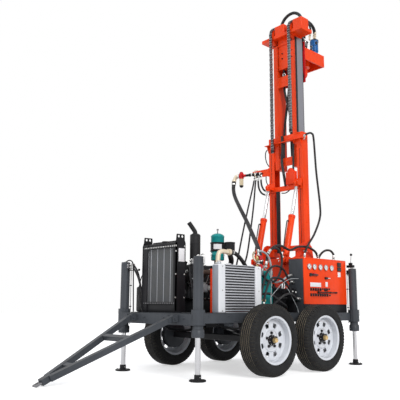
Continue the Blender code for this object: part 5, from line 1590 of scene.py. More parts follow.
    def _right_side(self, shape: Shape) -> None:
        """Starter motor, inlet manifold and fuel filter."""
        x0, y0, z0 = self.low
        y1, z1 = self.high[1], self.high[2]
        shape.rod((x0 + 0.046, y1 - 0.25, z0 + 0.085), (x0 + 0.046, y1 - 0.075, z0 + 0.085), 0.038, None, 28)
        shape.rod((x0 + 0.046, y1 - 0.2, z0 + 0.14), (x0 + 0.046, y1 - 0.09, z0 + 0.14), 0.02, DARK_STEEL, 20)
        shape.box((x0 + 0.006, y0 + 0.11, z1 - 0.03), (x0 + 0.052, y1 - 0.11, z1 + 0.014), 0.012, ALUMINIUM)
        at = Vector((x0 + 0.02, y0 + 0.07, z1 - 0.08))
        shape.lathe([(0.0, 0.0), (0.03, 0.004), (0.033, 0.01), (0.033, 0.075), (0.028, 0.082), (0.0, 0.082)], at, UP,
            28, PLATE_WHITE)
        shape.box(at + Vector((-0.03, -0.03, 0.08)), at + Vector((0.034, 0.03, 0.1)), 0.004, ALUMINIUM)


@dataclass
class Muffler:
    """Upright exhaust silencer with a cut tail pipe."""

    at: tuple[float, float] = (0.15, -0.79)
    radius: float = 0.0495
    foot: float = 0.96
    top: float = 1.289

    def build(self) -> None:
        """Makes the can with its raised seams, the cut tail pipe and the pipe from the manifold."""
        x, y = self.at
        _, high = rig_box("exhaust_muffler")
        shape = Shape(BLACK_HOT)
        height = self.top - self.foot
        shape.lathe([(0.0, 0.0), (0.03, 0.0), (0.046, 0.01), (self.radius, 0.022), (self.radius, height - 0.022),
            (0.046, height - 0.01), (0.028, height), (0.0, height)], (x, y, self.foot), UP, 48)
        for lift in (0.022, height - 0.022):
            shape.ring((x, y, self.foot + lift), UP, self.radius - 0.0008, 0.0022, None, 48)
        for lift in (0.09, 0.23):
            shape.ring((x, y, self.foot + lift), UP, self.radius, 0.0024, None, 48)
        elbow = [(x, y, self.top - 0.006), (x - 0.002, y - 0.004, self.top + 0.02),
            (x - 0.014, y - 0.024, self.top + 0.055), (x - 0.03, y - 0.055, high.z - 0.008)]
        shape.pipe(elbow, 0.006, 0.021, None, 24)
        tip, before = Vector(elbow[-1]), Vector(elbow[-2])
        # the cut end's near-black disc: soot, and painted shade for the pipe's open bore
        shape.rod(tip - (tip - before) * 0.02, tip + (tip - before).normalized() * 0.002, 0.0185, SOOT_AND_SHADE_BLACK, 24)
        shape.pipe([(0.096, -0.61, 0.935), (0.11, -0.68, 0.932), (0.14, -0.76, 0.932), (x, y, 0.945),
            (x, y, self.foot + 0.006)], 0.008, 0.0235, RUSTY, 20)
        shape.rod((x, y, self.foot - 0.012), (x, y, self.foot + 0.002), 0.032, RUSTY, 28)
        shape.finish("muffler_look", "chassis", "black_paint", ["exhaust_muffler"])


@dataclass
class AirCleaner:
    """Teal engine air cleaner: domed top with a stem, a wide black band and a short drum beside it."""

    at: tuple[float, float] = (0.05, -0.4)
    radius: float = 0.069
    foot: float = 1.06
    band: tuple[float, float] = (1.15, 1.24)
    dome: float = 1.332
    drum_at: tuple[float, float] = (0.168, -0.345)

    def build(self) -> None:
        """Makes the canister, band, label, drum and outlet hose."""
        x, y = self.at
        low, high = rig_box("air_cleaner")
        shape = Shape(TEAL)
        height, r = self.dome - self.foot, self.radius
        shape.lathe([(0.0, 0.002), (r - 0.012, 0.0), (r - 0.003, 0.006), (r - 0.003, 0.044), (r, 0.048), (r, 0.058),
            (r - 0.003, 0.062), (r - 0.003, height - 0.04), (r, height - 0.036), (r - 0.002, height - 0.026),
            (r - 0.016, height - 0.012), (r - 0.036, height - 0.003), (0.014, height), (0.0, height)],
            (x, y, self.foot), UP, 56)
        shape.rod((x, y, self.dome - 0.002), (x, y, high.z - 0.01), 0.0055, DARK_STEEL, 12)
        shape.rod((x, y, high.z - 0.014), (x, y, high.z), 0.0105, DARK_STEEL, 8)
        wide = r + 0.0055
        foot, top = self.band
        shape.lathe([(r - 0.004, foot), (wide, foot), (wide, foot + 0.01), (wide - 0.004, foot + 0.014),
            (wide - 0.004, top - 0.014), (wide, top - 0.01), (wide, top), (r - 0.004, top)], (x, y, 0), UP, 56, BLACK)
        label = [Vector((x, y, 0)) + heading(Plane.XY, a) * (wide - 0.0028) for a in spaced(-0.15, -0.1, 13)]
        low_edge, high_edge = Vector((0, 0, foot + 0.02)), Vector((0, 0, top - 0.02))
        shape.sheet([(a + low_edge, b + low_edge, b + high_edge, a + high_edge) for a, b in zip(label, label[1:])],
            PLATE_WHITE)
        dx, dy = self.drum_at
        shape.lathe([(0.0, foot + 0.004), (0.046, foot + 0.004), (0.05, foot + 0.008), (0.05, top - 0.014),
            (0.053, top - 0.012), (0.053, top - 0.002), (0.046, top), (0.0, top)], (dx, dy, 0), UP, 40, BLACK)
        shape.beam((x + 0.04, y + 0.02, (foot + top) / 2), (dx, dy, (foot + top) / 2), 0.05, 0.062, 0.006, BLACK)
        for angle in (0.3, 2.4, 4.5):
            way = heading(Plane.XY, angle)
            spot = Vector((x, y, self.foot + 0.054)) + way * (r - 0.002)
            shape.block(spot, (0.006, 0.006, 0.02), 0.002, ZINC)
        shape.pipe([(dx, dy, foot + 0.01), (dx - 0.006, dy + 0.01, foot - 0.04), (dx - 0.04, dy + 0.06, foot - 0.09),
            (0.06, -0.24, 0.99)], 0.008, 0.026, BLACK_PLASTIC, 20)
        shape.rod((x - 0.02, y, low.z), (x - 0.02, y, self.foot + 0.004), 0.02, BLACK, 20)
        shape.box((x - 0.06, y - 0.05, low.z), (x + 0.04, y + 0.05, low.z + 0.01), 0.002, BLACK)
        shape.finish("air_cleaner_look", "chassis", "teal_paint", ["air_cleaner"])


@dataclass
class Cooler:
    """Hydraulic oil cooler on the left side, behind an orange screen frame."""

    tank: float = 0.085
    bars: int = 17
    teeth: int = 46
    fin_x: float = 0.42

    def build(self) -> None:
        """Makes the core and both end tanks."""
        low, high = rig_box("oil_cooler")
        self.face = high.x
        shape = Shape(ALUMINIUM)
        for start in (low.y, high.y - self.tank):
            shape.box((low.x, start, low.z), (self.face - 0.004, start + self.tank, high.z), 0.014, PALE_TANK, 4)
            shape.bolts([(self.face - 0.004, start + self.tank / 2, z)
                for z in (low.z + 0.02, low.z + 0.2, high.z - 0.022)], LEFT, 0.01, ZINC)
        # painted shade: a grey plate on the front tank's forward face, darker than the pale tank
        shape.box((low.x + 0.01, low.y - 0.0005, low.z + 0.006), (self.face - 0.016, low.y + 0.004, high.z - 0.008),
            0.001, SHADED_FACE_GREY)
        start, end = low.y + self.tank, high.y - self.tank
        # painted shade: a near-black block among the fins stands for the core's depth
        shape.box((low.x + 0.014, start, low.z + 0.012), (self.face - 0.03, end, high.z - 0.012), 0.001, SOOT_AND_SHADE_BLACK)
        pitch = (high.z - low.z - 0.02) / self.bars
        for z in spaced(low.z + 0.01 + pitch / 2, pitch, self.bars):
            shape.box((low.x + 0.008, start - 0.002, z - 0.0055), (self.face - 0.014, end + 0.002, z + 0.0055), 0.001,
                ALUMINIUM)
            self._fins(shape, start, end, z + pitch / 2, pitch - 0.011)
        for z in (low.z + 0.004, high.z - 0.004):
            shape.box((low.x + 0.004, start, z - 0.004), (self.face - 0.008, end, z + 0.004), 0.001, ALUMINIUM)
        boss = Vector((0.45, low.y + 0.043, high.z - 0.002))
        shape.rod(boss, boss + Vector((0, 0, 0.02)), 0.02, ALUMINIUM, 28)
        shape.rod(boss + Vector((0, 0, 0.018)), boss + Vector((0, 0, 0.034)), 0.017, ZINC, 6)
        shape.finish("oil_cooler_look", "chassis", "aluminium", ["oil_cooler"])

    def _fins(self, shape: Shape, start: float, end: float, z: float, height: float) -> None:
        """One row of zigzag fins between two bars."""
        step = (end - start) / self.teeth
        points = []
        for number in range(self.teeth + 1):
            points.append((start + step * number, z + (height / 2 - 0.0006) * (1 if number % 2 else -1)))
        back, front = self.fin_x, self.face - 0.018
        shape.sheet([((back, *low), (front, *low), (front, *high), (back, *high))
            for low, high in zip(points, points[1:])], ALUMINIUM_DARK)


@dataclass
class CoolerScreen:
    """Orange plate with a round fan opening inboard of the cooler."""

    hole: float = 0.16
    hole_z: float = 0.757
    guard_rings: int = 6
    spokes: int = 6
    blades: int = 8

    def build(self) -> None:
        """Makes the plate, its flanges, the fan, its guard and bolts."""
        low, high = rig_box("cooler_screen")
        shape = Shape(ORANGE_DEEP)
        middle = Vector(((low.x + high.x) / 2, (low.y + high.y) / 2, self.hole_z))
        hole = circle_outline(self.hole, 48, (middle.y, middle.z))
        outline = round_outline([(low.y, low.z), (high.y, low.z), (high.y, high.z), (low.y, high.z)], 0.012)
        shape.prism(outline, Plane.YZ, (high.x - 0.003, 0, 0), 0.005, 0.001, None, [hole])
        for y in (low.y, high.y - 0.004):
            shape.box((low.x, y, low.z), (high.x - 0.002, y + 0.004, high.z), 0.0015)
        for z in (low.z, high.z - 0.004):
            shape.box((low.x, low.y, z), (high.x - 0.002, high.y, z + 0.004), 0.0015)
        hub = Vector((low.x + 0.004, middle.y, middle.z))
        for reach in spaced(0.035, 0.025, self.guard_rings):
            shape.ring(hub, LEFT, reach, 0.0017, BLACK, 40)
        for way in circle_points((0, 0, 0), Plane.YZ, 1.0, self.spokes):
            shape.rod(hub + way * 0.03, hub + way * (self.hole + 0.012), 0.002, BLACK, 6)
        shape.rod(hub - Vector((0.003, 0, 0)), hub + Vector((0.012, 0, 0)), 0.04, BLACK_PLASTIC, 32)
        blade = Shape(BLACK_PLASTIC)
        blade.turn = Matrix.Rotation(math.radians(30), 4, "Y")
        blade.box((-0.0015, -0.02, 0.036), (0.0015, 0.02, 0.145), 0.001)
        at_hub = Matrix.Translation(hub + Vector((0.008, 0, 0)))
        shape.copies(blade, [at_hub @ Matrix.Rotation(angle, 4, "X") for angle in circle_angles(self.blades)])
        shape.bolts([(low.x, y, z) for y in (low.y + 0.014, high.y - 0.014)
            for z in (low.z + 0.016, low.z + 0.13, low.z + 0.262, high.z - 0.016)], RIGHT, 0.009, ZINC)
        shape.finish("cooler_screen_look", "chassis", "orange_paint", ["cooler_screen"])


@dataclass
class Compressor:
    """Screw compressor with its oil separator."""

    casing_radius: float = 0.095
    gear_radius: float = 0.07
    ribs: int = 6
    lid_bolts: int = 10

    def build(self) -> None:
        """Makes the compressor on its feet, then the separator."""
        low, high = rig_box("screw_compressor")
        shape = Shape(TEAL_CAST)
        middle = (low + high) / 2
        casing, gear = self.casing_radius, self.gear_radius
        y0, y1 = low.y, high.y
        shape.box((low.x + 0.01, y0 + 0.01, low.z), (high.x - 0.01, y1 - 0.02, low.z + 0.03), 0.006)
        shape.box((low.x + 0.03, y0 + 0.04, low.z + 0.025), (high.x - 0.03, y1 - 0.04, middle.z), 0.02, None, 4)
        shape.lathe([(0.0, 0.0), (0.08, 0.0), (casing, 0.01), (casing, 0.14), (0.088, 0.15), (0.088, 0.17),
            (0.0, 0.17)], (middle.x - 0.03, y0 + 0.02, middle.z + 0.01), BACK, 36)
        shape.lathe([(0.0, 0.0), (0.055, 0.0), (gear, 0.01), (gear, 0.13), (0.06, 0.14), (0.0, 0.14)],
            (middle.x + 0.055, y0 + 0.03, middle.z + 0.03), BACK, 32)
        for y in spaced(y0 + 0.04, 0.02, self.ribs):
            shape.ring((middle.x - 0.03, y, middle.z + 0.01), BACK, casing, 0.003, None, 36)
        shape.box((middle.x - 0.07, y0 + 0.06, high.z - 0.1), (middle.x + 0.05, y1 - 0.06, high.z - 0.012), 0.014,
            BLACK)
        shape.lathe([(0.0, 0.0), (0.04, 0.0), (0.046, 0.008), (0.046, 0.03), (0.0, 0.03)],
            (middle.x - 0.01, middle.y, high.z - 0.03), UP, 32, ALUMINIUM)
        shape.bolts([(x, y, high.z - 0.012) for x in (middle.x - 0.05, middle.x + 0.03)
            for y in (y0 + 0.075, y1 - 0.075)], UP, 0.011, ZINC)
        shape.bolts([(x, y, low.z + 0.03) for x in (low.x + 0.022, high.x - 0.022)
            for y in spaced(y0 + 0.03, 0.05, 3)], UP, 0.013, ZINC)
        shape.finish("compressor_look", "chassis", "teal_paint", ["screw_compressor"])
        self._separator()

    def _separator(self) -> None:
        """Upright oil separator with a bolted lid and a sight glass."""
        low, high = rig_box("oil_separator_tank")
        middle = (low + high) / 2
        r = (high.x - low.x) / 2 - 0.001
        height = high.z - low.z
        shape = Shape(TEAL)
        shape.lathe([(0.0, 0.0), (r - 0.03, 0.0), (r - 0.006, 0.016), (r - 0.006, height - 0.06), (r, height - 0.058),
            (r, height - 0.042), (0.0, height - 0.042)], (middle.x, middle.y, low.z), UP, 56)
        shape.lathe([(0.0, 0.0), (r, 0.0), (r, 0.02), (r - 0.012, 0.026), (0.0, 0.032)],
            (middle.x, middle.y, high.z - 0.04), UP, 56)
        shape.bolts(circle_points((middle.x, middle.y, high.z - 0.018), Plane.XY, r - 0.012, self.lid_bolts), UP,
            0.014, ZINC)
        side = heading(Plane.XY, -0.6)
        spot = Vector((middle.x, middle.y, low.z + 0.12)) + side * (r - 0.01)
        shape.rod(spot, spot + side * 0.008, 0.018, BRASS, 24)
        shape.rod(spot + side * 0.006, spot + side * 0.01, 0.012, BOWL, 24)
        shape.ring((middle.x, middle.y, low.z + 0.2), UP, r - 0.005, 0.0025, None, 56)
        shape.finish("oil_separator_look", "chassis", "teal_paint", ["oil_separator_tank"])


@dataclass
class Tank:
    """A rounded sheet tank with a filler cap and straps, or the battery box."""

    node: str
    finish: Finish
    cap_share: tuple[float, float]
    label: str = "frame_grey"
    corner: float = 0.018

    def build(self) -> None:
        """Makes the tank over its CAD box."""
        low, high = rig_box(self.node)
        cap_top = high.z
        body_top = cap_top - 0.022 if self.node != "battery_box" else cap_top
        shape = Shape(self.finish)
        shape.box(low + Vector((0.001, 0.001, 0)), Vector((high.x - 0.001, high.y - 0.001, body_top)), self.corner,
            None, 4)
        if self.node == "battery_box":
            self._terminals(shape, low, high)
        else:
            x = low.x + (high.x - low.x) * self.cap_share[0]
            y = low.y + (high.y - low.y) * self.cap_share[1]
            shape.lathe([(0.0, 0.0), (0.03, 0.0), (0.03, 0.01), (0.0, 0.01)], (x, y, body_top - 0.002), UP, 28)
            shape.lathe([(0.0, 0.0), (0.026, 0.0), (0.028, 0.002), (0.028, 0.01), (0.024, 0.013), (0.0, 0.013)],
                (x, y, body_top + 0.007), UP, 24, BLACK_PLASTIC)
            for share in (0.22, 0.78):
                y = low.y + (high.y - low.y) * share
                shape.box((low.x, y - 0.014, low.z), (high.x, y + 0.014, body_top + 0.001), 0.003, BLACK)
                shape.bolt((high.x - 0.001, y, low.z + 0.04), LEFT, 0.01, ZINC)
            shape.rod((high.x - 0.003, low.y + 0.06, low.z + 0.06), (high.x, low.y + 0.06, low.z + 0.06), 0.014,
                BRASS, 6)
            shape.box((high.x - 0.002, high.y - 0.09, low.z + 0.06),
                (high.x + 0.0005, high.y - 0.07, body_top - 0.06), 0.0005, BOWL)
        shape.finish(f"{self.node}_look", "chassis", self.label, [self.node])

    @staticmethod
    def _terminals(shape: Shape, low: Vector, high: Vector) -> None:
        """Battery posts and the strap across the box."""
        for y, finish in ((low.y + 0.06, RED_PLASTIC), (high.y - 0.06, BLACK_PLASTIC)):
            shape.rod((high.x - 0.035, y, high.z - 0.014), (high.x - 0.035, y, high.z - 0.001), 0.011, finish, 16)
        shape.box((low.x + 0.004, low.y + 0.13, low.z), (high.x - 0.001, low.y + 0.15, high.z), 0.002, ZINC)


@dataclass
class Cabinet:
    """Control cabinet: gauges over two rows of levers, grey front end, orange side."""

    base: float = 0.641
    face: float = 0.5
    gauge_z: float = 1.026
    gauge_y: tuple[float, ...] = (0.48, 0.568, 0.67, 0.767, 0.87)
    gauge_radius: float = 0.03

    def build(self) -> None:
        """Makes the housing, the gauges and both lever rows."""
        self._housing()
        self._gauges()
        self._levers()

    def _housing(self) -> None:
        """Sheet housing with its lid, blank labels, switches and handles."""
        low, high = rig_box("control_cabinet")
        shape = Shape(ORANGE)
        base = self.base
        shape.box((low.x + 0.002, low.y + 0.002, low.z), (high.x - 0.01, high.y - 0.002, high.z - 0.01), 0.006,
            FRAME_GREY)
        shape.box((high.x - 0.012, low.y + 0.002, low.z), (high.x - 0.004, high.y - 0.004, base + 0.002), 0.002,
            BLACK)
        shape.box((high.x - 0.012, low.y + 0.002, base), (high.x, high.y - 0.002, high.z - 0.014), 0.004)
        shape.box((low.x, low.y, high.z - 0.016), (high.x, high.y, high.z), 0.005)
        shape.bolts([(high.x, y, z) for y in (low.y + 0.024, high.y - 0.022) for z in (base + 0.02, high.z - 0.032)],
            LEFT, 0.008, ORANGE_DEEP)
        # (near y, low z, far y, high z, stand-off, finish) of the blank labels, switches and handles
        for y0, z0, y1, z1, depth, finish in ((0.499, 0.819, 0.683, 0.864, 0.0016, PLATE_WHITE),
            (0.762, 0.824, 0.802, 0.875, 0.0016, PLATE_WHITE), (0.99, 0.935, 1.042, 0.987, 0.0016, PLATE_WHITE),
            (0.984, 0.997, 1.047, 1.039, 0.009, BLACK_PLASTIC), (0.984, 1.045, 1.047, 1.092, 0.009, BLACK_PLASTIC),
            (0.488, 0.928, 0.52, 0.958, 0.014, BLACK_PLASTIC), (0.515, 0.936, 0.616, 0.95, 0.02, BLACK_PLASTIC),
            (0.54, 0.949, 0.581, 0.96, 0.02, RED_PLASTIC), (0.75, 0.904, 0.79, 0.926, 0.018, BLACK_PLASTIC),
            (0.785, 0.912, 0.84, 0.919, 0.012, PLATE_WHITE)):
            shape.box((high.x - 0.001, y0, z0), (high.x + depth, y1, z1), 0.0012, finish)
        shape.finish("control_cabinet_look", "chassis", "orange_paint", ["control_cabinet"])

    def _gauges(self) -> None:
        """Five glycerine gauges with pale dials, ticks and needles."""
        shape = Shape(BLACK)
        r = self.gauge_radius
        for number, y in enumerate(self.gauge_y):
            at = Vector((self.face, y, self.gauge_z))
            shape.lathe([(0.0, 0.0), (r, 0.0), (r + 0.001, 0.002), (r + 0.001, 0.012), (r - 0.001, 0.015),
                (r - 0.004, 0.015), (r - 0.005, 0.009), (0.0, 0.009)], at, LEFT, 44, CHROME)
            shape.rod(at + Vector((0.008, 0, 0)), at + Vector((0.0095, 0, 0)), r - 0.005, DIAL, 40, 0.0)
            for degrees in spaced(225, -27, 11):
                way = heading(Plane.YZ, math.radians(degrees))
                side = way.cross(Vector(LEFT))
                near = at + Vector((0.0096, 0, 0)) + way * (r - 0.011)
                far = at + Vector((0.0096, 0, 0)) + way * (r - 0.0065)
                shape.box(*self._corners(near, far, side, 0.0005), 0.0, BLACK_PLASTIC, 1)
            way = heading(Plane.YZ, math.radians(205 - 31 * number))
            shape.rod(at + Vector((0.0112, 0, 0)) - way * 0.006, at + Vector((0.0112, 0, 0)) + way * (r - 0.01),
                0.0008, RED_PLASTIC if number == 2 else BLACK_PLASTIC, 6, 0.0, 0.0003)
            shape.rod(at + Vector((0.009, 0, 0)), at + Vector((0.013, 0, 0)), 0.0028, BLACK_PLASTIC, 12, 0.0003)
        shape.finish("gauge_row_look", "chassis", "black_paint", ["gauge_row"])

    @staticmethod
    def _corners(near: Vector, far: Vector, side: Vector, half: float) -> tuple[Vector, Vector]:
        """The low and high corners of a thin tick."""
        points = [near - side * half, near + side * half, far - side * half, far + side * half]
        points += [p + Vector((0.0004, 0, 0)) for p in points]
        return (Vector([min(p[i] for p in points) for i in range(3)]),
            Vector([max(p[i] for p in points) for i in range(3)]))

    def _levers(self) -> None:
        """Two rows of spring levers with black knobs, and a locking bar."""
        face = self.face
        shape = Shape(BLACK)
        # (row height, how many, first y, pitch)
        for z, count, first, pitch in ((0.793, 5, 0.508, 0.04), (0.793, 2, 0.746, 0.034), (0.737, 8, 0.508, 0.04)):
            for y in spaced(first, pitch, count):
                shape.box((face - 0.001, y - 0.0135, z - 0.015), (face + 0.006, y + 0.0135, z + 0.015), 0.002)
                tip = Vector((face + 0.034, y, z + (0.006 if z > 0.76 else -0.004)))
                shape.lathe([(0.0, 0.0), (0.01, 0.0), (0.008, 0.006), (0.005, 0.01), (0.0, 0.01)],
                    (face + 0.005, y, z), LEFT, 16, BLACK_PLASTIC)
                shape.rod((face + 0.006, y, z), tip, 0.0034, ZINC, 8)
                shape.ball(tip, 0.0098, BLACK_PLASTIC, 14)
        # the long locking bar between the rows
        shape.rod((face + 0.016, 0.611, 0.7645), (face + 0.016, 0.946, 0.7645), 0.0055, BLACK, 12)
        for y in (0.625, 0.83, 0.938):
            shape.box((face - 0.001, y - 0.007, 0.756), (face + 0.022, y + 0.007, 0.773), 0.002)
        shape.finish("control_levers_look", "chassis", "black_paint", ["control_levers"])


# Tower, mast and cylinders


@dataclass
class Tower:
    """The two cheeks that hold the mast, with their front plate and struts."""

    pivot: Point = (0.27, 0.72, 1.2)
    foot_x: float = 0.262
    front: float = 0.505

    def build(self) -> None:
        """Keeps the CAD plates under enamel and adds bolts and pivot caps."""
        dress_node("mast_tower", ORANGE_DEEP)
        shape = Shape(ORANGE_DEEP)
        for side in (-1, 1):
            cap = Vector((side * self.pivot[0], *self.pivot[1:]))
            shape.lathe([(0.0, 0.0), (0.038, 0.0), (0.038, 0.005), (0.03, 0.008), (0.018, 0.009), (0.0, 0.009)], cap,
                (side, 0, 0), 36)
            shape.bolts(circle_points(cap + Vector((side * 0.006, 0, 0)), Plane.YZ, 0.029, 3, 0.5), (side, 0, 0),
                0.01, ZINC)
            shape.bolts([(side * self.foot_x, y, 0.5675) for y in (0.488, 0.545, 0.905, 0.97)], UP, 0.013, ZINC)
        shape.bolts([(x, self.front, z) for x in (-0.225, -0.08, 0.08, 0.225) for z in (0.885, 1.105)], AHEAD, 0.012,
            ZINC)
        shape.finish("tower_trim", "chassis", "orange_paint")


@dataclass
class TiltCylinders:
    """The pair of cylinders that raise the mast."""

    x: float = 0.206
    base: tuple[float, float] = (0.46, 1.106)
    eye: tuple[float, float] = (0.685, 1.98)
    barrel_radius: float = 0.0358
    length: float = 0.52
    port_reach: float = 0.085
    rod_radius: float = 0.0179
    eye_radius: float = 0.0335
    eye_half: float = 0.0155

    def build(self) -> None:
        """Makes both barrels and both rods."""
        for side, name in ((1, "left"), (-1, "right")):
            base = Vector((side * self.x, *self.base))
            eye = Vector((side * self.x, *self.eye))
            way = (eye - base).normalized()
            self._barrel(name, base, way)
            self._rod(name, base, eye, way)

    def _eye(self, shape: Shape, at: Vector, finish: Optional[Finish]) -> None:
        """A cylinder's eye, round its pin."""
        half = Vector((self.eye_half, 0, 0))
        shape.rod(at - half, at + half, self.eye_radius, finish, 36, 0.002)

    def _barrel(self, name: str, base: Vector, way: Vector) -> None:
        """Barrel with a base eye, welded port bosses, elbows and a red gland."""
        shape = Shape(ORANGE)
        r = self.barrel_radius
        shape.lathe([(0.0, 0.04), (0.026, 0.04), (0.032, 0.048), (r, 0.052), (r, self.length - 0.03),
            (r - 0.001, self.length - 0.028)], base, way, 40)
        self._eye(shape, base, None)
        shape.beam(base + way * 0.01, base + way * 0.05, 0.03, 0.04, 0.003, None, BACK)
        shape.lathe([(0.0185, 0.0), (r, 0.0), (r + 0.0038, 0.002), (r + 0.0038, 0.026), (r + 0.001, 0.031),
            (0.026, 0.034), (0.0185, 0.034)], base + way * (self.length - 0.034), way, 40, ORANGE_DEEP)
        back = Vector((0, -way.z, way.y)).normalized()
        for reach in (self.port_reach, self.length - self.port_reach):
            spot = base + way * reach + back * (r - 0.004)
            shape.rod(spot, spot + back * 0.012, 0.012, None, 20)
            shape.rod(spot + back * 0.011, spot + back * 0.022, 0.0092, BLACK, 6)
        upper = base + way * (self.length - self.port_reach) + back * (r + 0.018)
        shape.pipe([upper, upper + back * 0.012 - way * 0.006, upper + back * 0.014 - way * 0.04, upper + back * 0.01
            - way * 0.2, upper - way * 0.33], 0.01, 0.006, HOSE, 10)
        shape.ring(base + way * 0.052, way, r, 0.002, None, 36)
        shape.finish(f"tilt_barrel_{name}_look", "tilt_barrels", "orange_paint", [f"tilt_barrel_{name}"])

    def _rod(self, name: str, base: Vector, eye: Vector, way: Vector) -> None:
        """Chromed rod and its eye."""
        inner = base + way * (self.length - 0.1)
        shape = Shape(CHROME)
        shape.rod(inner, eye - way * 0.03, self.rod_radius, None, 32, 0.0008)
        self._eye(shape, eye, ORANGE)
        shape.rod(eye - way * 0.04, eye - way * 0.026, 0.024, ORANGE, 28, 0.003)
        grease = eye + way * 0.033
        shape.rod(grease, grease + way * 0.008, 0.0035, ZINC, 8)
        shape.finish(f"tilt_rod_{name}_look", "tilt_rods", "chrome", [f"tilt_rod_{name}"])


@dataclass
class OuterMast:
    """The lower mast: two open channel legs joined by plates."""

    half: float = 0.25
    inner: float = 0.171
    front: float = 0.743
    rear: float = 0.849
    foot: float = 1.17
    top: float = 2.594

    def build(self) -> None:
        """Draws the legs over the CAD's and adds welds, bolts, and thin black strips of painted shade for the slots'
        dark lines.
        """
        shape = Shape(ORANGE)
        self._legs(shape)
        for side in (-1, 1):
            x0, x1 = sorted((side * self.inner, side * self.half))
            for z in (1.18, 1.62, 2.06, 2.43, 2.58):
                shape.sweep([(x0 + 0.004, self.front - 0.0004, z), (x1 - 0.004, self.front - 0.0004, z)],
                    lambda share: 0.002 + 0.0005 * math.sin(share * 60), None, 6)
            shape.bolts([(side * self.half, self.front + 0.053, z) for z in spaced(1.33, 0.215, 6)], (side, 0, 0),
                0.011)
            middle = side * (self.half + self.inner) / 2
            shape.bolts([(middle, self.front, z) for z in (1.3, 1.74, 2.18, 2.53)], AHEAD, 0.01)
            # painted shade: a thin black strip down each leg's front stands for the dark inside a slot
            shape.box((middle - 0.002, self.front - 0.0025, 1.26), (middle + 0.002, self.front + 0.001, 2.4), 0.001,
                BLACK, 1)
        shape.finish("outer_mast_look", "mast", "orange_paint", ["outer_mast"])
        self._gear()

    def _legs(self, shape: Shape) -> None:
        """Both legs as open channels, their feet, the cylinders' brackets, cross plates and the gusseted flange."""
        wall, foot_top, flange = 0.01, 1.27, (2.504, 2.513)
        for side in (-1, 1):
            near, far = side * self.inner, side * self.half
            web = far - side * wall
            channel = [(near, self.front), (far, self.front), (far, self.rear), (near, self.rear),
                (near, self.rear - wall), (web, self.rear - wall), (web, self.front + wall),
                (near, self.front + wall)]
            shape.prism(channel, Plane.XY, (0, 0, (foot_top + self.top) / 2), self.top - foot_top, 0.0015)
            low_x, high_x = sorted((near, far))
            shape.box((low_x, 0.675, self.foot), (high_x, self.rear, foot_top + 0.001), 0.004)
            for offset in (-0.029, 0.029):
                shape.prism([(0.753, 1.956), (0.662, 1.96), (0.657, 2.0), (0.68, 2.02), (0.753, 2.06)], Plane.YZ,
                    (side * 0.206 + offset, 0, 0), 0.01, 0.0015)
            shape.prism([(side * 0.18, flange[0] + 0.001), (side * 0.276, flange[0] + 0.001), (side * 0.249, 2.42)],
                Plane.XZ, (0, 0.739, 0), 0.008, 0.001)
            shape.prism([(0.744, 2.42), (0.744, flange[0] + 0.001), (0.7, flange[0] + 0.001)], Plane.YZ,
                (side * 0.245, 0, 0), 0.008, 0.001)
        shape.box((-0.28, 0.698, flange[0]), (0.28, self.front + 0.004, flange[1]), 0.0015)
        for y0, z0, y1, z1 in ((0.731, 1.93, 0.747, 1.99), (0.733, 1.23, 0.751, 1.29), (0.744, 2.53, 0.752, 2.593)):
            shape.box((-0.24, y0, z0), (0.24, y1, z1), 0.003)

    def _gear(self) -> None:
        """The feed gear box's body, its round boss and its bolts."""
        low, high = rig_box("feed_gear_box")
        shape = Shape(ORANGE_DEEP)
        left, right = 0.03, 0.166
        shape.box((left, low.y + 0.004, low.z), (right, high.y, high.z - 0.06), 0.006)
        shape.lathe([(0.0, 0.0), (0.042, 0.0), (0.045, 0.003), (0.045, 0.03), (0.036, 0.036), (0.0, 0.036)],
            (left + 0.062, high.y - 0.001, high.z - 0.06), AHEAD, 40)
        shape.bolts([(x, low.y + 0.004, z) for x in (left + 0.014, right - 0.014)
            for z in (low.z + 0.014, high.z - 0.076)], AHEAD, 0.01)
        shape.finish("feed_gear_look", "mast", "red_paint", ["feed_gear_box"])


@dataclass
class InnerMast:
    """The upper mast that slides out of the lower one and carries head and crown."""

    half: float = 0.165
    front: float = 0.759
    rear: float = 0.907
    strip_foot: float = 2.61
    top: float = 3.825

    def build(self) -> None:
        """Keeps the CAD mast under enamel and adds slide strips with a painted flange shadow, near-black discs of
        painted shade for holes, and bolts.
        """
        dress_node("inner_mast", ORANGE)
        dress_node("crown_head", ORANGE)
        shape = Shape(STEEL)
        for side in (-1, 1):
            x = side * self.half
            low_x, high_x = sorted((x, x + side * 0.0014))
            shape.box((low_x, self.front + 0.001, self.strip_foot), (high_x, self.rear - 0.002, self.top - 0.03),
                0.0004, SLIDE_STEEL, 1)
            # black strips on each slide face: the front one is a painted shadow under the flange lip, the rear one a
            # dark line at its edge
            for near, far in ((0.001, 0.034), (0.138, 0.146)):
                shape.box((low_x, self.front + near, self.strip_foot),
                    (x + side * 0.002, self.front + far, self.top - 0.03), 0.0004, BLACK, 1)
        # painted shade: near-black discs stand for holes in the front faces
        for x, z in ((0.118, 3.635), (0.117, 3.553), (-0.033, 3.636), (-0.034, 3.572)):
            shape.rod((x, self.front + 0.012, z), (x, self.front - 0.0008, z), 0.0075, SOOT_AND_SHADE_BLACK, 20, 0.0002)
        for z in (2.28, 3.275, 3.782):
            shape.bolts([(x, self.front + 0.0005, z) for x in (-0.085, -0.03, 0.03, 0.085)], AHEAD, 0.01, ORANGE)
        shape.finish("inner_mast_trim", "feed_mast", "bare_steel")
        self._box()

    def _box(self) -> None:
        """Lid screws and a ring on the box between the legs."""
        shape = Shape(ORANGE)
        y = 0.769
        shape.bolts([(x, y, z) for x in (-0.08, 0.05) for z in (3.452, 3.56, 3.68, 3.788)], AHEAD, 0.008)
        shape.ring((-0.012, y - 0.002, 3.357), BACK, 0.02, 0.003, CHROME, 32)
        shape.finish("mast_box_trim", "feed_mast", "orange_paint")


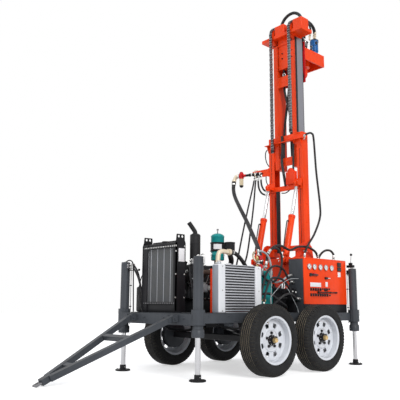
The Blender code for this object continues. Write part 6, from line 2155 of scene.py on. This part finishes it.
@dataclass
class Crown:
    """Top plate with its two sheave housings and the roller chains over them."""

    chain_x: float = 0.14
    width: float = 0.038
    front: float = 0.67
    thickness: float = 0.02
    sheave: float = 0.12
    sheave_z: float = 3.88
    rear_end: float = 3.79
    feet: tuple[float, float] = (2.6, 2.4)
    pitch: float = 0.0318

    def build(self) -> None:
        """Adds caps and bolts to the crown, and lays both chains link by link."""
        self._caps()
        for side, name, foot in ((1, "left", self.feet[0]), (-1, "right", self.feet[1])):
            self._chain(side, name, foot)

    def _caps(self) -> None:
        """Axle caps and bolts of the housings."""
        shape = Shape(ORANGE)
        y = self.front + self.thickness + self.sheave
        for x, way in ((-0.1105, -1), (0.3005, 1)):
            at = Vector((x, y, self.sheave_z))
            shape.lathe([(0.0, 0.0), (0.028, 0.0), (0.028, 0.005), (0.02, 0.008), (0.0, 0.008)], at, (way, 0, 0), 32,
                ZINC)
        shape.bolts([(x, y, 3.865) for x in (-0.28, -0.18, 0.06, 0.14) for y in (0.722, 0.885)], UP, 0.012, ZINC)
        shape.finish("crown_trim", "feed_mast", "orange_paint")

    def _path(self, side: int, foot: float) -> list[tuple[Vector, Vector]]:
        """Link middles and directions along one chain."""
        middle_y = self.front + self.thickness / 2
        radius = self.sheave + self.thickness / 2
        centre_y = self.front + self.thickness + self.sheave
        x = side * self.chain_x
        up = self.sheave_z - foot
        arc = math.pi * radius
        down = self.sheave_z - self.rear_end
        whole = up + arc + down
        count = int(whole / self.pitch)
        found = []
        for number in range(count):
            s = (number + 0.5) * whole / count
            if s < up:
                found.append((Vector((x, middle_y, foot + s)), Vector(UP)))
            elif s < up + arc:
                angle = math.pi - (s - up) / radius
                at = Vector((x, centre_y + radius * math.cos(angle), self.sheave_z + radius * math.sin(angle)))
                found.append((at, Vector((0, math.sin(angle), -math.cos(angle)))))
            else:
                found.append((Vector((x, centre_y + radius, self.sheave_z - (s - up - arc))), Vector((0, 0, -1))))
        return found

    def _chain(self, side: int, name: str, foot: float) -> None:
        """Side plates, rollers and pins of a duplex roller chain."""
        half = self.width / 2 - 0.0006
        outer = Shape(DARK_STEEL)
        inner = Shape(DARK_STEEL)
        outline = round_outline([(-0.0092, -0.024), (0.0092, -0.024), (0.0092, 0.024), (-0.0092, 0.024)], 0.009, 3)
        for form, places in ((outer, (-1.0, -0.04, 0.04, 1.0)), (inner, (-0.8, -0.24, 0.24, 0.8))):
            for share in places:
                form.prism(outline, Plane.YZ, (share * (half - 0.0012), 0, 0), 0.0022, 0.0)
        for z in (-0.0159, 0.0159):
            outer.rod((-half, 0, z), (half, 0, z), 0.0042, STEEL, 10, 0.0004)
            inner.rod((-half * 0.75, 0, z), (-half * 0.28, 0, z), 0.0074, STEEL, 12, 0.0006)
            inner.rod((half * 0.28, 0, z), (half * 0.75, 0, z), 0.0074, STEEL, 12, 0.0006)
        shape = Shape(DARK_STEEL)
        places = ([], [])
        for number, (at, way) in enumerate(self._path(side, foot)):
            turn = Matrix((Vector(LEFT), way.cross(Vector(LEFT)), way)).transposed().to_4x4()
            places[number % 2].append(Matrix.Translation(at) @ turn)
        shape.copies(outer, places[0])
        shape.copies(inner, places[1])
        x, y = side * self.chain_x, self.front + self.thickness / 2
        shape.box((x - 0.0185, y - 0.0095, foot), (x + 0.0185, y + 0.0095, foot + 0.034), 0.002, BLACK)
        shape.box((x - 0.0185, self.front + self.thickness + 2 * self.sheave, self.rear_end),
            (x + 0.0185, self.front + 2 * self.thickness + 2 * self.sheave - 0.001, self.rear_end + 0.03), 0.002,
            BLACK)
        shape.finish(f"feed_chain_{name}_look", "feed_mast", "bare_steel", [f"feed_chain_{name}"])


@dataclass
class DrillHead:
    """The sliding drill head: red carriage, open gearbox, blue motor, spindle."""

    motor_at: tuple[float, float] = (0.07, 1.27)
    motor_radius: float = 0.0515

    def build(self) -> None:
        """Keeps the CAD's gearbox and spindle and adds the motor, the carriage and their trim."""
        dress_node("head_gearbox", ORANGE)
        dress_node("spindle", ORANGE_DEEP)
        self._motor()
        self._trim()

    def _motor(self) -> None:
        """Blue hydraulic motor with end cap, ports and a black connector."""
        low, high = rig_box("head_motor")
        shape = Shape(BLUE)
        (x, y), r = self.motor_at, self.motor_radius
        foot, top = low.z, high.z
        shape.box((x - 0.056, y - 0.056, foot), (x + 0.056, y + 0.056, foot + 0.018), 0.006)
        shape.lathe([(0.0, 0.016), (0.046, 0.016), (0.046, 0.05), (r, 0.054), (r, 0.112), (0.047, 0.116),
            (0.047, 0.122), (r, 0.126), (r, top - foot - 0.02), (0.044, top - foot - 0.012),
            (0.03, top - foot - 0.008), (0.0, top - foot - 0.008)], (x, y, foot), UP, 40)
        shape.bolts(circle_points((x, y, top - 0.013), Plane.XY, 0.036, 6), UP, 0.01, ZINC)
        for z in (foot + 0.07, foot + 0.108):
            shape.rod((x, y - 0.046, z), (x, y - 0.062, z), 0.014, ZINC, 20)
            shape.rod((x, y - 0.06, z), (x, y - 0.072, z), 0.012, BLACK_PLASTIC, 6)
        shape.rod((x, y, top - 0.01), (x, y, top), 0.014, BLACK_PLASTIC, 20)
        shape.box((x + 0.034, y - 0.03, top - 0.08), (x + 0.056, y - 0.002, top - 0.04), 0.003, BLACK_PLASTIC)
        shape.finish("head_motor_look", "drill_head", "blue_paint", ["head_motor"])

    def _trim(self) -> None:
        """The carriage, the bolts on it and on the gearbox, a breather knob and a hand valve."""
        shape = Shape(RED)
        low, high = rig_box("head_carriage")
        shape.box((-0.18, 0.924, low.z), (0.18, high.y, high.z), 0.002)
        for x in (-0.135, 0.135):
            for z in (low.z + 0.02, high.z - 0.12):
                shape.box((x - 0.026, 0.9085, z), (x + 0.026, 0.926, z + 0.1), 0.003, BLACK)
        shape.bolts([(x, 0.936, z) for x in (-0.16, -0.08, 0.08, 0.16) for z in (3.285, 3.42, 3.755)], BACK, 0.014,
            ZINC)
        shape.bolts([(x, y, 3.725) for x in (-0.13, -0.045, 0.13) for y in (0.965, 1.06, 1.335)], UP, 0.012, ZINC)
        for side in (-1, 1):
            shape.bolts([(side * 0.15, y, z) for z in (3.6, 3.7) for y in (0.975, 1.16, 1.34)], (side, 0, 0), 0.01,
                ORANGE)
        shape.rod((-0.04, 1.25, 3.7245), (-0.04, 1.25, 3.76), 0.022, BLACK_PLASTIC, 20, 0.004)
        shape.rod((-0.04, 1.25, 3.758), (-0.04, 1.25, 3.778), 0.015, BLACK_PLASTIC, 12, 0.003)
        # a black hand valve beside the bulkhead
        shape.rod((0.15, 1.01, 3.724), (0.15, 1.01, 3.812), 0.008, BLACK_PLASTIC, 12)
        shape.rod((0.15, 0.985, 3.806), (0.15, 1.035, 3.806), 0.011, BLACK_PLASTIC, 12, 0.003)
        shape.rod((0.15, 1.01, 3.78), (0.172, 1.03, 3.78), 0.007, ZINC, 12)
        shape.finish("head_trim", "drill_head", "red_paint", ["head_carriage"])


@dataclass
class ServiceArm:
    """The arm on the mast's right with the air line lubricator and valves."""

    regulator: tuple[float, float] = (-0.672, 0.705)

    def build(self) -> None:
        """Replaces the CAD arm with a fitted one."""
        low, high = rig_box("service_arm")
        at = Vector((*self.regulator, 0.0))
        shape = Shape(BLACK)
        shape.prism([(-0.2505, 2.236), (-0.514, 2.24), (-0.514, 2.228), (-0.372, 2.214), (-0.352, 2.15),
            (-0.2505, 2.146)], Plane.XZ, (0, 0.742, 0), 0.01, 0.0015, ORANGE)
        shape.box((-0.26, 0.736, 2.14), (-0.2505, 0.83, 2.244), 0.002, ORANGE)
        for height in (2.16, 2.224):
            shape.bolt((-0.26, 0.8, height), RIGHT, 0.011, ZINC)
        # the chain of fittings from the bracket out to the regulator: (x, length, radius, finish)
        for x, length, radius, finish in ((-0.345, 0.3, 0.0095, BLACK), (-0.372, 0.018, 0.017, ZINC),
            (-0.402, 0.026, 0.02, BLACK), (-0.436, 0.018, 0.0165, CHROME), (-0.462, 0.03, 0.0215, BLACK),
            (-0.5, 0.014, 0.016, ZINC), (-0.522, 0.028, 0.0195, BLACK), (-0.56, 0.03, 0.015, BLACK),
            (-0.6, 0.04, 0.0165, RED)):
            start, end = (Vector((px, 0.735 - 0.03 * (-0.345 - px) / 0.3, 2.19 + 0.016 * (-0.345 - px) / 0.3))
                for px in (x, x - length))
            shape.rod(start, end, radius, finish, 6 if finish is ZINC else 20, 0.002)
        for x in (-0.38, -0.42, -0.445, -0.47):
            shape.rod((x, 0.728, 2.18), (x, 0.728, 2.15), 0.0095, BLACK, 6)
        frame_line = [(-0.404, 0.716, 2.238), (-0.456, 0.712, 2.238), (-0.456, 0.712, 2.192), (-0.43, 0.714, 2.15)]
        shape.pipe(frame_line, 0.008, 0.0042, CREAM_CAST, 10)
        # the regulator: red head and knob over an amber bowl with a black foot
        shape.rod((-0.612, 0.708, 2.205), (-0.702, 0.7, 2.21), 0.015, BLACK, 20)
        shape.box(at + Vector((-0.028, -0.026, 2.186)), at + Vector((0.03, 0.026, 2.232)), 0.007, RED)
        shape.lathe([(0.0, 2.228), (0.026, 2.228), (0.026, 2.246), (0.018, 2.252), (0.018, high.z - 0.002),
            (0.0, high.z)], at, UP, 28, RED_PLASTIC)
        shape.lathe([(0.0, 2.078), (0.018, 2.078), (0.0255, 2.088), (0.026, 2.176), (0.0, 2.176)], at, UP, 28, BOWL)
        shape.lathe([(0.0, 2.08), (0.012, 2.08), (0.014, 2.17), (0.0, 2.172)], at, UP, 20, CREAM_CAST)
        shape.lathe([(0.0, 2.17), (0.0285, 2.17), (0.0285, 2.188), (0.0, 2.188)], at, UP, 28, RED)
        shape.lathe([(0.0, low.z), (0.01, low.z), (0.022, low.z + 0.01), (0.0262, low.z + 0.026),
            (0.0, low.z + 0.028)], at, UP, 24, BLACK_PLASTIC)
        shape.finish("service_arm_look", "mast", "red_paint", ["service_arm"])


# Hoses, pipes and valves


class Ends(Enum):
    """Which ends of a hose show a fitting."""

    BOTH = (True, True)
    FIRST = (True, False)
    LAST = (False, True)
    NONE = (False, False)


@dataclass(frozen=True)
class HoseRun:
    """One hose: its radius, its finish, its fittings and the points that it passes through."""

    radius: float
    finish: Finish
    ends: Ends
    route: tuple[tuple[float, float, float], ...]


DECK_HOSES = (
    # a pale sleeve and a black loop between the ball valves and the cabinet
    HoseRun(0.0105, GREY_HOSE, Ends.BOTH, (
        (0.345, -0.125, 1.118), (0.344, -0.12, 1.15), (0.342, -0.069, 1.158), (0.34, 0.01, 1.13),
        (0.34, 0.052, 1.072), (0.34, 0.073, 0.991), (0.34, 0.073, 0.905), (0.34, 0.128, 0.858),
        (0.34, 0.234, 0.876), (0.345, 0.327, 0.925), (0.35, 0.392, 0.94))),
    HoseRun(0.0125, HOSE, Ends.LAST, (
        (0.33, -0.1, 1.03), (0.345, -0.086, 1.0), (0.345, -0.052, 0.909), (0.345, 0.026, 0.865),
        (0.345, 0.114, 0.867), (0.34, 0.205, 0.948), (0.335, 0.246, 1.058), (0.33, 0.242, 1.15),
        (0.322, 0.182, 1.205), (0.316, 0.106, 1.187), (0.312, 0.05, 1.12), (0.315, 0.02, 1.0))),
    # black arch over to the cabinet's lid
    HoseRun(0.0125, HOSE, Ends.BOTH, (
        (0.325, 0.04, 1.14), (0.32, 0.11, 1.2), (0.31, 0.2, 1.236), (0.306, 0.3, 1.236),
        (0.306, 0.42, 1.205), (0.312, 0.54, 1.245), (0.325, 0.69, 1.255), (0.342, 0.8, 1.215),
        (0.352, 0.835, 1.16), (0.354, 0.84, 1.121))),
    HoseRun(0.011, HOSE, Ends.BOTH, (
        (0.43, -0.16, 0.6), (0.44, -0.13, 0.74), (0.425, -0.05, 0.86), (0.405, 0.06, 0.9),
        (0.4, 0.18, 0.88), (0.41, 0.27, 0.8), (0.42, 0.33, 0.7), (0.42, 0.392, 0.69))),
    HoseRun(0.011, HOSE, Ends.BOTH, (
        (0.4, -0.17, 0.62), (0.395, -0.12, 0.8), (0.375, -0.02, 0.96), (0.362, 0.11, 1.02),
        (0.36, 0.24, 0.99), (0.362, 0.33, 0.88), (0.37, 0.392, 0.86))),
    HoseRun(0.0125, HOSE, Ends.BOTH, (
        (0.33, 0.0, 0.58), (0.4, 0.04, 0.64), (0.45, 0.13, 0.72), (0.455, 0.23, 0.74),
        (0.45, 0.33, 0.7), (0.45, 0.393, 0.69))),
    HoseRun(0.0125, HOSE, Ends.BOTH, (
        (0.24, -0.16, 0.6), (0.3, -0.12, 0.7), (0.385, -0.02, 0.74), (0.43, 0.1, 0.66),
        (0.4, 0.22, 0.62), (0.33, 0.3, 0.59), (0.22, 0.35, 0.58))),
    HoseRun(0.009, HOSE, Ends.BOTH, (
        (0.3, -0.2, 0.64), (0.34, -0.18, 0.8), (0.312, 0.0, 0.83), (0.33, 0.15, 0.8),
        (0.35, 0.3, 0.78), (0.4, 0.393, 0.76))),
    # black arch over the cabinet's rear
    HoseRun(0.012, HOSE, Ends.BOTH, (
        (0.4, 1.06, 1.121), (0.398, 1.07, 1.19), (0.38, 1.03, 1.235), (0.35, 0.96, 1.225),
        (0.31, 0.915, 1.15), (0.29, 0.905, 1.0), (0.285, 0.905, 0.8), (0.29, 0.905, 0.64))),
    # thin pale cables among the hoses
    HoseRun(0.0032, GREY_HOSE, Ends.NONE, (
        (0.42, -0.034, 0.62), (0.425, -0.034, 0.703), (0.422, 0.06, 0.78), (0.42, 0.143, 0.84),
        (0.425, 0.26, 0.89), (0.43, 0.392, 0.9))),
    HoseRun(0.0032, GREY_HOSE, Ends.NONE, (
        (0.432, -0.06, 0.556), (0.432, -0.04, 0.64), (0.42, -0.027, 0.703), (0.39, 0.012, 0.864),
        (0.372, -0.01, 0.96), (0.35, -0.09, 1.01))),
    HoseRun(0.0032, GREY_HOSE, Ends.NONE, (
        (0.4, 0.19, 0.82), (0.425, 0.231, 0.784), (0.44, 0.304, 0.669), (0.44, 0.355, 0.6),
        (0.44, 0.37, 0.556))),
    # engine fuel and return lines
    HoseRun(0.007, HOSE, Ends.BOTH, (
        (-0.28, -0.64, 0.88), (-0.3, -0.56, 0.94), (-0.29, -0.42, 0.98), (-0.3, -0.28, 0.94),
        (-0.36, -0.18, 0.92), (-0.42, -0.06, 0.968))),
    HoseRun(0.013, HOSE, Ends.BOTH, (
        (-0.35, -0.3, 0.62), (-0.31, -0.24, 0.6), (-0.2, -0.18, 0.6), (-0.06, -0.16, 0.64),
        (0.06, -0.12, 0.66), (0.09, -0.06, 0.7))),
    HoseRun(0.005, HOSE, Ends.NONE, (
        (-0.352, -1.03, 0.9), (-0.362, -1.04, 0.851), (-0.378, -1.045, 0.769), (-0.374, -1.045, 0.687),
        (-0.345, -1.04, 0.6), (-0.33, -1.03, 0.558))),
)

JACK_HOSE = (
    # (way in from the jack's axis, way along the rig from it, height); both pairs of a jack's hoses
    ((0.084, 0.0, 1.008), (0.116, 0.015, 1.0), (0.136, 0.055, 0.92), (0.141, 0.095, 0.76),
     (0.146, 0.135, 0.64), (0.156, 0.175, 0.59)),
    ((0.084, 0.0, 0.984), (0.121, 0.01, 0.97), (0.151, 0.045, 0.88), (0.164, 0.085, 0.74),
     (0.171, 0.125, 0.63), (0.186, 0.165, 0.59)),
)

MAST_HOSES = (
    # two thick hoses down inside the lower mast to the feed gear box, and a black guide tube
    HoseRun(0.016, HOSE, Ends.NONE, (
        (-0.034, 0.733, 2.59), (-0.03, 0.733, 2.5), (-0.029, 0.733, 2.42), (-0.044, 0.733, 2.29),
        (-0.022, 0.733, 2.15), (0.006, 0.732, 2.0), (0.008, 0.732, 1.985))),
    HoseRun(0.012, HOSE, Ends.NONE, (
        (0.13, 0.736, 2.47), (0.127, 0.736, 2.39), (0.124, 0.736, 2.26), (0.12, 0.736, 2.145), (0.118, 0.73, 2.1))),
    HoseRun(0.0225, BLACK, Ends.NONE, (
        (-0.104, 0.728, 1.93), (-0.104, 0.728, 1.7), (-0.104, 0.728, 1.45), (-0.104, 0.728, 1.215))),
    HoseRun(0.006, HOSE, Ends.NONE, (
        (-0.06, 0.742, 1.912), (-0.01, 0.738, 1.905), (0.03, 0.738, 1.915), (0.064, 0.74, 1.935))),
    # loops from the arm's valves into the mast's right leg
    HoseRun(0.011, HOSE, Ends.BOTH, (
        (-0.42, 0.735, 2.168), (-0.418, 0.733, 2.1), (-0.405, 0.73, 2.02), (-0.365, 0.73, 1.955),
        (-0.31, 0.738, 1.925), (-0.256, 0.756, 1.922))),
    HoseRun(0.011, HOSE, Ends.BOTH, (
        (-0.38, 0.742, 2.172), (-0.378, 0.74, 2.11), (-0.366, 0.738, 2.045), (-0.335, 0.74, 1.99),
        (-0.298, 0.75, 1.968), (-0.256, 0.77, 1.962))),
    HoseRun(0.006, HOSE, Ends.NONE, (
        (-0.3, 0.744, 2.16), (-0.296, 0.74, 2.1), (-0.28, 0.744, 2.05), (-0.256, 0.76, 2.02))),
    HoseRun(0.006, HOSE, Ends.NONE, (
        (-0.27, 0.738, 2.47), (-0.284, 0.726, 2.44), (-0.288, 0.724, 2.377), (-0.274, 0.73, 2.31),
        (-0.254, 0.748, 2.262))),
)

FEED_HOSES = (
    # two hoses and a cable down inside the upper mast
    HoseRun(0.014, HOSE, Ends.NONE, (
        (-0.045, 0.805, 3.438), (-0.047, 0.805, 3.3), (-0.043, 0.805, 3.19), (-0.018, 0.805, 3.068),
        (0.022, 0.805, 2.914), (0.04, 0.805, 2.788), (0.046, 0.805, 2.64), (0.048, 0.805, 2.48),
        (0.052, 0.805, 2.345))),
    HoseRun(0.014, HOSE, Ends.NONE, (
        (0.02, 0.808, 3.438), (0.024, 0.808, 3.33), (0.02, 0.812, 3.2), (-0.004, 0.82, 3.06),
        (-0.036, 0.824, 2.9), (-0.056, 0.82, 2.76), (-0.066, 0.812, 2.6), (-0.07, 0.808, 2.45),
        (-0.072, 0.805, 2.345))),
    HoseRun(0.009, HOSE, Ends.NONE, (
        (0.078, 0.8, 3.268), (0.079, 0.8, 3.1), (0.078, 0.8, 2.9), (0.074, 0.8, 2.7),
        (0.072, 0.8, 2.5), (0.074, 0.8, 2.345))),
)

AIR_HOSE = (
    # the cast elbow at the arm's tip, then the hose down to the separator's lid
    (-0.7, 0.7, 2.21), (-0.738, 0.688, 2.206), (-0.76, 0.672, 2.168), (-0.761, 0.663, 2.13),
    (-0.745, 0.638, 2.04), (-0.682, 0.6, 1.931), (-0.502, 0.5, 1.761), (-0.296, 0.4, 1.563),
    (-0.053, 0.25, 1.348), (0.11, 0.13, 1.23), (0.19, 0.075, 1.13), (0.215, 0.06, 1.04),
    (0.215, 0.06, 1.01))
COOLER_ELBOW = ((0.35, -0.684, 0.96), (0.35, -0.684, 1.04), (0.35, -0.674, 1.096), (0.35, -0.64, 1.118),
    (0.35, -0.58, 1.119), (0.35, -0.54, 1.118))
COOLER_HOSE = ((0.35, -0.56, 1.118), (0.35, -0.46, 1.112), (0.345, -0.37, 1.06), (0.333, -0.29, 0.99),
    (0.3, -0.2, 0.9), (0.22, -0.105, 0.84), (0.12, -0.055, 0.83), (0.061, -0.055, 0.83))
SIDE_HOSE = ((0.256, 0.76, 2.505), (0.29, 0.745, 2.535), (0.326, 0.768, 2.558), (0.335, 0.815, 2.562),
    (0.335, 0.848, 2.505), (0.333, 0.882, 2.13), (0.33, 0.939, 1.746), (0.33, 0.926, 1.59), (0.336, 0.812, 1.408),
    (0.346, 0.69, 1.285), (0.356, 0.611, 1.19), (0.36, 0.59, 1.121))
ARM_HOSES = (((-0.47, 0.722, 2.165), (-0.47, 0.7, 2.06), (-0.42, 0.56, 1.78), (-0.3, 0.33, 1.42), (-0.2, 0.16, 1.17),
    (-0.15, 0.07, 1.03), (-0.142, 0.05, 0.965)),
    ((-0.442, 0.722, 2.165), (-0.44, 0.704, 2.06), (-0.37, 0.59, 1.76), (-0.23, 0.38, 1.42), (-0.11, 0.2, 1.17),
    (-0.06, 0.09, 1.03), (-0.052, 0.06, 0.965)))
CROWN_HOSE = ((-0.058, 0.8, 3.992), (-0.056, 0.8, 4.04), (-0.008, 0.8, 4.095), (0.057, 0.8, 4.122),
    (0.128, 0.8, 4.12), (0.19, 0.8, 4.085), (0.226, 0.8, 4.04), (0.236, 0.8, 4.008))
HEAD_HOSES = (
    # (sideways move, drop) of each hose between the bulkhead and the motor
    ((0.0, 0.0), (0.12, 0.985, 3.784), (0.12, 0.982, 3.92), (0.118, 0.98, 4.01),
     (0.114, 1.01, 4.085), (0.104, 1.088, 4.128), (0.096, 1.185, 4.127), (0.088, 1.258, 4.09),
     (0.08, 1.288, 4.04), (0.076, 1.29, 3.995)),
    ((0.026, 0.004), (0.12, 0.985, 3.784), (0.12, 0.982, 3.92), (0.118, 0.984, 4.0),
     (0.112, 1.024, 4.075), (0.096, 1.11, 4.098), (0.072, 1.186, 4.07), (0.05, 1.216, 4.02),
     (0.036, 1.222, 3.98)),
    ((0.013, -0.01), (0.12, 0.985, 3.784), (0.12, 0.982, 3.92), (0.118, 0.982, 4.008),
     (0.112, 1.014, 4.076), (0.096, 1.095, 4.106), (0.08, 1.195, 4.104), (0.068, 1.262, 4.062),
     (0.06, 1.284, 4.01), (0.058, 1.286, 3.98)),
)


def run_hoses(name: str, body: str, runs: Sequence[HoseRun]) -> None:
    """Makes one piece from several hoses that ride on one body.

    Args:
        name: the piece's name.
        body: the frame's body.
        runs: the hoses.
    """
    shape = Shape(HOSE)
    for run in runs:
        shape.hose(run.route, run.radius, run.finish, run.ends.value)
    shape.finish(name, body, "hose_rubber")


@dataclass
class Plumbing:
    """All hoses, the cooler's elbow and the valves between cooler and cabinet."""

    valve_x: float = 0.345
    valve_y: float = -0.125
    air_radius: float = 0.0225
    cooler_radius: float = 0.019
    head_radius: float = 0.0115
    slices: int = 7

    def build(self) -> None:
        """Makes them all."""
        run_hoses("deck_hoses", "chassis", DECK_HOSES + self._jack_runs())
        run_hoses("mast_hoses", "mast", MAST_HOSES)
        run_hoses("upper_mast_hoses", "feed_mast", FEED_HOSES)
        run_hoses("crown_hose_look", "feed_mast", [HoseRun(0.0185, HOSE, Ends.NONE, CROWN_HOSE)])
        self._cooler_pipe()
        self._valves()
        self._air_hose()
        self._head_hoses()
        shape = Shape(HOSE)
        shape.hose(SIDE_HOSE, 0.0115)
        across_joint(shape, "side_hose_look",
            "hose_rubber")
        shape = Shape(HOSE)
        for route in ARM_HOSES:
            shape.hose(route, 0.0095)
        across_joint(shape, "arm_hoses_look",
            "hose_rubber")

    @staticmethod
    def _jack_runs() -> tuple[HoseRun, ...]:
        """Two hoses from each jack's valve down to the deck."""
        runs = []
        for corner in Corner:
            side, end = corner.value
            jack = Jack(corner)
            start = jack.front_y if end < 0 else jack.rear_y
            for points in JACK_HOSE:
                route = tuple((side * (jack.x - x), start - end * y, z) for x, y, z in points)
                runs.append(HoseRun(0.0085, HOSE, Ends.BOTH, route))
        return tuple(runs)

    def _cooler_pipe(self) -> None:
        """Cast elbow from the cooler's back to its hose, with clamps, and the hose to the compressor."""
        shape = Shape(CREAM_CAST)
        shape.pipe(COOLER_ELBOW, 0.006, 0.0215, None, 24)
        for at, way in (((0.35, -0.684, 0.955), UP), ((0.35, -0.552, 1.1185), BACK)):
            shape.lathe([(0.0, 0.0), (0.03, 0.0), (0.03, 0.026), (0.0215, 0.03), (0.0, 0.03)], at, way, 28)
        shape.rod((0.35, -0.684, 1.0), (0.35, -0.684, 1.016), 0.027, ZINC, 6)
        points = catmull(COOLER_HOSE, HOSE_STEP)
        shape.sweep(points, self.cooler_radius, HOSE, 18)
        for index, way in ((5, 1), (-6, -1)):
            shape.lathe([(0.0185, 0.0), (0.0225, 0.0), (0.0225, 0.014), (0.0185, 0.014)], points[index],
                points[index + way] - points[index], 32, ZINC)
        shape.rod((0.35, -0.684, 0.7), (0.35, -0.684, 0.96), 0.018, BLACK, 20)
        # a red filter head with a pale lid beside the elbow
        shape.box((0.29, -0.545, 0.905), (0.346, -0.475, 0.99), 0.006, RED)
        shape.lathe([(0.0, 0.0), (0.022, 0.0), (0.024, 0.004), (0.024, 0.02), (0.018, 0.026), (0.0, 0.026)],
            (0.318, -0.51, 0.989), UP, 28, PALE_TANK)
        shape.rod((0.318, -0.51, 0.556), (0.318, -0.51, 0.906), 0.012, BLACK, 16)
        shape.finish("cooler_pipe_look", "chassis", "aluminium")

    def _valves(self) -> None:
        """A manifold on a post with two ball valves, red handles over pale bodies."""
        x, y = self.valve_x, self.valve_y
        shape = Shape(ZINC)
        shape.box((x - 0.012, y - 0.02, 0.556), (x + 0.012, y + 0.02, 0.925), 0.003, FRAME_GREY)
        shape.box((x - 0.03, y - 0.04, 0.915), (x + 0.025, y + 0.05, 0.965), 0.004, DARK_STEEL)
        shape.rod((x, y, 0.96), (x, y, 1.122), 0.0125, DARK_STEEL, 20)
        for z in (1.0, 1.085):
            shape.rod((x, y, z - 0.026), (x, y, z + 0.026), 0.021, BRASS, 8, 0.003)
            shape.rod((x, y, z - 0.036), (x, y, z - 0.022), 0.018, None, 6)
            shape.rod((x, y, z + 0.022), (x, y, z + 0.036), 0.018, None, 6)
            shape.rod((x + 0.018, y - 0.006, z), (x + 0.036, y - 0.01, z), 0.008, None, 12)
            shape.lathe([(0.0, 0.0), (0.021, 0.0), (0.024, 0.004), (0.024, 0.014), (0.019, 0.019), (0.0, 0.02)],
                (x + 0.034, y - 0.01, z), (1, -0.2, 0), 24, RED_PLASTIC)
            shape.beam((x + 0.044, y - 0.012, z), (x + 0.05, y - 0.07, z + 0.022), 0.006, 0.018, 0.0025, RED_PLASTIC,
                LEFT)
        for offset in (0.02, -0.024):
            shape.rod((x + offset, y + 0.03, 0.96), (x + offset, y + 0.03, 0.985), 0.01, None, 6)
        shape.pipe([(x - 0.014, y, 1.045), (x - 0.04, y - 0.012, 1.075), (x - 0.05, y - 0.02, 1.12),
            (x - 0.03, y - 0.02, 1.15)], 0.008, 0.011, CREAM_CAST, 14)
        # a bank of black valve slices on the deck behind the hoses
        for number in range(self.slices):
            y, top = 0.165 + 0.03 * number, 0.8 - 0.012 * (number % 2)
            shape.box((-0.06, y, 0.556), (0.29, y + 0.026, top), 0.004, BLACK)
            shape.bolts([(bolt_x, y + 0.013, top) for bolt_x in (0.03, 0.2)], UP, 0.012, ZINC)
            shape.rod((0.288, y + 0.013, 0.7), (0.306, y + 0.013, 0.7), 0.011, DARK_STEEL, 6)
        shape.box((0.29, 0.356, 0.556), (0.4, 0.392, 0.8), 0.003, BLACK)
        shape.finish("deck_valves", "chassis", "bare_steel")

    def _air_hose(self) -> None:
        """The big air hose from the arm's tip down to the separator."""
        shape = Shape(HOSE)
        points = catmull(AIR_HOSE, HOSE_STEP)
        shape.sweep(points[8:], self.air_radius, HOSE, 20)
        shape.sweep(points[:10], self.air_radius, CREAM_CAST, 20)
        for index, finish in ((0, ZINC), (3, CREAM_CAST), (8, CREAM_CAST), (10, BLACK_PLASTIC), (12, ZINC),
            (-7, ZINC)):
            way = (points[index + 1] - points[index]).normalized()
            shape.lathe([(0.0215, 0.0), (0.0275, 0.0), (0.0275, 0.016), (0.0215, 0.016)], points[index], way, 32,
                finish)
        shape.rod((0.215, 0.06, 0.984), (0.215, 0.06, 1.03), 0.029, ZINC, 6)
        across_joint(shape, "air_hose_look", "hose_rubber")

    def _head_hoses(self) -> None:
        """Three hoses that loop from the carriage over to the motor, with cream fittings."""
        shape = Shape(HOSE)
        for (offset, drop), *route in HEAD_HOSES:
            moved = [(x + offset * (1 - number / len(route)), y, z - drop) for number, (x, y, z) in enumerate(route)]
            shape.hose(moved, self.head_radius, HOSE, Ends.FIRST.value)
            shape.fitting(moved[-1], Vector(moved[-2]) - Vector(moved[-1]), self.head_radius, CREAM_CAST)
            shape.rod((moved[-1][0], moved[-1][1], 3.935), moved[-1], 0.012, CREAM_CAST, 8, 0.001)
        shape.box((0.095, 0.937, 3.735), (0.17, 1.004, 3.785), 0.003, DARK_STEEL)
        shape.box((0.04, 1.235, 3.9), (0.112, 1.312, 3.945), 0.006, BLACK_PLASTIC)
        shape.finish("head_hoses_look", "drill_head", "hose_rubber")


def main() -> None:
    """Builds the whole rig and its studio."""
    logging.basicConfig(level=logging.INFO, format="%(name)s %(message)s")
    for corner in Corner:
        Wheel(corner).build()
        Jack(corner).build()
    builders = (Chassis(), Drawbar(), Radiator(), Engine(), Muffler(), AirCleaner(), Cooler(), CoolerScreen(),
        Compressor(), Tank("hydraulic_tank", ORANGE_DEEP, (0.5, 0.3), "orange_paint"),
        Tank("fuel_tank", BLACK, (0.5, 0.75), "black_paint"),
        Tank("battery_box", BLACK_PLASTIC, (0.5, 0.5), "black_paint"), Cabinet(), Tower(), TiltCylinders(),
        OuterMast(), InnerMast(), Crown(), DrillHead(), ServiceArm(), Plumbing())
    for builder in builders:
        builder.build()
    Studio().build()


if __name__ == "__main__":
    main()
